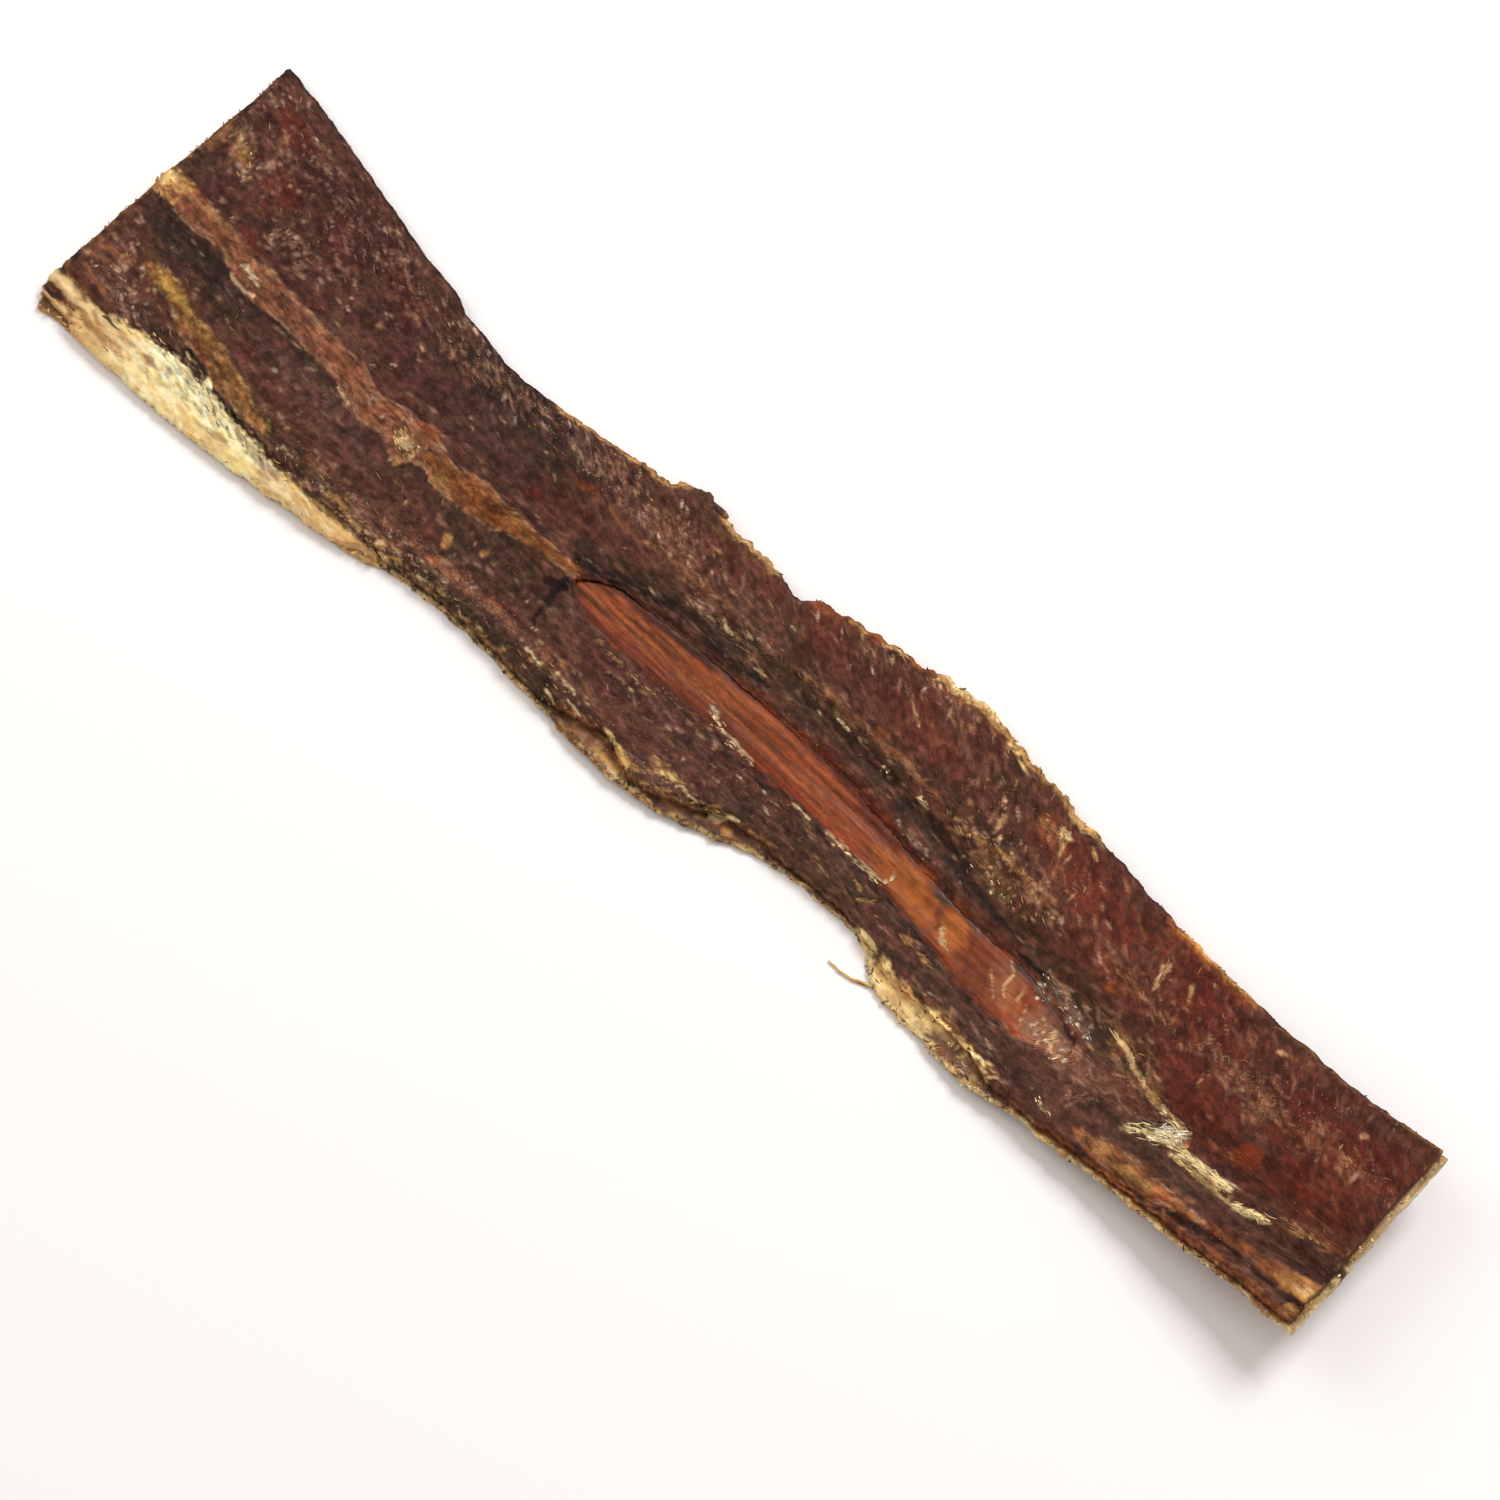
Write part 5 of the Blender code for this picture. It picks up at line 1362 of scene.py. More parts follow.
EDGE_MARKS = (
    Coat(Tone.BROWN, ((0.7, 78.5, -26.6, 4.6, 1.1, -6), (0.6, -14, -25.4, 3, 0.8, -6),
        (0.6, 86, -26.8, 4, 0.9, 0)), ((0.5, 0.7, ((72, -26.2), (75, -27), (79, -27.4))),)),
    Coat(Tone.TAN, ((0.5, -12, -26.8, 5, 1.6, -8), (0.45, 9.5, -25.8, 3.6, 1.3, 4),
        (0.5, 80.6, -26.2, 2.4, 0.6, -10), (0.4, 67, -26.2, 5, 0.5, -4), (0.5, 57, -23.6, 2.4, 0.6, -24))),
    Coat(Tone.AMBER, ((0.6, -4.6, -26.9, 1.6, 0.8, 0),), ((0.6, 0.6, ((16.4, -24.6), (18.6, -23.2),
        (20.6, -21.8))), (0.5, 0.5, ((74, -27.6), (79, -28))))),
    Coat(Tone.BUTTER, ((0.8, 60.6, -25.4, 3.4, 1.8, -22), (0.75, 66.8, -24.9, 3, 1.1, -8),
        (0.85, 73, -24, 2.2, 0.5, 0), (0.85, 52.4, -21.5, 2.6, 0.7, -16), (0.6, 78, -24.2, 1.4, 0.3, 0),
        (0.6, -9, -23.7, 1.2, 0.5, -10)), ((0.75, 0.35, ((-9.4, -23.7), (-6, -24.9), (-2.3, -26.2),
        (-1, -27.6))), (0.6, 0.4, ((3, -23.2), (5, -22.5), (6.8, -22.3))), (0.7, 0.35, ((71, -24.6),
        (75, -25), (78, -25.2))), (0.5, 0.3, ((-76, -26.4), (-73, -26), (-70.6, -26.6))), (0.6, 0.3,
        ((-1, -29), (3, -28.9), (6.4, -28.6))))),
    Coat(Tone.HONEY, ((0.85, -4.4, -28.2, 3.8, 0.8, -4), (0.5, -4, -25.4, 2.4, 0.8, -14),
        (0.8, 20.4, -23.6, 1.5, 0.8, 20), (0.5, 64, -26.4, 4, 0.7, -6))),
    Coat(Tone.FLAME, ((0.45, 63.3, -23.9, 1.6, 1.0, 0), (0.3, 58.6, -24.6, 1, 1, 0),
        (0.35, 22, -23, 1.4, 0.5, 20))),
    Coat(Tone.CREAM, ((0.85, 81.9, -24.4, 1.9, 0.4, -6), (0.6, 59.4, -26, 2, 0.7, -20),
        (0.5, 52, -21.2, 1.6, 0.4, -16), (0.6, -65.8, -25.6, 1, 0.5, -30)), ((0.85, 0.42, ((15.2, -24.1),
        (17, -22.8), (18.6, -21.4), (20.6, -20.3))), (0.65, 0.2, ((6.8, -22.9), (10, -22.9), (12.2, -23.1))),
        (0.5, 0.2, ((-24, -22.2), (-20, -22.5), (-17.7, -22.8))), (0.5, 0.2, ((-23, -25.3), (-21.4, -26),
        (-20, -26.8))), (0.6, 0.24, ((-7.8, -28.8), (-4, -29.2), (0, -29.2))), (0.6, 0.2, ((-33, -22.6),
        (-30, -22.4), (-26, -22.8))), (0.5, 0.2, ((-19, -24.6), (-15, -24.9))), (0.45, 0.2, ((-57, -25.6),
        (-54, -25.4))), (0.45, 0.2, ((-46, -26), (-42, -25.8))))),
    Coat(Tone.PINK, ((0.6, 25.2, -21.4, 1.3, 0.5, 6), (0.4, 0.6, -23, 1, 0.5, 0),
        (0.4, 82, -27.2, 1.2, 0.4, 0))),
    Coat(Tone.DARK_RED_AND_SHADE, ((0.8, 73, -26.2, 1.2, 0.6, 0), (0.6, 76.6, -26.6, 1, 0.4, 0),
        (0.4, -8, -26, 1.6, 0.5, 0))),
)


def edge_marked(colours: Array, x: Array, y: Array) -> Array:
    """Colours with the marks along the lower border laid over them, at places as seen, and with painted light
    that makes the lower rim from x 48 to 88 lighter.

    Args:
        colours: Colours under the marks, one row a place.
        x: Places along the strip, as seen.
        y: Places across the strip, as seen.

    Returns:
        Colours, one row a place.
    """
    near = (y < -18.0) & (x > -80.0) & (x < 96.0)
    colours = colours.copy()
    colours[near] = painted(EDGE_MARKS, colours[near], x[near], y[near])
    # Painted light: the lower rim from x 48 to 88 faces away from the key lamp and is painted lighter, less
    # so towards its outer border.
    rim_painted_light = smooth(48.0, 58.0, x) * smooth(88.0, 78.0, x) * smooth(-21.5, -23.5, y)
    rim_painted_light = (rim_painted_light * (1.0 - 0.7 * smooth(-25.4, -26.8, y)))[:, None]
    return colours * (1.0 + np.array((0.26, 0.24, 0.16)) * rim_painted_light)


SEEN_UPPER: Line = (
    (-34.4, -5.6), (-33, -4.8), (-30, -3.2), (-26, -2.2), (-20, -1.7), (-10, -1.5), (0, -0.9), (8, 0.0),
    (20, -0.2), (30, -0.7), (40, -2), (45, -3.4), (50, -4.6), (54, -5), (56, -6.8), (58, -6.9), (60, -5.8),
    (62, -5.6), (64, -6.8), (68, -7.1), (71, -6.4), (75, -6.6), (80, -8.2), (85, -10.2), (90, -11.4),
    (98, -12.6),
)
SEEN_LOWER: Line = (
    (-34.4, -5.8), (-33, -7), (-30, -9.4), (-26, -10.5), (-20, -10.9), (-10, -10.7), (0, -10.1), (10, -10.3),
    (20, -10.6), (30, -11), (40, -11.6), (45, -12), (50, -12.6), (55, -13.4), (60, -14.2), (65, -15.2),
    (70, -16.4), (75, -17), (80, -16.8), (85, -16.2), (90, -15.6), (98, -14.4),
)


TINTS: tuple[tuple[float, float, float, float, float, Colour], ...] = (
    (-114, 16, 22, 6, -14, (0.85, 0.81, 0.86)), (-62, 13.5, 22, 5, -3, (0.80, 0.82, 0.90)),
    (-62, 3, 18, 4, -3, (0.88, 0.92, 0.93)), (-108, -3.8, 14, 2.4, -6, (0.91, 0.94, 1.0)),
    (-57, -6.6, 17, 2.6, 0, (0.77, 0.79, 0.63)), (-48, -14.5, 12, 4, 0, (0.95, 0.92, 0.98)),
    (25, 18, 26, 4, -4, (1.09, 1.09, 1.1)), (-135, -8, 13, 3.6, -4, (0.76, 0.82, 0.84)),
    (-95, -13.5, 16, 3.4, -6, (1.07, 1.21, 1.25)), (115, 10, 18, 4, 0, (0.91, 0.83, 0.89)),
    (139, 10, 14, 4, 0, (0.91, 0.85, 0.87)), (128, -7, 24, 3.6, 8, (0.86, 0.70, 0.60)),
    (143, -17, 12, 1.8, 12, (0.78, 0.73, 0.77)), (-132, -15.4, 12, 2, -12, (1.0, 1.16, 0.80)),
    (-110, -20.8, 12, 2.4, -14, (0.94, 1.08, 0.84)),
)


def tinted(colours: Array, x: Array, y: Array) -> Array:
    """Colours with the shades of whole regions laid over them, at places as seen.

    Args:
        colours: Colours under the shades, one row a place.
        x: Places along the strip, as seen.
        y: Places across the strip, as seen.

    Returns:
        Colours, one row a place.
    """
    for middle_x, middle_y, half_x, half_y, turn, factors in TINTS:
        along, across = turned(x - middle_x, y - middle_y, math.radians(turn))
        share = smooth(1.35, 0.75, np.hypot(along / half_x, across / half_y))[:, None]
        colours = colours * (1.0 - share + np.array(factors) * share)
    return colours


def opening_cover(x: Array, y: Array) -> Array:
    """How much the bare lining shows at each place as seen, with a soft torn border.

    Args:
        x: Places along the strip, as seen.
        y: Places across the strip, as seen.

    Returns:
        Shares from 0 to 1.
    """
    ragged = grain((0.8, 1.6, 151.5), 0.5 * x, y) + grain((0.6, 0.6, 153.5), 0.6 * x, y)
    soft = 0.3 + 0.9 * smooth(-10.0, 6.0, x)
    above = smooth(0.0, 1.0, 0.5 + 0.5 * (straight(SEEN_UPPER, x) - y) / soft + 0.7 * ragged)
    below = smooth(-0.6, 0.6, y - straight(SEEN_LOWER, x) + 0.8 * ragged)
    return above * below * smooth(-35.2, -33.8, x) * smooth(99.0, 86.0, x + 3.0 * ragged)


def opening_paint(x: Array, y: Array) -> Array:
    """Colours of the bare lining at places as seen.

    Args:
        x: Places along the strip, as seen.
        y: Places across the strip, as seen.

    Returns:
        Colours, one row a place.
    """
    inner = painted(OPENING_COATS, np.tile(Tone.DEEP_ORANGE.value, (len(x), 1)), x, y)
    streak = grain((0.9, 0.42, 99.5), 0.045 * x, y + 0.06 * x) + grain((0.8, 1.1, 101.5), 0.07 * x, y)
    streak += grain((0.5, 0.3, 103.5), 0.12 * x, y)
    shades = (
        (0.82, 0.81, 0.81, 0.80, 0.93, 1.14),
        (0.82, 0.72, 0.71, 0.74, 0.86, 1.03),
        (0.98, 0.77, 0.76, 0.62, 0.78, 0.89),
    )
    inner = inner * shades_along((0.0, 18.0, 38.0, 55.0, 70.0, 86.0), shades, x)
    return inner * np.clip(1.0 + (0.8 - 0.5 * smooth(40.0, 54.0, x)) * streak, 0.35, 2.0)[:, None]


def drawn(draw: np.random.Generator, count: int, *limits: tuple[float, float]) -> list[Array]:
    """Numbers drawn evenly between each pair of limits."""
    return [draw.uniform(low, high, count) for low, high in limits]


def picked(draw: np.random.Generator, tones: tuple[Colour, ...], count: int) -> Array:
    """Tones drawn by lot, one row each."""
    return np.array(tones)[draw.integers(0, len(tones), count)]


def varied(draw: np.random.Generator, tones: Array, low: float, high: float, count: int) -> Array:
    """Tones in brightnesses drawn between two limits, one row each."""
    return tones * draw.uniform(low, high, count)[:, None]


def scattered_strokes(
    draw: np.random.Generator, x: Array, y: Array, length: tuple[float, float], width: tuple[float, float],
    cover: tuple[float, float], tones: tuple[Colour, ...], lean: float = 12.0,
) -> Array:
    """Strokes along the fibres at given places.

    Args:
        draw: Source of chance.
        x: Places along the strip.
        y: Places across the strip.
        length: Least and greatest half length.
        width: Least and greatest half width.
        cover: Least and greatest cover.
        tones: Colours to choose from.
        lean: Spread of the directions in degrees.

    Returns:
        Rows for smeared().
    """
    count = len(x)
    calm = smooth(30.0, 90.0, x)
    leans = draw.normal(0.0, lean, count) * (1.0 + 0.7 * calm)
    turns = np.radians(Flow.degrees(x, y) * (1.0 - 0.4 * calm) + leans)
    colours = varied(draw, picked(draw, tones, count), 0.8, 1.2, count)
    long, wide, thick = drawn(draw, count, length, width, cover)
    sizes = (long * (1.0 + 0.4 * calm), wide * (1.0 + 0.2 * calm), thick * (1.0 - 0.35 * calm))
    return np.column_stack((x, y, turns, *sizes, colours))


def slope_of(line: Line, x: Array, reach: float) -> Array:
    """Direction of a line in radians, read over a reach to both sides."""
    return np.arctan2(straight(line, x + reach) - straight(line, x - reach), 2.0 * reach)


def band_strokes(draw: np.random.Generator) -> list[Array]:
    """Strokes within the pale bands of the meat, then along their borders.

    Args:
        draw: Source of chance.

    Returns:
        Rows for smeared(), in one table a band.
    """
    rows: list[Array] = []
    within = (
        (0.36, 0.150, 0.080), (0.44, 0.230, 0.120), (0.34, 0.110, 0.050),
        (0.12, 0.040, 0.018), (0.085, 0.030, 0.016), (0.20, 0.065, 0.026),
    )
    for band, count in zip(MEAT_BANDS[:5], (900, 300, 60, 120, 60)):
        x = draw.uniform(band.lower[0][0], band.lower[-1][0], count)
        low, high = straight(band.lower, x), straight(band.upper, x)
        y = low + (high - low) * draw.uniform(0.04, 0.96, count)
        sizes = drawn(draw, count, (0.5, 2.6), (0.16, 0.42), (0.15, 0.7))
        colours = varied(draw, picked(draw, within, count), 0.8, 1.15, count)
        colours *= np.where(x > -72.0, 1.0, 0.0)[:, None] * np.array((0.0, -0.12, -0.4)) + 1.0
        turn = slope_of(band.lower, x, 2.0) + np.radians(draw.normal(-4.0, 12.0, count))
        rows.append(np.column_stack((x, y, turn, *sizes, colours)))
    along = ((0.42, 0.250, 0.130), (0.50, 0.340, 0.200), (0.34, 0.160, 0.070))
    first, second, third, fourth = MEAT_BANDS[:4]
    guides = (
        (first, first.lower, 260), (second, second.upper, 90),
        (third, third.lower, 1), (fourth, fourth.lower, 40),
    )
    for band, guide, count in guides:
        x = draw.uniform(band.lower[0][0], band.lower[-1][0], count)
        is_lower = draw.random(count) < 0.5
        y = np.where(is_lower, straight(band.lower, x), straight(band.upper, x))
        y = y + draw.normal(0.0, 0.15, count)
        sizes = drawn(draw, count, (0.6, 1.8), (0.14, 0.26), (0.2, 0.7))
        rows.append(np.column_stack((x, y, slope_of(guide, x, 1.0), *sizes, picked(draw, along, count))))
    return rows


def meat_strokes() -> Array:
    """All soft strokes of the meat: dark veins, lighter fibres and pale flecks in clusters.

    Returns:
        Rows for smeared(), at places as seen.
    """
    draw = np.random.default_rng(5)

    def places(count: int) -> tuple[Array, Array]:
        """Places spread evenly over the strip, as seen."""
        x, y = draw.uniform(-153.5, 152.0, count), draw.uniform(-29.0, 36.0, count)
        low, high = line_at(STRIP.muscle_lower_line, x) - 0.5, line_at(STRIP.upper_line, x) + 0.5
        inside = (y > low) & (y < high)
        return x[inside], y[inside]

    def fleck_cover(x: Array, y: Array) -> Array:
        """How many flecks show at places as seen."""
        return FLECK_PATCHES.cover(x, y, np.zeros(x.size))

    veins = ((0.034, 0.018, 0.013), (0.042, 0.015, 0.011), (0.026, 0.016, 0.011))
    fibres = ((0.19, 0.090, 0.062), (0.18, 0.070, 0.048), (0.16, 0.098, 0.054), (0.17, 0.050, 0.034))
    pale = ((0.33, 0.205, 0.140), (0.29, 0.165, 0.110), (0.37, 0.250, 0.140), (0.31, 0.190, 0.085))
    bright = ((0.60, 0.46, 0.30), (0.50, 0.36, 0.19), (0.52, 0.42, 0.32))
    rows = [
        scattered_strokes(draw, *places(7500), (0.7, 3.2), (0.2, 0.5), (0.15, 0.62), veins),
        scattered_strokes(draw, *places(7500), (0.5, 2.6), (0.18, 0.45), (0.10, 0.50), fibres),
    ]
    x, y = places(17000)
    clumps = smooth(-0.05, 0.5, grain((1.3, 4.4, 141.5), x, y) + grain((0.7, 1.5, 143.5), x, y))
    chance = (0.06 + 0.94 * fleck_cover(x, y)) * (0.12 + 0.88 * clumps)
    kept = draw.random(x.size) < 0.9 * chance
    x, y = x[kept], y[kept]
    rows.append(scattered_strokes(draw, x, y, (0.5, 1.9), (0.18, 0.38), (0.25, 0.80), pale, 13.0))
    x, y = places(12000)
    kept = draw.random(x.size) < 0.09 * (0.08 + fleck_cover(x, y))
    x, y = x[kept], y[kept]
    rows.append(scattered_strokes(draw, x, y, (0.4, 1.2), (0.16, 0.28), (0.5, 0.95), bright, 15.0))
    return np.vstack(rows + band_strokes(draw))


def bundle_places(draw: np.random.Generator, count: int, wide: float, line: Line) -> tuple[Array, Array]:
    """Places strewn about a line.

    Args:
        draw: Source of chance.
        count: How many places.
        wide: Spread across the line.
        line: Corners of the line.

    Returns:
        Places along and across the strip, as seen.
    """
    x, y = on_path(line, draw.random(count) * (len(line) - 1))
    return x + draw.normal(0.0, 0.6 * wide, count), y + draw.normal(0.0, wide, count)


def detail_strokes() -> Array:
    """Strokes of all fibre bundles, as seen.

    Returns:
        Rows for smeared().
    """
    draw = np.random.default_rng(6)
    rows: list[Array] = []
    for tone, full, wide, length, turn, line in BUNDLES:
        count = max(3, (2 * full) // 3)
        x, y = bundle_places(draw, count, wide, line)
        long, thick, cover = drawn(draw, count, (0.5, 1.2), (0.14, 0.36), (0.25, 0.95))
        colours = varied(draw, tone.paint, 0.6, 1.1, count)
        turns = np.radians(turn + draw.normal(0.0, 12.0, count))
        rows.append(np.column_stack((x, y, turns, 0.5 * length * long, thick, cover, colours)))
    return np.vstack(rows)


RimRow = tuple[float, float, int, float, Tone]

RIM_ROWS: dict[Border, tuple[RimRow, ...]] = {
    Border.LOWER: (
        (-78, -63, 90, 2.0, Tone.BUTTER), (-78, -63, 50, 2.0, Tone.HONEY), (-64, -20, 110, 0.5, Tone.BUTTER),
        (-64, -20, 240, 2.8, Tone.MOSS), (-64, -30, 40, 2.4, Tone.GOLD), (-20, 2, 60, 4.5, Tone.HONEY),
        (-20, 2, 70, 4.5, Tone.AMBER), (-20, 2, 260, 4.5, Tone.BROWN), (-20, 2, 40, 4.5, Tone.DARK_MARK_AND_SHADOW),
        (-12, 2, 36, 1.0, Tone.BUTTER), (-12, 0, 16, 0.8, Tone.CREAM), (0, 20, 340, 6.5, Tone.BROWN),
        (0, 20, 30, 6.5, Tone.GOLD), (0, 20, 50, 0.5, Tone.BUTTER), (0, 20, 90, 6.0, Tone.DARK_MARK_AND_SHADOW),
        (0, 16, 24, 6.0, Tone.HONEY), (14, 28, 26, 4.0, Tone.GOLD), (14, 30, 140, 5.0, Tone.BROWN),
        (14, 28, 34, 0.5, Tone.BUTTER), (26, 52, 300, 2.6, Tone.BROWN), (26, 52, 80, 0.3, Tone.CREAM),
        (26, 52, 80, 0.4, Tone.HONEY), (50, 58, 60, 1.6, Tone.BUTTER), (50, 58, 40, 1.2, Tone.CREAM),
        (50, 58, 60, 5.0, Tone.BROWN), (57, 72, 150, 4.0, Tone.CREAM), (57, 72, 190, 4.6, Tone.BUTTER),
        (56, 72, 14, 5.5, Tone.BROWN), (57, 72, 60, 4.5, Tone.HONEY), (72, 88, 120, 4.5, Tone.BROWN),
        (70, 86, 110, 5.0, Tone.BUTTER), (72, 88, 80, 4.5, Tone.TAN), (72, 88, 40, 0.8, Tone.CREAM),
        (84, 153, 260, 0.4, Tone.CREAM), (84, 153, 150, 0.6, Tone.HONEY), (84, 112, 80, 2.4, Tone.BROWN),
        (112, 153, 60, 2.4, Tone.BROWN), (108, 153, 130, 2.0, Tone.AMBER), (118, 153, 40, 2.6, Tone.TAN),
    ),
    Border.UPPER: (
        (-62, -36, 130, 0.7, Tone.HONEY), (-39, -33, 40, 1.2, Tone.HONEY), (-33, -22.5, 160, 2.4, Tone.BROWN),
        (-33, -22.5, 40, 0.4, Tone.TAN), (-22.5, -8, 80, 1.2, Tone.HONEY), (-22.5, -8, 40, 0.9, Tone.BUTTER),
        (-39, -8, 150, 1.8, Tone.BROWN), (1, 28, 120, 0.8, Tone.AMBER), (9, 14, 26, 1.0, Tone.HONEY),
        (17, 21, 26, 1.0, Tone.BUTTER), (28, 44, 160, 1.8, Tone.BUTTER), (31, 42, 80, 1.2, Tone.CREAM),
        (28, 46, 80, 2.6, Tone.AMBER), (44, 72, 90, 1.2, Tone.HONEY), (46, 52, 34, 2.0, Tone.BUTTER),
        (63, 69, 50, 1.4, Tone.BUTTER), (44, 72, 120, 2.0, Tone.BROWN), (90, 112, 130, 0.8, Tone.HONEY),
        (90, 112, 90, 1.6, Tone.AMBER), (92, 110, 50, 0.5, Tone.BUTTER), (112, 152, 90, 0.6, Tone.TAN),
        (-152, -66, 160, 0.6, Tone.DARK_MARK_AND_SHADOW),
    ),
    Border.NARROW: (
        (-24, 16, 120, 1.6, Tone.BROWN), (-24, 16, 110, 0.7, Tone.CREAM), (-24, 16, 60, 1.2, Tone.HONEY),
        (-24, 16, 60, 1.5, Tone.DARK_MARK_AND_SHADOW),
    ),
    Border.WIDE: (
        (-26, 34, 120, 0.8, Tone.TAN), (-26, 34, 120, 1.0, Tone.DARK_MARK_AND_SHADOW), (-0.6, 4.0, 34, 3.0, Tone.BUTTER),
        (-2.0, 4.0, 60, 6.5, Tone.HONEY), (12, 18, 20, 2.4, Tone.GOLD), (-30, -26.4, 60, 9.0, Tone.HONEY),
        (-29.4, -26.6, 30, 4.0, Tone.GOLD),
    ),
}


def border_places(border: Border, place: Array, inside: Array) -> tuple[Array, Array, Array]:
    """Places and directions at a border.

    Args:
        border: Which border.
        place: Places along it.
        inside: Distances from it towards the strip.

    Returns:
        Places along and across the strip, and outward directions in radians.
    """
    if border in (Border.WIDE, Border.NARROW):
        side = -1.0 if border is Border.WIDE else 1.0
        end = STRIP.wide_end - STRIP.wide_rim if side < 0.0 else STRIP.narrow_end + STRIP.narrow_rim
        return end - side * inside, place, np.full(place.size, 0.0 if side > 0.0 else math.pi)
    edges = {
        Border.LOWER: STRIP.lower_edge,
        Border.UPPER: STRIP.upper_edge,
        Border.MEAT: STRIP.muscle_lower_edge,
    }
    side = 1.0 if border is Border.UPPER else -1.0
    edge = edges[border]
    slope = np.arctan2(edge(place + 1.0) - edge(place - 1.0), np.full(place.size, 2.0))
    return place, edge(place) - side * inside, slope + side * 0.5 * math.pi


def rim_strokes() -> Array:
    """Strokes along the borders, in places of the flat strip.

    Returns:
        Rows for smeared().
    """
    draw = np.random.default_rng(9)
    rows: list[Array] = []
    for border, rims in RIM_ROWS.items():
        for start, end, count, depth, tone in rims:
            x, y, out = border_places(border, draw.uniform(start, end, count), depth * draw.random(count))
            inward = border is Border.WIDE and depth > 2.0
            turn = out if inward else out + 0.5 * math.pi
            turn = turn + np.radians(draw.normal(0.0, 14.0 if inward else 20.0, count))
            long, wide, cover = drawn(draw, count, (0.4, 1.7), (0.18, 0.42), (0.3, 0.95))
            wide *= min(1.0, 0.45 + depth / 5.0)
            colours = varied(draw, tone.paint, 0.7, 1.1, count)
            rows.append(np.column_stack((x, y, turn, long, wide, cover, colours)))
    table = np.vstack(rows)
    return table[draw.permutation(len(table))]


SEEN_FAT: Line = (
    (-154, -26.8), (-147, -27.2), (-140, -28), (-134, -26.4), (-130, -25.4), (-120, -24), (-110, -25.4),
    (-100, -26.8), (-92, -27.8), (-76, -28), (-66, -27.9), (-61, -28.6),
)


def fat_cover(x: Array, y: Array) -> Array:
    """How much the fat shows at each place as seen, with a fibrous upper border.

    Args:
        x: Places along the strip, as seen.
        y: Places across the strip, as seen.

    Returns:
        Shares from 0 to 1.
    """
    along, across = 0.42 * x - 0.12 * y, 0.26 * x + 0.96 * y
    ragged = grain((1.3, 1.3, 161.5), along, across) + grain((0.9, 0.55, 163.5), along, across)
    wild = smooth(-134.0, -128.0, x) * smooth(-88.0, -96.0, x)
    below = straight(SEEN_FAT, x) - y + (0.5 + 1.1 * wild) * ragged
    return smooth(-0.7, 0.7, below) * smooth(-60.5, -62.5, x)


def fat_paint(x: Array, y: Array) -> Array:
    """Colours of the fat at places as seen.

    Args:
        x: Places along the strip, as seen.
        y: Places across the strip, as seen.

    Returns:
        Colours, one row a place.
    """
    along, across = 0.35 * x - 0.1 * y, y + 0.22 * x
    creamy = grain((1.0, 2.6, 107.5), along, across) + grain((0.8, 0.7, 109.5), along, across)
    brown = grain((1.0, 1.1, 108.5), along, across) + 0.4 * grain((1.0, 4.0, 110.5), x, y)
    colours = mixed(Tone.BUTTER.paint, Tone.CREAM.paint, 0.7 * smooth(-0.5, 0.5, creamy))
    colours = mixed(colours, Tone.HONEY.paint, 0.55 * smooth(0.2, 0.8, brown))
    colours = smeared(painted(FAT_COATS, colours, x, y), x, y, fat_strokes())
    shades = ((0.93, 1.09, 1.09, 0.95, 0.95), (0.87, 1.15, 1.15, 0.88, 0.88), (0.79, 1.13, 1.13, 0.80, 0.80))
    shades = shades_along((-134.0, -126.0, -100.0, -80.0, -60.0), shades, x)
    return painted(FAT_MARKS, colours, x, y) * shades


FatRow = tuple[int, float, float, float, float, float, Colour]

FAT_ROWS: tuple[FatRow, ...] = (
    (150, -136, -66, -34.5, -24.5, 0.0, (0.90, 0.82, 0.56)),
    (120, -136, -92, -33.0, -24.5, 0.0, (0.88, 0.76, 0.32)),
    (120, -150, -66, -34.5, -25.0, 0.0, (0.64, 0.40, 0.17)),
    (70, -92, -64, -31.0, -27.5, 0.0, (0.56, 0.32, 0.11)),
    (90, -122, -92, -29.5, -24.8, -14.0, (0.20, 0.145, 0.090)),
    (110, -128, -92, -30.5, -24.0, -12.0, (0.90, 0.86, 0.62)),
    (40, -134, -90, -31.5, -27.0, -8.0, (0.34, 0.210, 0.110)),
    (50, -152, -132, -33.5, -26.0, 6.0, (0.46, 0.230, 0.080)),
    (50, -152, -138, -29.5, -26.0, 0.0, (0.86, 0.72, 0.44)),
    (30, -152, -143, -33.0, -30.0, 8.0, (0.24, 0.100, 0.040)),
    (26, -140, -124, -31.5, -28.5, -4.0, (0.42, 0.220, 0.090)),
)


def fat_strokes() -> Array:
    """Strokes of the fat: cream, yellow and peach patches and the dark net, as seen.

    Returns:
        Rows for smeared().
    """
    draw = np.random.default_rng(8)
    rows: list[Array] = []
    for count, left, right, bottom, top, turn, tone in FAT_ROWS:
        turns = np.radians(turn + draw.normal(-6.0, 12.0, count))
        sizes = drawn(draw, count, (0.6, 2.6), (0.2, 0.55), (0.2, 0.75))
        colours = varied(draw, np.array(tone), 0.85, 1.08, count)
        places = drawn(draw, count, (left, right), (bottom, top))
        rows.append(np.column_stack((*places, turns, *sizes, colours)))
    table = np.vstack(rows)
    return table[draw.permutation(len(table))]


@dataclass(frozen=True)
class Strokes:
    """Soft strokes that the meat and the lining share."""

    meat: Array = field(default_factory=meat_strokes)
    bundles: Array = field(default_factory=detail_strokes)
    rims: Array = field(default_factory=rim_strokes)


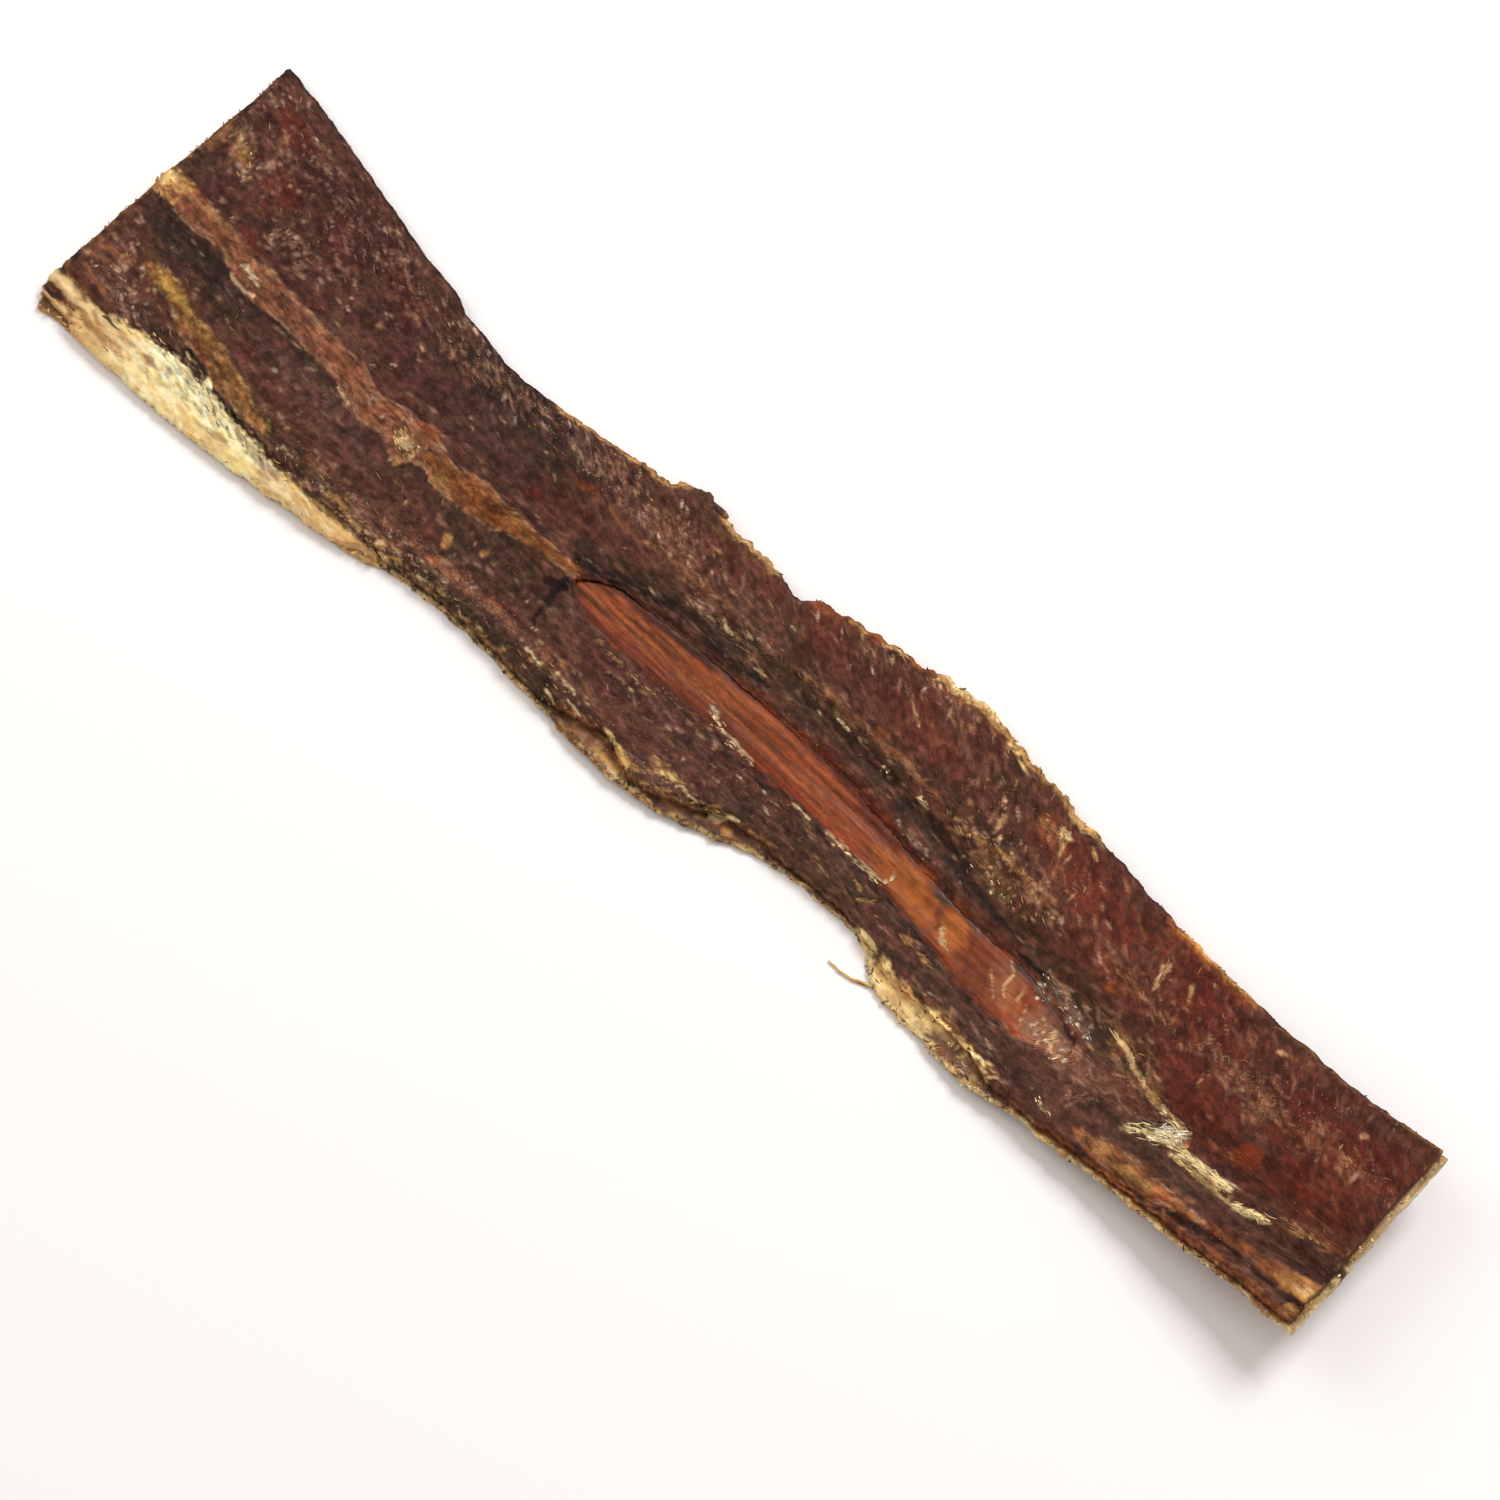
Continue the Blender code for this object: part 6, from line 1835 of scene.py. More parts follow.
@dataclass
class Meat:
    """Dark meat on top, parted by the opening."""

    strokes: Strokes
    columns: int = 745
    lower_rows: int = 40
    upper_rows: int = 74
    under_rows: tuple[int, int] = (4, 5)

    def height(self, x: Array, y: Array) -> Array:
        """Upper skin of the meat with its fibres, rounded down at every border.

        Args:
            x: Places along the flat strip.
            y: Places across the flat strip.

        Returns:
            Heights over the underside of the strip.
        """
        low, high = STRIP.opening(x)
        bottom, top = STRIP.muscle_lower_edge(x), STRIP.upper_edge(x)
        is_open = high - low > STRIP.gap
        below = y <= 0.5 * (low + high)
        to_opening = np.where(below, low - y, y - high)
        reach = np.minimum(y - bottom, top - y)
        reach = np.where(is_open, np.minimum(reach, to_opening), reach)
        side = np.where(y < 0.5 * (low + high), 1.0, smooth(-27.0, -10.0, x))
        thin = np.where(is_open, side * smooth(2.8, 0.0, to_opening), 0.0)
        by_fat = smooth(2.6, 0.0, y - bottom) * smooth(STRIP.fat_end, STRIP.fat_end - 8.0, x)
        rounding = 0.6 * smooth(1.1, 0.0, reach) + 0.45 * thin + 0.3 * by_fat
        from_line = y - line_at(STRIP.upper_line, x)
        curl = 0.9 * bell(x - STRIP.curl_x, 6.2) * smooth(-5.2, 0.0, from_line)
        fibre = Flow.grain((0.22, 2.6, 12.5), 3.0, x, y) * (1.0 - 0.5 * smooth(40.0, 90.0, x))
        fibre += grain((0.35, 17.0, 13.5), x, y)
        thick = STRIP.muscle_thick + STRIP.relief(x, y) + fibre + curl - rounding + self.fibre_relief(x, y)
        return STRIP.layer_under(x, y) + np.maximum(thick, STRIP.muscle_least)

    def fibre_relief(self, x: Array, y: Array) -> Array:
        """Fine relief of the fibres.

        Args:
            x: Places along the flat strip.
            y: Places across the flat strip.

        Returns:
            Heights over the plain skin.
        """
        calm = 1.0 - 0.6 * smooth(30.0, 80.0, x)
        relief = calm * Flow.grain((0.10, 1.1, 71.5), 3.5, x, y) + grain((0.08, 1.5, 73.5), x, y)
        return relief + grain((0.04, 0.7, 74.5), 0.6 * x, y)

    def toned(self, seen_x: Array, seen_y: Array, colours: Array) -> Array:
        """Paint of the bare meat with its coats, bands, soft strokes and shades.

        Args:
            seen_x: Places along the strip, as seen.
            seen_y: Places across the strip, as seen.
            colours: Colours under the coats, one row a place.

        Returns:
            Colours, one row a place.
        """
        colours = painted(MEAT_COATS[:5], colours, seen_x, seen_y)
        for band in MEAT_BANDS:
            colours = band.lay(colours, seen_x, seen_y)
        colours = painted(MEAT_COATS[5:-7], colours, seen_x, seen_y)
        colours = smeared(colours, seen_x, seen_y, self.strokes.meat)
        colours = painted(MEAT_COATS[-7:], colours, seen_x, seen_y)
        shades = ((0.86, 1.0, 1.0, 0.9), (0.78, 0.92, 0.75, 0.66), (0.84, 0.87, 0.66, 0.58))
        shades = shades_along((-60.0, 0.0, 70.0, 152.0), shades, seen_x)
        shades = mixed(np.array((0.96, 0.86, 0.84)), shades, smooth(-15.0, -7.0, seen_y))
        return tinted(colours * shades, seen_x, seen_y)

    def colours(self, x: Array, y: Array, seen_x: Array, seen_y: Array) -> tuple[Array, Array]:
        """Paint of the meat.

        Args:
            x: Places along the flat strip.
            y: Places across the flat strip.
            seen_x: The same places as the camera sees them.
            seen_y: The same places across, as the camera sees them.

        Returns:
            Colours, one row a place, and how many flecks show there.
        """
        patchy = grain((1.0, 6.0, 61.5), x, y) + grain((0.8, 2.2, 63.5), 0.5 * x, y)
        colours = mixed(Tone.MAROON.paint, Tone.BROWN.paint, smooth(-0.4, 0.4, patchy))
        colours = self.toned(seen_x, seen_y, colours)
        by_opening = (seen_x > -36.0) & (seen_x < 102.0) & (seen_y > -19.0) & (seen_y < 3.0)
        by_fat = (seen_x < -58.0) & (seen_y < -21.0)
        others = ((by_opening, opening_paint, opening_cover), (by_fat, fat_paint, fat_cover))
        for near, paint, cover in others:
            places = (seen_x[near], seen_y[near])
            colours[near] = mixed(colours[near], paint(*places), cover(*places))
        colours = smeared(colours, seen_x, seen_y, self.strokes.bundles)
        broken = smooth(-0.4, 0.4, grain((1.0, 2.4, 171.5), x, y)) * smooth(-60.0, -54.0, x)
        wall = 0.55 * broken * smooth(0.6, 0.1, y - STRIP.muscle_lower_edge(x))
        tone = mixed(0.8 * Tone.TAN.paint, 0.9 * Tone.AMBER.paint, smooth(84.0, 96.0, x))
        colours = mixed(smeared(colours, x, y, self.strokes.rims), tone, wall)
        colours = edge_marked(colours, seen_x, seen_y)
        ragged = grain((0.8, 1.3, 145.5), x, y) + grain((0.5, 0.5, 147.5), x, y)
        from_edge = STRIP.upper_edge(x) - y
        for start, end, depth, cover, tint in EDGE_TINTS:
            near = smooth(start - 1.5, start + 1.5, x) * smooth(end + 1.5, end - 1.5, x)
            cover = cover * near * smooth(depth, 0.25 * depth, from_edge + 0.6 * depth * ragged)
            colours = mixed(colours, tint.paint, cover)
        mottle = (0.6 - 0.35 * smooth(30.0, 80.0, x)) * Flow.grain((1.0, 0.8, 75.5), 4.0, x, y)
        mottle += grain((0.9, 2.2, 77.5), 0.7 * x, y)
        # Painted light and shade of the fibre relief: the paint is lighter where the relief rises and darker
        # where it sinks, times a random mottle.
        light = np.clip(1.0 + 1.5 * self.fibre_relief(x, y) + 0.42 * mottle, 0.35, 1.9)
        flecks = FLECK_PATCHES.cover(seen_x, seen_y, grain((0.5, 4.0, 79.5), x, y))
        return colours * light[:, None], np.clip(flecks, 0.0, 1.0)

    def build(self, finish: Finish) -> bpy.types.Object:
        """Build, paint and place the meat.

        Args:
            finish: Finish of the piece.

        Returns:
            The piece in its place.
        """
        places = np.linspace(STRIP.wide_end, STRIP.narrow_end, self.columns)
        low, high = STRIP.opening(places)
        bottom, top = STRIP.muscle_lower_edge(places), STRIP.upper_edge(places)
        rows, under = (
            np.hstack((spread(bottom, low, shares(below)), spread(high, top, shares(above))))
            for below, above in ((self.lower_rows, self.upper_rows), self.under_rows)
        )
        parted = (self.lower_rows, self.under_rows[0])
        piece = Layer("meat", places, rows, under, self.height, STRIP.layer_under, parted).build()
        x, y, z = corners_of(piece).T
        bent = STRIP.bend(x, y, z)
        colours, flecks = self.colours(x, y, *STRIP.seen(bent))
        paint_mesh(piece, colours, Flow.weights(x, y), flecks)
        set_corners(piece, STRIP.place(bent))
        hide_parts("muscle")
        finish_piece(piece, finish)
        return piece


@dataclass
class Lining:
    """Inner skin under the other layers, bare in the opening and at the rims."""

    strokes: Strokes
    columns: int = 620
    opening_rows: int = 32
    under_lines: int = 56
    bulge: float = 1.0
    tuck: float = 0.35

    def tucked(self, x: Array) -> tuple[Array, Array]:
        """Borders of the cushion, tucked under the meat where its border is soft.

        Args:
            x: Places along the flat strip.

        Returns:
            Places across the strip, first those of the lower border.
        """
        low, high = STRIP.opening(x)
        is_open = smooth(0.4, 2.0, high - low)
        return low - self.tuck * is_open, high + self.tuck * is_open * smooth(-27.0, -17.0, x)

    def opening_height(self, x: Array, y: Array) -> Array:
        """Cushion of the lining inside the opening, with its lengthwise folds.

        Args:
            x: Places along the flat strip.
            y: Places across the flat strip.

        Returns:
            Heights over the plain skin.
        """
        low, high = self.tucked(x)
        half = np.maximum(0.5 * (high - low) - 0.05, 1e-6)
        share = (y - 0.5 * (low + high)) / half
        flush = np.where(share < 0.0, 1.0, smooth(-27.0, -17.0, x))
        dome = np.clip(1.0 - np.abs(share) ** (5.0 + 22.0 * flush), 0.0, 1.0) ** 0.5 * smooth(0.1, 0.8, half)
        calm = 1.0 - 0.6 * smooth(40.0, 52.0, x)
        folds = 0.3 * grain((1.0, 1.9, 81.5), 0.06 * x, y + 0.05 * x)
        folds += 0.12 * grain((1.0, 0.8, 82.5), 0.07 * x, y)
        across = smooth(66.0, 74.0, x) * 0.10 * grain((1.0, 1.1, 83.5), x + 0.5 * y, 0.2 * y)
        height = self.bulge + calm * folds + across + 0.05 * grain((1.0, 0.7, 85.5), 0.16 * x, y)
        return np.where(np.abs(share) < 1.0, height * dome, 0.0)

    def rim_height(self, x: Array, y: Array) -> Array:
        """Lumps of the rims that the meat leaves bare."""
        return grain((0.32, 1.5, 87.5), x, y) + grain((0.2, 0.7, 89.5), x, y)

    def height(self, x: Array, y: Array) -> Array:
        """Upper skin of the lining.

        Args:
            x: Places along the flat strip.
            y: Places across the flat strip.

        Returns:
            Heights over the underside of the strip.
        """
        bare = smooth(0.0, -0.5, y - STRIP.muscle_lower_edge(x)) * smooth(-60.0, -54.0, x)
        inside = smooth(0.0, 0.5, np.minimum(y - STRIP.lower_edge(x), STRIP.upper_edge(x) - y))
        back = STRIP.lining_back(x, y) * (0.7 + 0.3 * inside)
        return back + self.opening_height(x, y) + bare * np.maximum(self.rim_height(x, y) + 0.12, -0.3)

    def under(self, x: Array, y: Array) -> Array:
        """Underside: creased near the long borders and finely wrinkled all over.

        Args:
            x: Places along the flat strip.
            y: Places across the flat strip.

        Returns:
            Heights over the underside of the strip.
        """
        inside = np.minimum(y - STRIP.lower_edge(x), STRIP.upper_edge(x) - y)
        crease = np.maximum(0.12 + grain((0.42, 11.0, 5.5), x, 2.0 * y), 0.0) * smooth(9.0, 3.0, inside)
        wrinkle = np.maximum(grain((0.34, 2.4, 91.5), 0.5 * x, y) + grain((0.16, 0.9, 93.5), x, y), 0.0)
        return np.minimum(crease + wrinkle, 0.45)

    def rim_paint(self, x: Array, y: Array, seen_x: Array, seen_y: Array) -> Array:
        """Paint of the rims that the meat leaves bare.

        Args:
            x: Places along the flat strip.
            y: Places across the flat strip.
            seen_x: The same places as the camera sees them.
            seen_y: The same places across, as the camera sees them.

        Returns:
            Colours, one row a place.
        """
        patchy = grain((1.0, 2.0, 95.5), 0.6 * x, y) + grain((0.8, 0.7, 97.5), 0.6 * x, y)
        rim = mixed(Tone.GOLD.paint, Tone.HONEY.paint, smooth(-0.4, 0.5, patchy))
        rim = painted(LINING_COATS, rim, seen_x, seen_y)
        from_border = np.minimum(y - STRIP.lower_edge(x), STRIP.narrow_end + STRIP.narrow_rim - x)
        at_end = smooth(STRIP.narrow_end - 0.2, STRIP.narrow_end + 0.2, x)
        frayed = smooth(50.0, 56.0, x) * smooth(76.0, 70.0, x)
        frayed += 0.7 * smooth(-24.0, -14.0, x) * smooth(4.0, -2.0, x)
        stain = smooth(0.3, 0.8, from_border + 0.55 * patchy) * (1.0 - 0.75 * frayed)
        stain += frayed * 0.7 * smooth(0.3, 0.6, -patchy)
        stain = np.clip(stain, 0.0, 1.0) * smooth(0.0, 0.3, from_border) * (1.0 - 0.8 * at_end)
        tone = mixed(Tone.BROWN.paint, Tone.AMBER.paint, smooth(84.0, 96.0, x))
        rim = mixed(rim, tone, 0.9 * stain)
        pale = 0.8 * at_end + 0.75 * smooth(50.0, 58.0, x) * smooth(76.0, 70.0, x)
        rim = mixed(rim, Tone.CREAM.paint, smooth(-0.5, 0.4, patchy) * np.clip(pale, 0.0, 1.0))
        return edge_marked(smeared(rim, x, y, self.strokes.rims), seen_x, seen_y)

    def colours(self, x: Array, y: Array, z: Array, seen_x: Array, seen_y: Array) -> Array:
        """Paint of the lining: opening, rims and underside.

        Args:
            x: Places along the flat strip.
            y: Places across the flat strip.
            z: Heights above its underside.
            seen_x: The same places as the camera sees them.
            seen_y: The same places across, as the camera sees them.

        Returns:
            Colours, one row a place.
        """
        low, high = STRIP.opening(x)
        rim = self.rim_paint(x, y, seen_x, seen_y)
        inner = np.tile(0.9 * Tone.BROWN.paint, (len(x), 1))
        inside = (y > low - 1.2) & (y < high + 1.2)
        places = (seen_x[inside], seen_y[inside])
        shown = smeared(inner[inside], *places, self.strokes.meat)
        shown = mixed(shown, opening_paint(*places), opening_cover(*places))
        inner[inside] = smeared(shown, *places, self.strokes.bundles)
        within = smooth(-1.0, -0.7, y - low) * smooth(1.0, 0.7, y - high)
        within *= smooth(STRIP.opening_start - 1.0, STRIP.opening_start, x)
        below = painted(UNDER_COATS, 0.8 * rim, x, y)
        return mixed(below, mixed(rim, inner, within), smooth(0.35, 0.75, z / STRIP.lining_thick))

    def build(self, finish: Finish) -> bpy.types.Object:
        """Build, paint and place the lining.

        Args:
            finish: Finish of the piece.

        Returns:
            The piece in its place.
        """
        start, end = STRIP.wide_end - STRIP.wide_rim, STRIP.narrow_end + STRIP.narrow_rim
        places = np.linspace(start, end, self.columns)
        low, high = self.tucked(places)
        closed = (places < STRIP.opening_start) | (places > STRIP.opening_end)
        low = np.where(closed, line_at(STRIP.opening_lower, places), low)
        high = np.where(closed, line_at(STRIP.opening_upper, places), high)
        bottom, top = STRIP.lower_edge(places), STRIP.upper_edge(places) - STRIP.gap
        side = np.array((0.0, 0.012, 0.03, 0.06, 0.1, 0.15, 0.22, 0.32, 0.6, 1.0))
        rows = [spread(bottom, low, side), spread(low, high, shares(self.opening_rows))[:, 1:]]
        rows.append(spread(high, top, 1.0 - side[::-1])[:, 1:])
        under = spread(bottom, top, shares(self.under_lines, 0.2))
        piece = Layer("inner_lining", places, np.hstack(rows), under, self.height, self.under).build()
        x, y, z = corners_of(piece).T
        bent = STRIP.bend(x, y, z)
        paint_mesh(piece, self.colours(x, y, z, *STRIP.seen(bent)))
        set_corners(piece, STRIP.place(bent))
        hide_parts("lining")
        finish_piece(piece, finish)
        return piece


@dataclass
class Fat:
    """Pale lumpy seam along the wide half of the lower side."""

    columns: int = 420
    rows: int = 34
    under_rows: int = 4
    pocket_depth: float = 1.5
    pocket_width: float = 0.9
    tuck: float = 0.7

    def upper(self, x: Array) -> Array:
        """Inner border of the fat, drawn over the edge of the meat but for the tail."""
        return STRIP.fat_upper(x) + self.tuck * smooth(STRIP.fat_end - 1.0, STRIP.fat_end - 8.0, x)

    def height(self, x: Array, y: Array) -> Array:
        """Lumpy upper skin of the fat, sunken where the corner is torn open.

        Args:
            x: Places along the flat strip.
            y: Places across the flat strip.

        Returns:
            Heights over the underside of the strip.
        """
        low, high = STRIP.fat_lower(x), self.upper(x)
        share = np.clip(2.0 * (y - low) / (high - low) - 1.0, -1.0, 1.0)
        crown = np.sqrt(1.0 - np.abs(share) ** np.where(share > 0.0, 9.0, 2.0))
        lumps = grain((0.75, 4.6, 15.5), x, y) + grain((0.5, 11.0, 16.5), x, y)
        lumps += grain((0.3, 1.6, 103.5), 0.5 * x, y) + grain((0.10, 0.7, 105.5), 0.5 * x, y)
        gap, _ = line_gap(STRIP.pocket, x, y)
        pocket = self.pocket_depth * bell(gap, self.pocket_width)
        thick = STRIP.fat_least + (STRIP.fat_thick - STRIP.fat_least + lumps) * crown - pocket
        return STRIP.layer_under(x, y) + np.maximum(thick, STRIP.fat_least)

    def build(self, finish: Finish) -> bpy.types.Object:
        """Build, paint and place the fat.

        Args:
            finish: Finish of the piece.

        Returns:
            The piece in its place.
        """
        places = np.linspace(STRIP.wide_end, STRIP.fat_end, self.columns)
        low, high = STRIP.fat_lower(places), self.upper(places)
        rows, under = (spread(low, high, shares(count)) for count in (self.rows, self.under_rows))
        piece = Layer("fat_seam", places, rows, under, self.height, STRIP.layer_under).build()
        x, y, z = corners_of(piece).T
        bent = STRIP.bend(x, y, z)
        seen = STRIP.seen(bent)
        paint_mesh(piece, mixed(Tone.MOSS.paint, fat_paint(*seen), fat_cover(*seen)))
        set_corners(piece, STRIP.place(bent))
        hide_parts("fat")
        finish_piece(piece, finish)
        return piece


@dataclass
class Skins:
    """The three layers, for pieces that lie on whichever is on top."""

    meat: Meat
    lining: Lining
    fat: Fat

    def height(self, x: Array, y: Array) -> Array:
        """Highest skin at each place of the flat strip.

        Args:
            x: Places along the flat strip.
            y: Places across the flat strip.

        Returns:
            Heights over the underside of the strip.
        """
        height = np.empty(np.shape(x))
        low, high = STRIP.opening(x)
        edge = STRIP.muscle_lower_edge(x)
        bare = (y > low) & (y < high) & (high - low > 0.8)
        fatty = (y < edge) & (x < STRIP.fat_end)
        rim = (y < edge) & ~fatty
        meaty = ~(bare | fatty | rim)
        height[meaty] = self.meat.height(x[meaty], y[meaty])
        height[bare] = self.lining.height(x[bare], y[bare])
        height[rim] = self.lining.height(x[rim], y[rim])
        on_fat = np.clip(y[fatty], STRIP.fat_lower(x[fatty]), STRIP.fat_upper(x[fatty]))
        height[fatty] = self.fat.height(x[fatty], on_fat)
        return height


@dataclass
class MeatFibres:
    """Loose fibres lying on the meat, along its grain."""

    skins: Skins
    count: int = 1300
    seed: int = 7

    def build(self, finish: Finish) -> bpy.types.Object:
        """Scatter the fibres, colour them after the meat under them and place them.

        Args:
            finish: Finish of the piece.

        Returns:
            The piece in its place.
        """
        draw = np.random.default_rng(self.seed)
        x = draw.uniform(STRIP.wide_end + 1.5, STRIP.narrow_end - 1.5, 3 * self.count)
        low, high = STRIP.muscle_lower_edge(x) + 0.8, STRIP.upper_edge(x) - 0.8
        y = low + (high - low) * draw.random(x.size)
        cut_low, cut_high = STRIP.opening(x)
        flecks = FLECK_PATCHES.cover(x, y, np.zeros(x.size))
        keep = (y < cut_low - 0.5) | (y > cut_high + 0.5) | (cut_high - cut_low < 0.3)
        keep &= draw.random(x.size) < (high - low) / 62.0 * (0.35 + 0.65 * flecks)
        keep &= (STRIP.upper_edge(x) - y > 1.6) & (y - STRIP.muscle_lower_edge(x) > 1.4)
        x, y = x[keep][: self.count], y[keep][: self.count]
        count = x.size
        turn = np.radians(Flow.degrees(x, y) + draw.normal(0.0, 22.0, count))
        length = draw.uniform(0.7, 2.6, count) * draw.uniform(0.6, 1.3, count)
        half = draw.uniform(0.06, 0.2, count)
        bent = STRIP.bend(x, y, self.skins.meat.height(x, y))
        colours, flecks = self.skins.meat.colours(x, y, *STRIP.seen(bent))
        pale = draw.random(count) < 0.08 + 0.30 * flecks
        tones = tuple(tone.value for tone in (Tone.PINK, Tone.TAN, Tone.GOLD, Tone.SMOKE))
        tones = varied(draw, picked(draw, tones, count), 0.6, 1.25, count)
        shade = draw.uniform(0.65, 1.45, count)[:, None]
        colours = np.where(pale[:, None], 0.3 * colours + 0.7 * tones, colours * shade)
        rods = Rods("meat_fibres", 2).build(
            x, y, turn, length, half, draw.uniform(0.05, 0.13, count), self.skins.meat.height, colours,
            lift=draw.uniform(-0.05, 0.10, count), bow=draw.normal(0.0, 0.07, count),
        )
        finish_piece(rods, finish, 75.0)
        return rods


Bundle = tuple[Tone, int, float, float, float, Line]

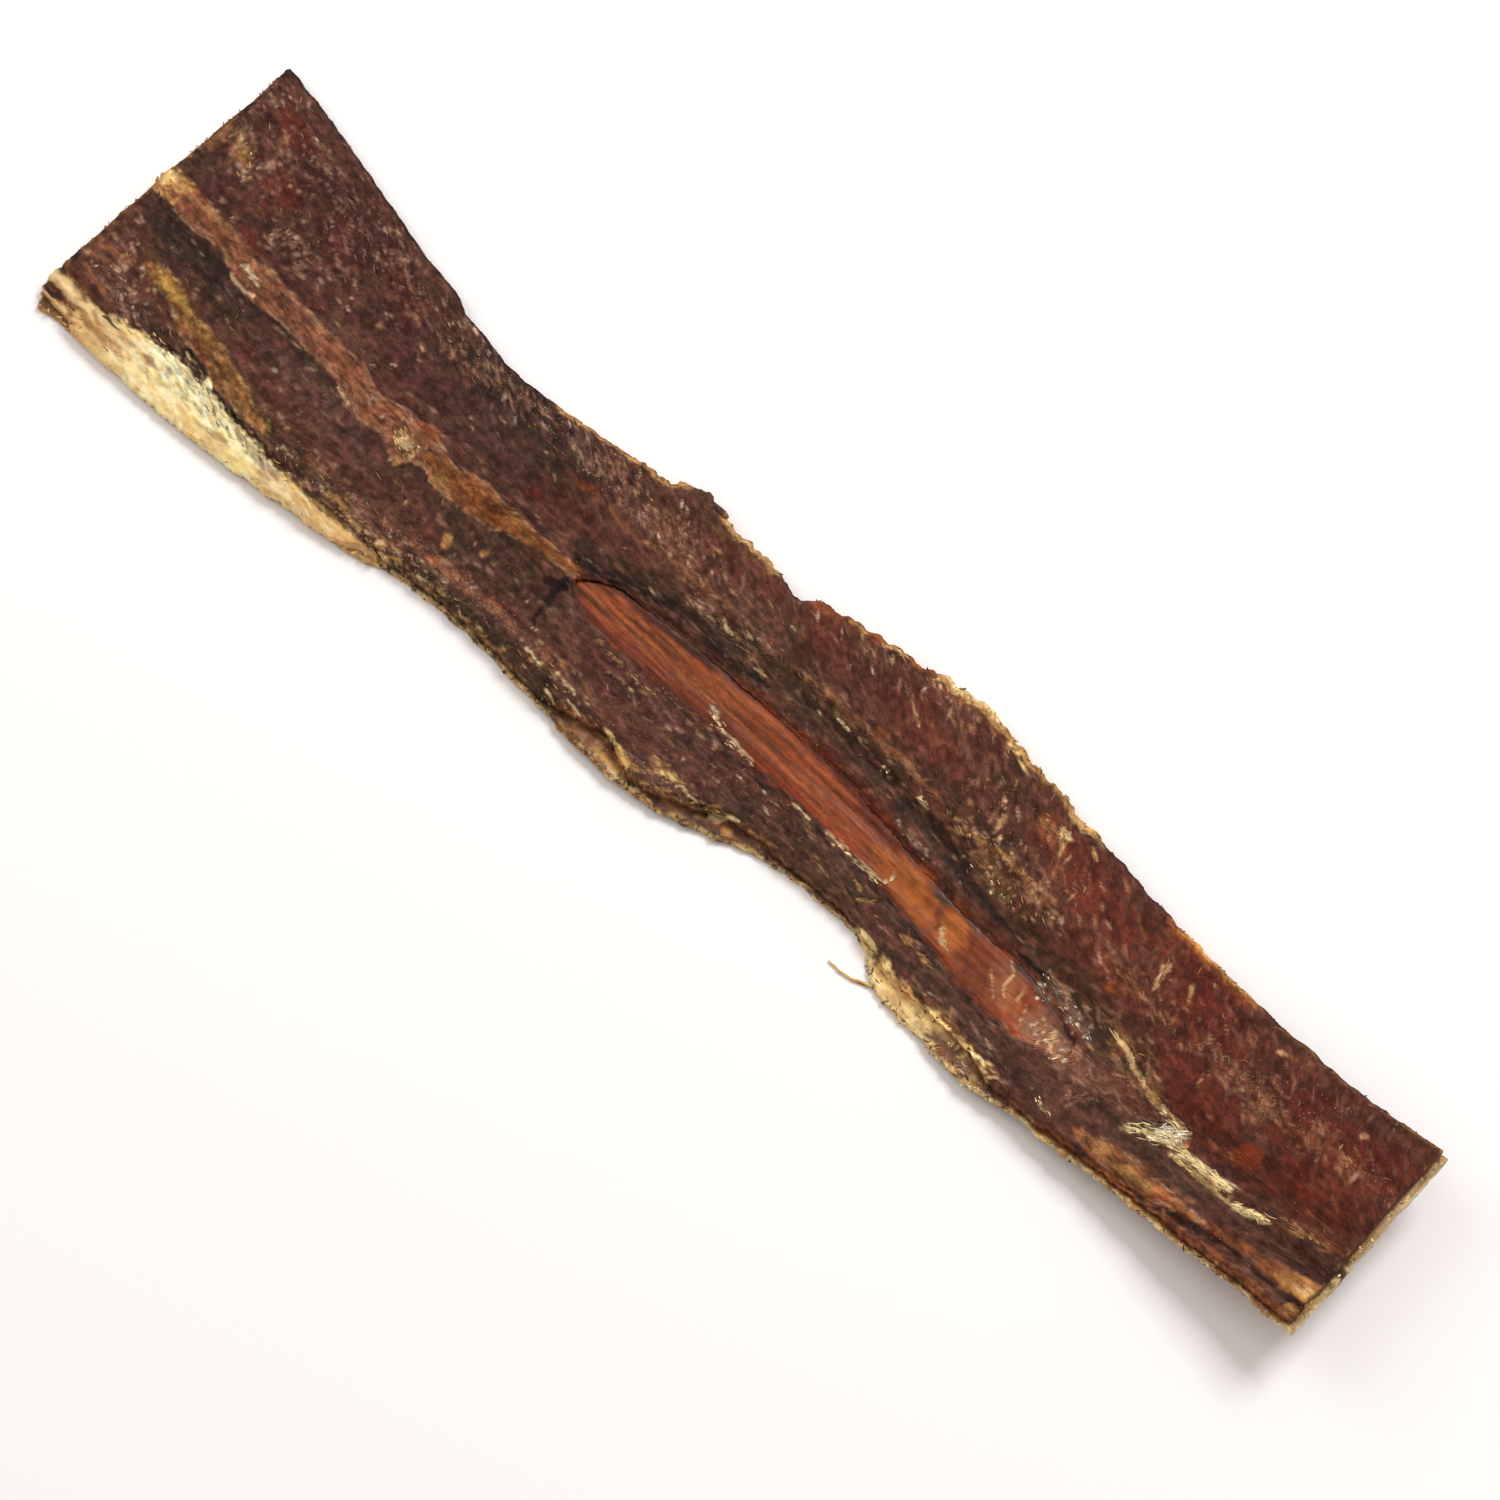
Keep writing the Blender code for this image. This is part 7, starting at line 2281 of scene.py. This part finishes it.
BUNDLES: tuple[Bundle, ...] = (
    (Tone.CREAM, 40, 0.3, 2.6, 30, ((108.6, -16), (112, -14.2), (116, -12))),
    (Tone.WHITE, 50, 0.7, 1.9, 24, ((112.6, -13.8), (115, -12.4), (117.4, -10.8))),
    (Tone.STRAW, 30, 0.6, 2.0, 24, ((110.6, -15.2), (113.6, -14), (117, -12.6))),
    (Tone.WHITE, 26, 0.5, 1.8, 50, ((113.6, -11.6), (115.6, -10.6), (117.6, -9.8))),
    (Tone.SMOKE, 30, 1.0, 1.6, 20, ((110, -14), (114, -12.4), (118, -11.6))),
    (Tone.DARK_MARK_AND_SHADOW, 16, 1.0, 2.0, 24, ((111, -14.6), (114, -12.8), (118, -11.8))),
    (Tone.CREAM, 60, 0.4, 2.4, 4, ((117, -13.8), (121, -12.9), (125, -12.5), (129, -12.2))),
    (Tone.STRAW, 60, 0.45, 2.4, 4, ((117, -13.4), (121, -12.9), (126, -12.7), (128.6, -12.4))),
    (Tone.BUTTER, 26, 0.12, 2.2, 2, ((117.6, -14.8), (122, -14.5), (126, -14.2), (130.6, -14.3))),
    (Tone.CREAM, 26, 0.26, 2.0, 20, ((131.6, -14.3), (134, -13.4), (136.4, -12.4))),
    (Tone.STRAW, 40, 0.22, 2.0, 22, ((131.4, -14.4), (134, -13.5), (138, -12))),
    (Tone.DARK_RED_AND_SHADE, 26, 0.6, 2.4, 6, ((116, -14), (124, -13), (132, -13.6))),
    (Tone.GOLD, 46, 0.4, 2.0, -8, ((107, -8.6), (111, -9.2), (118, -9.8))),
    (Tone.CREAM, 26, 0.4, 1.6, -5, ((110, -9.4), (116, -10.2))),
    (Tone.BUTTER, 16, 0.22, 2.6, -24, ((96, -4.4), (101, -6.2), (106.4, -8.4))),
    (Tone.GOLD, 22, 0.4, 1.6, 12, ((140, -10.6), (148, -9))),
    (Tone.CREAM, 14, 0.5, 1.2, -15, ((1.6, -7.6), (4, -8.6), (6, -9.6))),
    (Tone.CREAM, 14, 0.35, 1.5, 0, ((5, -9.8), (10, -10), (15, -10.6))),
    (Tone.CREAM, 9, 0.25, 1.4, 0, ((24.4, -11.2), (29.4, -11.6))),
    (Tone.CREAM, 20, 0.35, 1.5, -3, ((33, -11.2), (38, -11.6), (43, -11.9), (47.4, -11.6))),
    (Tone.CREAM, 8, 0.12, 1.2, 80, ((47.2, -11.6), (48, -10.2), (47.6, -8.8))),
    (Tone.CREAM, 8, 0.14, 1.4, -55, ((60.4, -10.4), (62, -12.2), (64.4, -13))),
    (Tone.GOLD, 30, 0.4, 1.0, 0, ((-24, -12.6), (-16, -12.8), (-6, -13.4))),
    (Tone.GOLD, 26, 0.3, 1.4, 4, ((56, -16.4), (60, -16.8), (64.4, -17.4))),
    (Tone.GOLD, 16, 0.2, 1.2, -30, ((43.4, -14.6), (45.4, -15.2))),
    (Tone.GOLD, 16, 0.2, 1.4, 35, ((46, -17), (48.6, -15.6))),
    (Tone.WHITE, 24, 1.1, 0.55, -25, ((80, -5.6), (87, -6.8), (93, -8))),
    (Tone.SILVER, 24, 1.2, 1.2, -15, ((79, -5.6), (87, -6.8), (95, -8.4))),
    (Tone.SILVER, 16, 0.6, 1.0, -8, ((42, -1), (48, -2), (55, -2.6))),
    (Tone.PINK, 34, 0.8, 1.6, 50, ((97, -20), (98.6, -18.4), (100.4, -16.6))),
    (Tone.CREAM, 9, 0.4, 0.9, -20, ((92, -22.6), (97.6, -24))),
    (Tone.PINK, 40, 1.4, 1.6, 60, ((86, -13.4), (92, -13), (97, -13.6))),
    (Tone.WHITE, 10, 1.0, 1.2, 55, ((84, -13), (89, -14), (94, -14.4))),
    (Tone.PINK, 26, 1.2, 1.4, 60, ((84, -13), (89, -14), (94, -14.4))),
    (Tone.CREAM, 14, 1.1, 1.4, 60, ((84, -13), (89, -14), (93, -14.4))),
    (Tone.GOLD, 60, 1.1, 1.5, -12, ((57, -23.6), (66, -24.4), (76, -25.2), (85, -26.6))),
    (Tone.CREAM, 50, 0.9, 1.3, -10, ((60, -24.6), (70, -25.2), (84, -27))),
    (Tone.GOLD, 40, 0.8, 1.3, 5, ((0, -22.4), (6, -23.2), (13, -23.4))),
    (Tone.GOLD, 40, 1.1, 1.3, -6, ((-30, -23.4), (-18, -23.6), (-5, -25.4))),
    (Tone.GOLD, 50, 0.8, 1.3, 0, ((-80, -25), (-72, -25.8), (-62, -25.6))),
    (Tone.PINK, 50, 0.7, 1.3, -24, ((-95, -7.6), (-91, -9), (-87, -10.2))),
    (Tone.BUTTER, 44, 0.9, 0.9, -20, ((-80, -6.4), (-78, -8), (-75, -9))),
    (Tone.CREAM, 12, 0.6, 0.7, 0, ((-79, -7.6), (-77, -8.4), (-73, -6.6))),
    (Tone.PINK, 40, 0.8, 1.3, -8, ((-129, -1.4), (-125, -2.4), (-121, -4.6))),
    (Tone.CREAM, 18, 0.35, 1.4, -10, ((-128, -1.5), (-125, -2.0), (-122, -3.2))),
    (Tone.SILVER, 20, 0.4, 0.9, -8, ((-127.6, -1.8), (-123, -2.4))),
    (Tone.HONEY, 44, 1.3, 1.4, -20, ((-149, 17), (-145, 15.4), (-141, 13.4))),
    (Tone.CREAM, 12, 1.2, 0.9, -20, ((-149, 17), (-145, 15.4), (-141, 13.4))),
    (Tone.DUSK, 80, 1.8, 1.6, -12, ((-150, -20.6), (-141, -22.4), (-131, -22.4))),
    (Tone.SILVER, 22, 1.7, 1.0, -10, ((-146, -19.6), (-139, -22), (-131, -22))),
    (Tone.PINK, 50, 0.8, 1.3, -10, ((-129, 7.6), (-125, 7.4), (-121, 7.8))),
    (Tone.PINK, 90, 2.4, 1.7, -28, ((-88, 15), (-76, 13), (-62, 14))),
    (Tone.TAN, 40, 2.0, 1.5, -28, ((-84, 15), (-74, 14), (-62, 14))),
    (Tone.PINK, 56, 2.4, 1.7, -27, ((-60, 15), (-48, 15), (-38, 14.6))),
    (Tone.TAN, 40, 2.2, 1.6, -27, ((-60, 14), (-48, 15), (-38, 16))),
    (Tone.PINK, 90, 1.7, 1.1, -30, ((-34, 13), (-27, 13), (-20, 13))),
    (Tone.PINK, 70, 4.0, 1.2, -25, ((-142, 22), (-125, 20), (-104, 17))),
    (Tone.GOLD, 44, 2.2, 1.3, -34, ((48, 8), (58, 5), (68, 3))),
    (Tone.CREAM, 16, 1.0, 0.8, -20, ((56, 3), (62, 1.8), (68, 1))),
    (Tone.CREAM, 14, 1.6, 0.9, -30, ((50, 8), (60, 7), (70, 6))),
    (Tone.GOLD, 40, 0.5, 1.8, -3, ((49, 6.2), (60, 7), (71, 6.4))),
    (Tone.TAN, 60, 0.6, 1.6, -3, ((8, 8.6), (24, 8.8), (44, 7.6))),
    (Tone.CREAM, 6, 0.2, 0.8, 0, ((20, 6.4), (24, 6.2))),
    (Tone.CREAM, 5, 0.2, 0.8, 0, ((32.4, 5.2), (34, 5))),
    (Tone.CREAM, 5, 0.2, 0.9, 10, ((41, 5.4), (44, 4.6))),
    (Tone.GOLD, 24, 0.3, 1.4, 2, ((-10, 6), (-4, 5.6), (4, 3.6))),
    (Tone.TAN, 90, 1.5, 1.4, 20, ((108, 4), (120, 4.6), (134, 4), (148, 6.4))),
    (Tone.PINK, 40, 0.8, 1.2, 30, ((112, 4.4), (121, 4), (128, 3))),
    (Tone.TAN, 60, 1.4, 1.3, -30, ((86, 5.6), (94, 4.8), (103, 4.4))),
    (Tone.GOLD, 26, 0.7, 1.1, -20, ((60, 16.8), (63, 16.2), (66, 17.4))),
    (Tone.CREAM, 20, 0.4, 0.9, -10, ((64, 17.6), (66.4, 18.2))),
    (Tone.GOLD, 14, 0.18, 1.6, -74, ((94.6, 12), (95.4, 9.4), (96.4, 6.4))),
    (Tone.GOLD, 12, 0.16, 1.4, -66, ((100.4, 11.4), (101.8, 8.6))),
    (Tone.TAN, 12, 0.14, 1.8, -40, ((26.6, 19.2), (29, 17.2), (31.6, 15.4))),
    (Tone.GOLD, 12, 0.14, 1.5, -60, ((65.2, 17), (67.4, 13.4))),
    (Tone.GOLD, 12, 0.16, 1.5, -75, ((54.6, 13.4), (55.6, 9.6))),
    (Tone.GOLD, 12, 0.16, 1.3, -50, ((70.6, 19.2), (72.4, 17.2))),
    (Tone.CREAM, 50, 1.0, 2.0, -13, ((-124, -25.6), (-112, -27), (-100, -28.6), (-92, -29.6))),
    (Tone.STRAW, 44, 1.0, 1.8, -10, ((-128, -26), (-116, -27.4), (-104, -29), (-94, -30))),
    (Tone.SMOKE, 40, 1.0, 2.0, -15, ((-116, -26), (-108, -27), (-96, -28.6))),
    (Tone.CREAM, 90, 0.5, 1.8, -4, ((-138, -27), (-128, -25.4), (-116, -25.2), (-104, -26.8))),
    (Tone.BUTTER, 60, 0.5, 1.6, 0, ((-104, -27), (-92, -28), (-78, -28.4))),
    (Tone.DARK_MARK_AND_SHADOW, 20, 0.6, 1.5, -3, ((-136, -27), (-124, -25), (-110, -25.8), (-96, -27.6))),
    (Tone.HONEY, 40, 0.6, 1.6, 2, ((-146, -30.6), (-138, -30.8), (-130, -31.6))),
)


@dataclass
class PaleFibres:
    """Bundles of pale and tan fibres on every layer."""

    skins: Skins
    seed: int = 11
    part: float = 0.42
    sparse_part: float = 0.12

    def build(self, finish: Finish) -> bpy.types.Object:
        """Lay every bundle along its line.

        Args:
            finish: Finish of the piece.

        Returns:
            The piece in its place.
        """
        draw = np.random.default_rng(self.seed)
        places: list[Array] = []
        for tone, count, wide, length, turn, line in BUNDLES:
            x, y = bundle_places(draw, count, wide, line)
            long = length * draw.uniform(0.4, 1.3, count)
            turns = np.radians(turn + draw.normal(0.0, 9.0, count))
            tones = varied(draw, tone.paint, 0.55, 1.15, count)
            places.append(np.column_stack((x, y, long, turns, tones)))
        table = np.vstack(places)
        sparse = (table[:, 0] < -15.0) & (table[:, 1] > -3.0)
        table = table[draw.random(len(table)) < np.where(sparse, self.sparse_part, self.part)]
        x, y = STRIP.from_seen(table[:, 0], table[:, 1])
        inside = (STRIP.upper_edge(x) - y > 0.8) & (y - STRIP.lower_edge(x) > 0.6)
        table, x, y = table[inside], x[inside], y[inside]
        count = len(x)
        rods = Rods("pale_fibres", 3).build(
            x, y, table[:, 3], table[:, 2], draw.uniform(0.06, 0.17, count), draw.uniform(0.05, 0.15, count),
            self.skins.height, table[:, 4:],
            lift=draw.uniform(-0.04, 0.12, count), bow=draw.normal(0.0, 0.09, count),
        )
        finish_piece(rods, finish, 75.0)
        return rods


Fringe = tuple[float, float, int, Tone, float, float]

FRINGES: dict[Border, tuple[Fringe, ...]] = {
    Border.LOWER: (
        (-64, -36, 130, Tone.TAN, 0.5, 1.2), (-64, -36, 90, Tone.BROWN, 0.8, 1.2),
        (-36, 16, 240, Tone.TAN, 0.8, 1.3), (-36, 16, 160, Tone.BROWN, 1.4, 1.4),
        (-10, 10, 90, Tone.HONEY, 0.5, 1.2), (0, 50, 120, Tone.GOLD, 0.6, 1.3),
        (15, 52, 120, Tone.BROWN, 1.0, 1.2), (50, 88, 260, Tone.GOLD, 1.0, 1.6),
        (54, 88, 170, Tone.CREAM, 0.8, 1.4), (54, 88, 120, Tone.BROWN, 2.2, 1.6),
        (86, 152, 260, Tone.HONEY, 0.5, 1.3), (86, 152, 160, Tone.BROWN, 0.9, 1.3),
        (-150, -66, 240, Tone.BUTTER, 0.6, 1.5), (-152, -140, 60, Tone.TAN, 1.5, 1.4),
    ),
    Border.MEAT: (
        (-60, 150, 420, Tone.BROWN, 0.4, 1.3), (-64, 20, 120, Tone.GOLD, 0.5, 1.1),
    ),
    Border.UPPER: (
        (-62, -36, 70, Tone.TAN, 0.3, 1.0), (-36, 2, 110, Tone.GOLD, 0.7, 1.2),
        (28, 64, 150, Tone.HONEY, 0.6, 1.3), (32, 42, 70, Tone.CREAM, 0.8, 1.4),
        (46, 70, 70, Tone.GOLD, 0.6, 1.2), (0, 96, 160, Tone.BROWN, 0.5, 1.1),
        (92, 112, 70, Tone.AMBER, 0.5, 1.2), (-150, 150, 320, Tone.MAROON, 0.4, 1.0),
    ),
    Border.WIDE: (
        (-26, 35, 130, Tone.TAN, 0.5, 0.9), (-2, 4, 40, Tone.HONEY, 0.8, 1.2),
    ),
    Border.NARROW: (
        (-26, 14, 60, Tone.HONEY, 0.7, 0.7), (-26, 14, 70, Tone.CREAM, 0.6, 0.6),
        (-26, 14, 50, Tone.BROWN, 1.2, 0.7), (-26, -21, 40, Tone.GOLD, 1.0, 1.0),
    ),
}


@dataclass
class Fringes:
    """Short torn fibres along the borders."""

    skins: Skins
    seed: int = 23
    one_in: int = 3

    def build(self, finish: Finish) -> bpy.types.Object:
        """Set every fringe along its border.

        Args:
            finish: Finish of the piece.

        Returns:
            The piece in its place.
        """
        draw = np.random.default_rng(self.seed)
        rows: list[Array] = []
        for border, fringes in FRINGES.items():
            for start, end, full, tone, inset, length in fringes:
                count = full // self.one_in
                place = draw.uniform(start, end, count)
                x, y, out = border_places(border, place, inset * draw.random(count))
                lean = np.radians(draw.choice((-1.0, 1.0), count) * draw.uniform(30.0, 90.0, count))
                long = length * draw.uniform(0.4, 1.2, count)
                tones = varied(draw, tone.paint, 0.55, 1.2, count)
                rows.append(np.column_stack((x, y, long, out + lean, tones)))
        table = np.vstack(rows)
        count = len(table)
        rods = Rods("edge_fringe", 2).build(
            table[:, 0], table[:, 1], table[:, 3], table[:, 2],
            draw.uniform(0.07, 0.2, count), draw.uniform(0.06, 0.16, count),
            self.skins.height, table[:, 4:],
            lift=draw.uniform(-0.15, 0.2, count), bow=draw.normal(0.0, 0.1, count),
            raise_by=draw.uniform(-0.25, 0.06, count),
        )
        finish_piece(rods, finish, 75.0)
        return rods


@dataclass
class Curl:
    """Flap of the upper edge that has rolled up."""

    start: float = -34.0
    end: float = -22.4
    fold: float = -28.6
    out: float = 1.1
    lift: float = 1.55
    roll_start: float = -150.0
    roll: float = 400.0
    radius: float = 1.45
    wall: float = 0.34

    def paint(self, x: Array, y: Array) -> Array:
        """Paint of the flap: brown, with tan along both ends, a fold and the far border.

        Args:
            x: Places along the flat strip.
            y: Places across the flat strip.

        Returns:
            Colours, one row a place.
        """
        blend = smooth(-0.4, 0.5, grain((1.0, 1.4, 119.5), x, y))
        dark = mixed(Tone.BROWN.paint, 0.8 * Tone.MAROON.paint, blend)
        pale = mixed(Tone.HONEY.paint, Tone.TAN.paint, blend)
        share = 0.9 * smooth(-30.6, -32.4, x) + 0.6 * smooth(-23.6, -22.8, x)
        share += 0.5 * smooth(0.25, 0.05, np.abs(x - self.fold)) + 0.55 * smooth(22.9, 23.7, y)
        share += 0.3 * grain((1.0, 0.8, 121.5), x, y)
        return mixed(dark, pale, np.clip(share, 0.0, 1.0))

    def build(self, finish: Finish) -> bpy.types.Object:
        """Roll a grid, give it its thickness, paint and place it.

        Args:
            finish: Finish of the piece.

        Returns:
            The piece in its place.
        """
        flap, along, around = flat_grid("rolled_flap", 70, 46)
        x = self.start + (self.end - self.start) * along
        middle = line_at(STRIP.upper_line, x) + self.out + 0.35 * grain((1.0, 2.6, 111.5), x, 0.0)
        body = np.clip(np.sin(math.pi * np.clip(along, 0.02, 0.98)), 0.0, 1.0) ** 0.45
        lumps = 1.0 + 0.3 * grain((1.0, 1.7, 113.5), x, 3.0 * around) - 0.25 * bell(x - self.fold, 0.9)
        radius = self.radius * (0.62 + 0.38 * around) * body * lumps
        angle = math.radians(self.roll_start) + math.radians(self.roll) * around
        y = middle + radius * np.cos(angle) + 0.12 * grain((1.0, 0.6, 115.5), x, 6.0 * around)
        z = STRIP.layer_under(x, middle) + self.lift + 0.9 * radius * np.sin(angle)
        z += 0.12 * grain((1.0, 0.6, 117.5), x, 6.0 * around)
        set_corners(flap, np.stack((x, y, z), -1))
        thick = flap.modifiers.new("wall", "SOLIDIFY")
        thick.thickness = self.wall
        thick.offset = 0.0
        bpy.ops.object.modifier_apply(modifier="wall")
        close_mesh()
        x, y, z = corners_of(flap).T
        paint_mesh(flap, self.paint(x, y), Flow.weights(x, y), np.full(len(x), 0.5))
        set_corners(flap, STRIP.place(STRIP.bend(x, y, z)))
        finish_piece(flap, finish)
        return flap


@dataclass
class Strand:
    """Loose strand on the table beside the lower edge."""

    path: tuple[tuple[float, float, float], ...] = (
        (63.5, -24.6, 0.75), (60.4, -25.8, 0.55), (57.8, -26.8, 0.46),
        (54.8, -28.0, 0.38), (52.2, -28.4, 0.36), (49.4, -28.2, 0.32),
    )
    radius: float = 0.4

    def build(self, finish: Finish) -> bpy.types.Object:
        """Sweep a tapering tube along the path.

        Args:
            finish: Finish of the piece.

        Returns:
            The piece in its place.
        """
        strand, along, around = flat_grid("loose_strand", 90, 13)
        line_x, line_y, line_z = on_path(self.path, along * (len(self.path) - 1))
        closed = np.sqrt(np.clip(1.0 - (2.0 * along - 1.0) ** 16, 0.0, 1.0))
        wide = self.radius * (1.0 - 0.55 * along) * closed
        wide *= 1.0 + 0.25 * grain((1.0, 0.9, 123.5), line_x, 2.0 * around)
        heading = math.atan2(-1.6, -7.0)
        angle = 2.0 * math.pi * around
        sway = 0.16 * grain((1.0, 1.7, 125.5), line_x, 0.0)
        x = line_x - wide * np.cos(angle) * math.sin(heading)
        y = line_y + sway + wide * np.cos(angle) * math.cos(heading)
        z = np.maximum(line_z + 0.85 * wide * np.sin(angle), 0.02)
        set_corners(strand, np.stack((x, y, z), -1))
        close_mesh(NEAR)
        x, y, z = corners_of(strand).T
        blend = smooth(-0.3, 0.4, grain((1.0, 1.4, 127.5), x, y))
        paint_mesh(strand, mixed(Tone.HONEY.paint, 0.8 * Tone.BUTTER.paint, blend))
        set_corners(strand, STRIP.place(STRIP.bend(x, y, z)))
        finish_piece(strand, finish)
        return strand


@dataclass
class Studio:
    """Camera, lights and table."""

    target: tuple[float, float, float] = (12.13, -9.32, 3.0)
    azimuth: float = 43.0
    elevation: float = 68.0
    distance: float = 642.8
    lens: float = 85.0
    ambient: float = 0.52

    def camera(self) -> None:
        """Camera at the photograph's angle."""
        turn, rise = math.radians(self.azimuth), math.radians(self.elevation)
        out = Vector((math.cos(rise) * math.sin(turn), -math.cos(rise) * math.cos(turn), math.sin(rise)))
        data = bpy.data.cameras.new("camera")
        data.lens = self.lens
        data.sensor_width = 36.0
        data.clip_start = 0.01
        eye = bpy.data.objects.new("camera", data)
        eye.location = (Vector(self.target) + out * self.distance) * METRE
        eye.rotation_euler = out.to_track_quat("Z", "Y").to_euler()
        bpy.context.scene.collection.objects.link(eye)
        bpy.context.scene.camera = eye

    def lamp(self, name: str, place: tuple[float, float, float], size: float, power: float) -> None:
        """Soft square light that looks at the strip.

        Args:
            name: Name of the light.
            place: Where it hangs, in metres.
            size: Length of its sides in metres.
            power: Power in watts.
        """
        data = bpy.data.lights.new(name, "AREA")
        data.size = size
        data.energy = power
        lamp = bpy.data.objects.new(name, data)
        lamp.location = place
        lamp.rotation_euler = Vector(place).to_track_quat("Z", "Y").to_euler()
        bpy.context.scene.collection.objects.link(lamp)

    def table(self) -> None:
        """Plain white table under the strip."""
        bpy.ops.object.select_all(action="DESELECT")
        bpy.ops.mesh.primitive_plane_add(size=6.0, location=(0.0, 0.0, 0.0))
        table = bpy.context.object
        table.name = "table"
        board = Board("table_white")
        board.set(Base_Color=(0.97, 0.965, 0.975, 1.0), Roughness=0.9, Specular_IOR_Level=0.1)
        table.data.materials.append(board.material)

    def build(self) -> None:
        """Set up the whole studio."""
        self.camera()
        self.table()
        self.lamp("key", (0.12, 0.85, 0.95), 0.5, 10.8)
        self.lamp("side", (-1.0, -0.1, 0.75), 0.7, 4.0)
        world = bpy.data.worlds.new("studio")
        world.use_nodes = True
        world.node_tree.nodes["Background"].inputs["Color"].default_value = (1.0, 0.90, 0.83, 1.0)
        world.node_tree.nodes["Background"].inputs["Strength"].default_value = self.ambient
        bpy.context.scene.world = world
        bpy.context.scene.view_settings.view_transform = "Standard"


def main() -> None:
    """Build the studio and every piece."""
    logging.basicConfig(level=logging.INFO, format="%(message)s")
    Studio().build()
    strokes = Strokes()
    skins = Skins(Meat(strokes), Lining(strokes), Fat())
    dark_meat = Finish("dark_meat", 0.5, 0.2, (2.2, 0.4), 0.20, 0.28, sparkle=0.6, depth=0.03, specular=0.07)
    inner_skin = Finish(
        "inner_skin", 0.4, 0.2, (9.0, 0.5), 0.12, 0.1, depth=0.02, specular=0.22, subsurface=0.1,
    )
    pale_fat = Finish("pale_fat", 0.5, 0.2, (2.0, 0.6), 0.06, 0.08, depth=0.03, specular=0.2, subsurface=0.25)
    skins.meat.build(dark_meat)
    skins.lining.build(inner_skin)
    skins.fat.build(pale_fat)
    Curl().build(Finish("flap_meat"))
    Strand().build(Finish("strand_skin", 0.45, 0.1, (2.0, 0.4), subsurface=0.2))
    MeatFibres(skins).build(Finish("fibre_meat"))
    PaleFibres(skins).build(Finish("fibre_pale", 0.5, 0.1, (1.5, 0.4), specular=0.15))
    Fringes(skins).build(Finish("fibre_edge", 0.5, 0.1, (1.5, 0.4), specular=0.15))


if __name__ == "__main__":
    main()
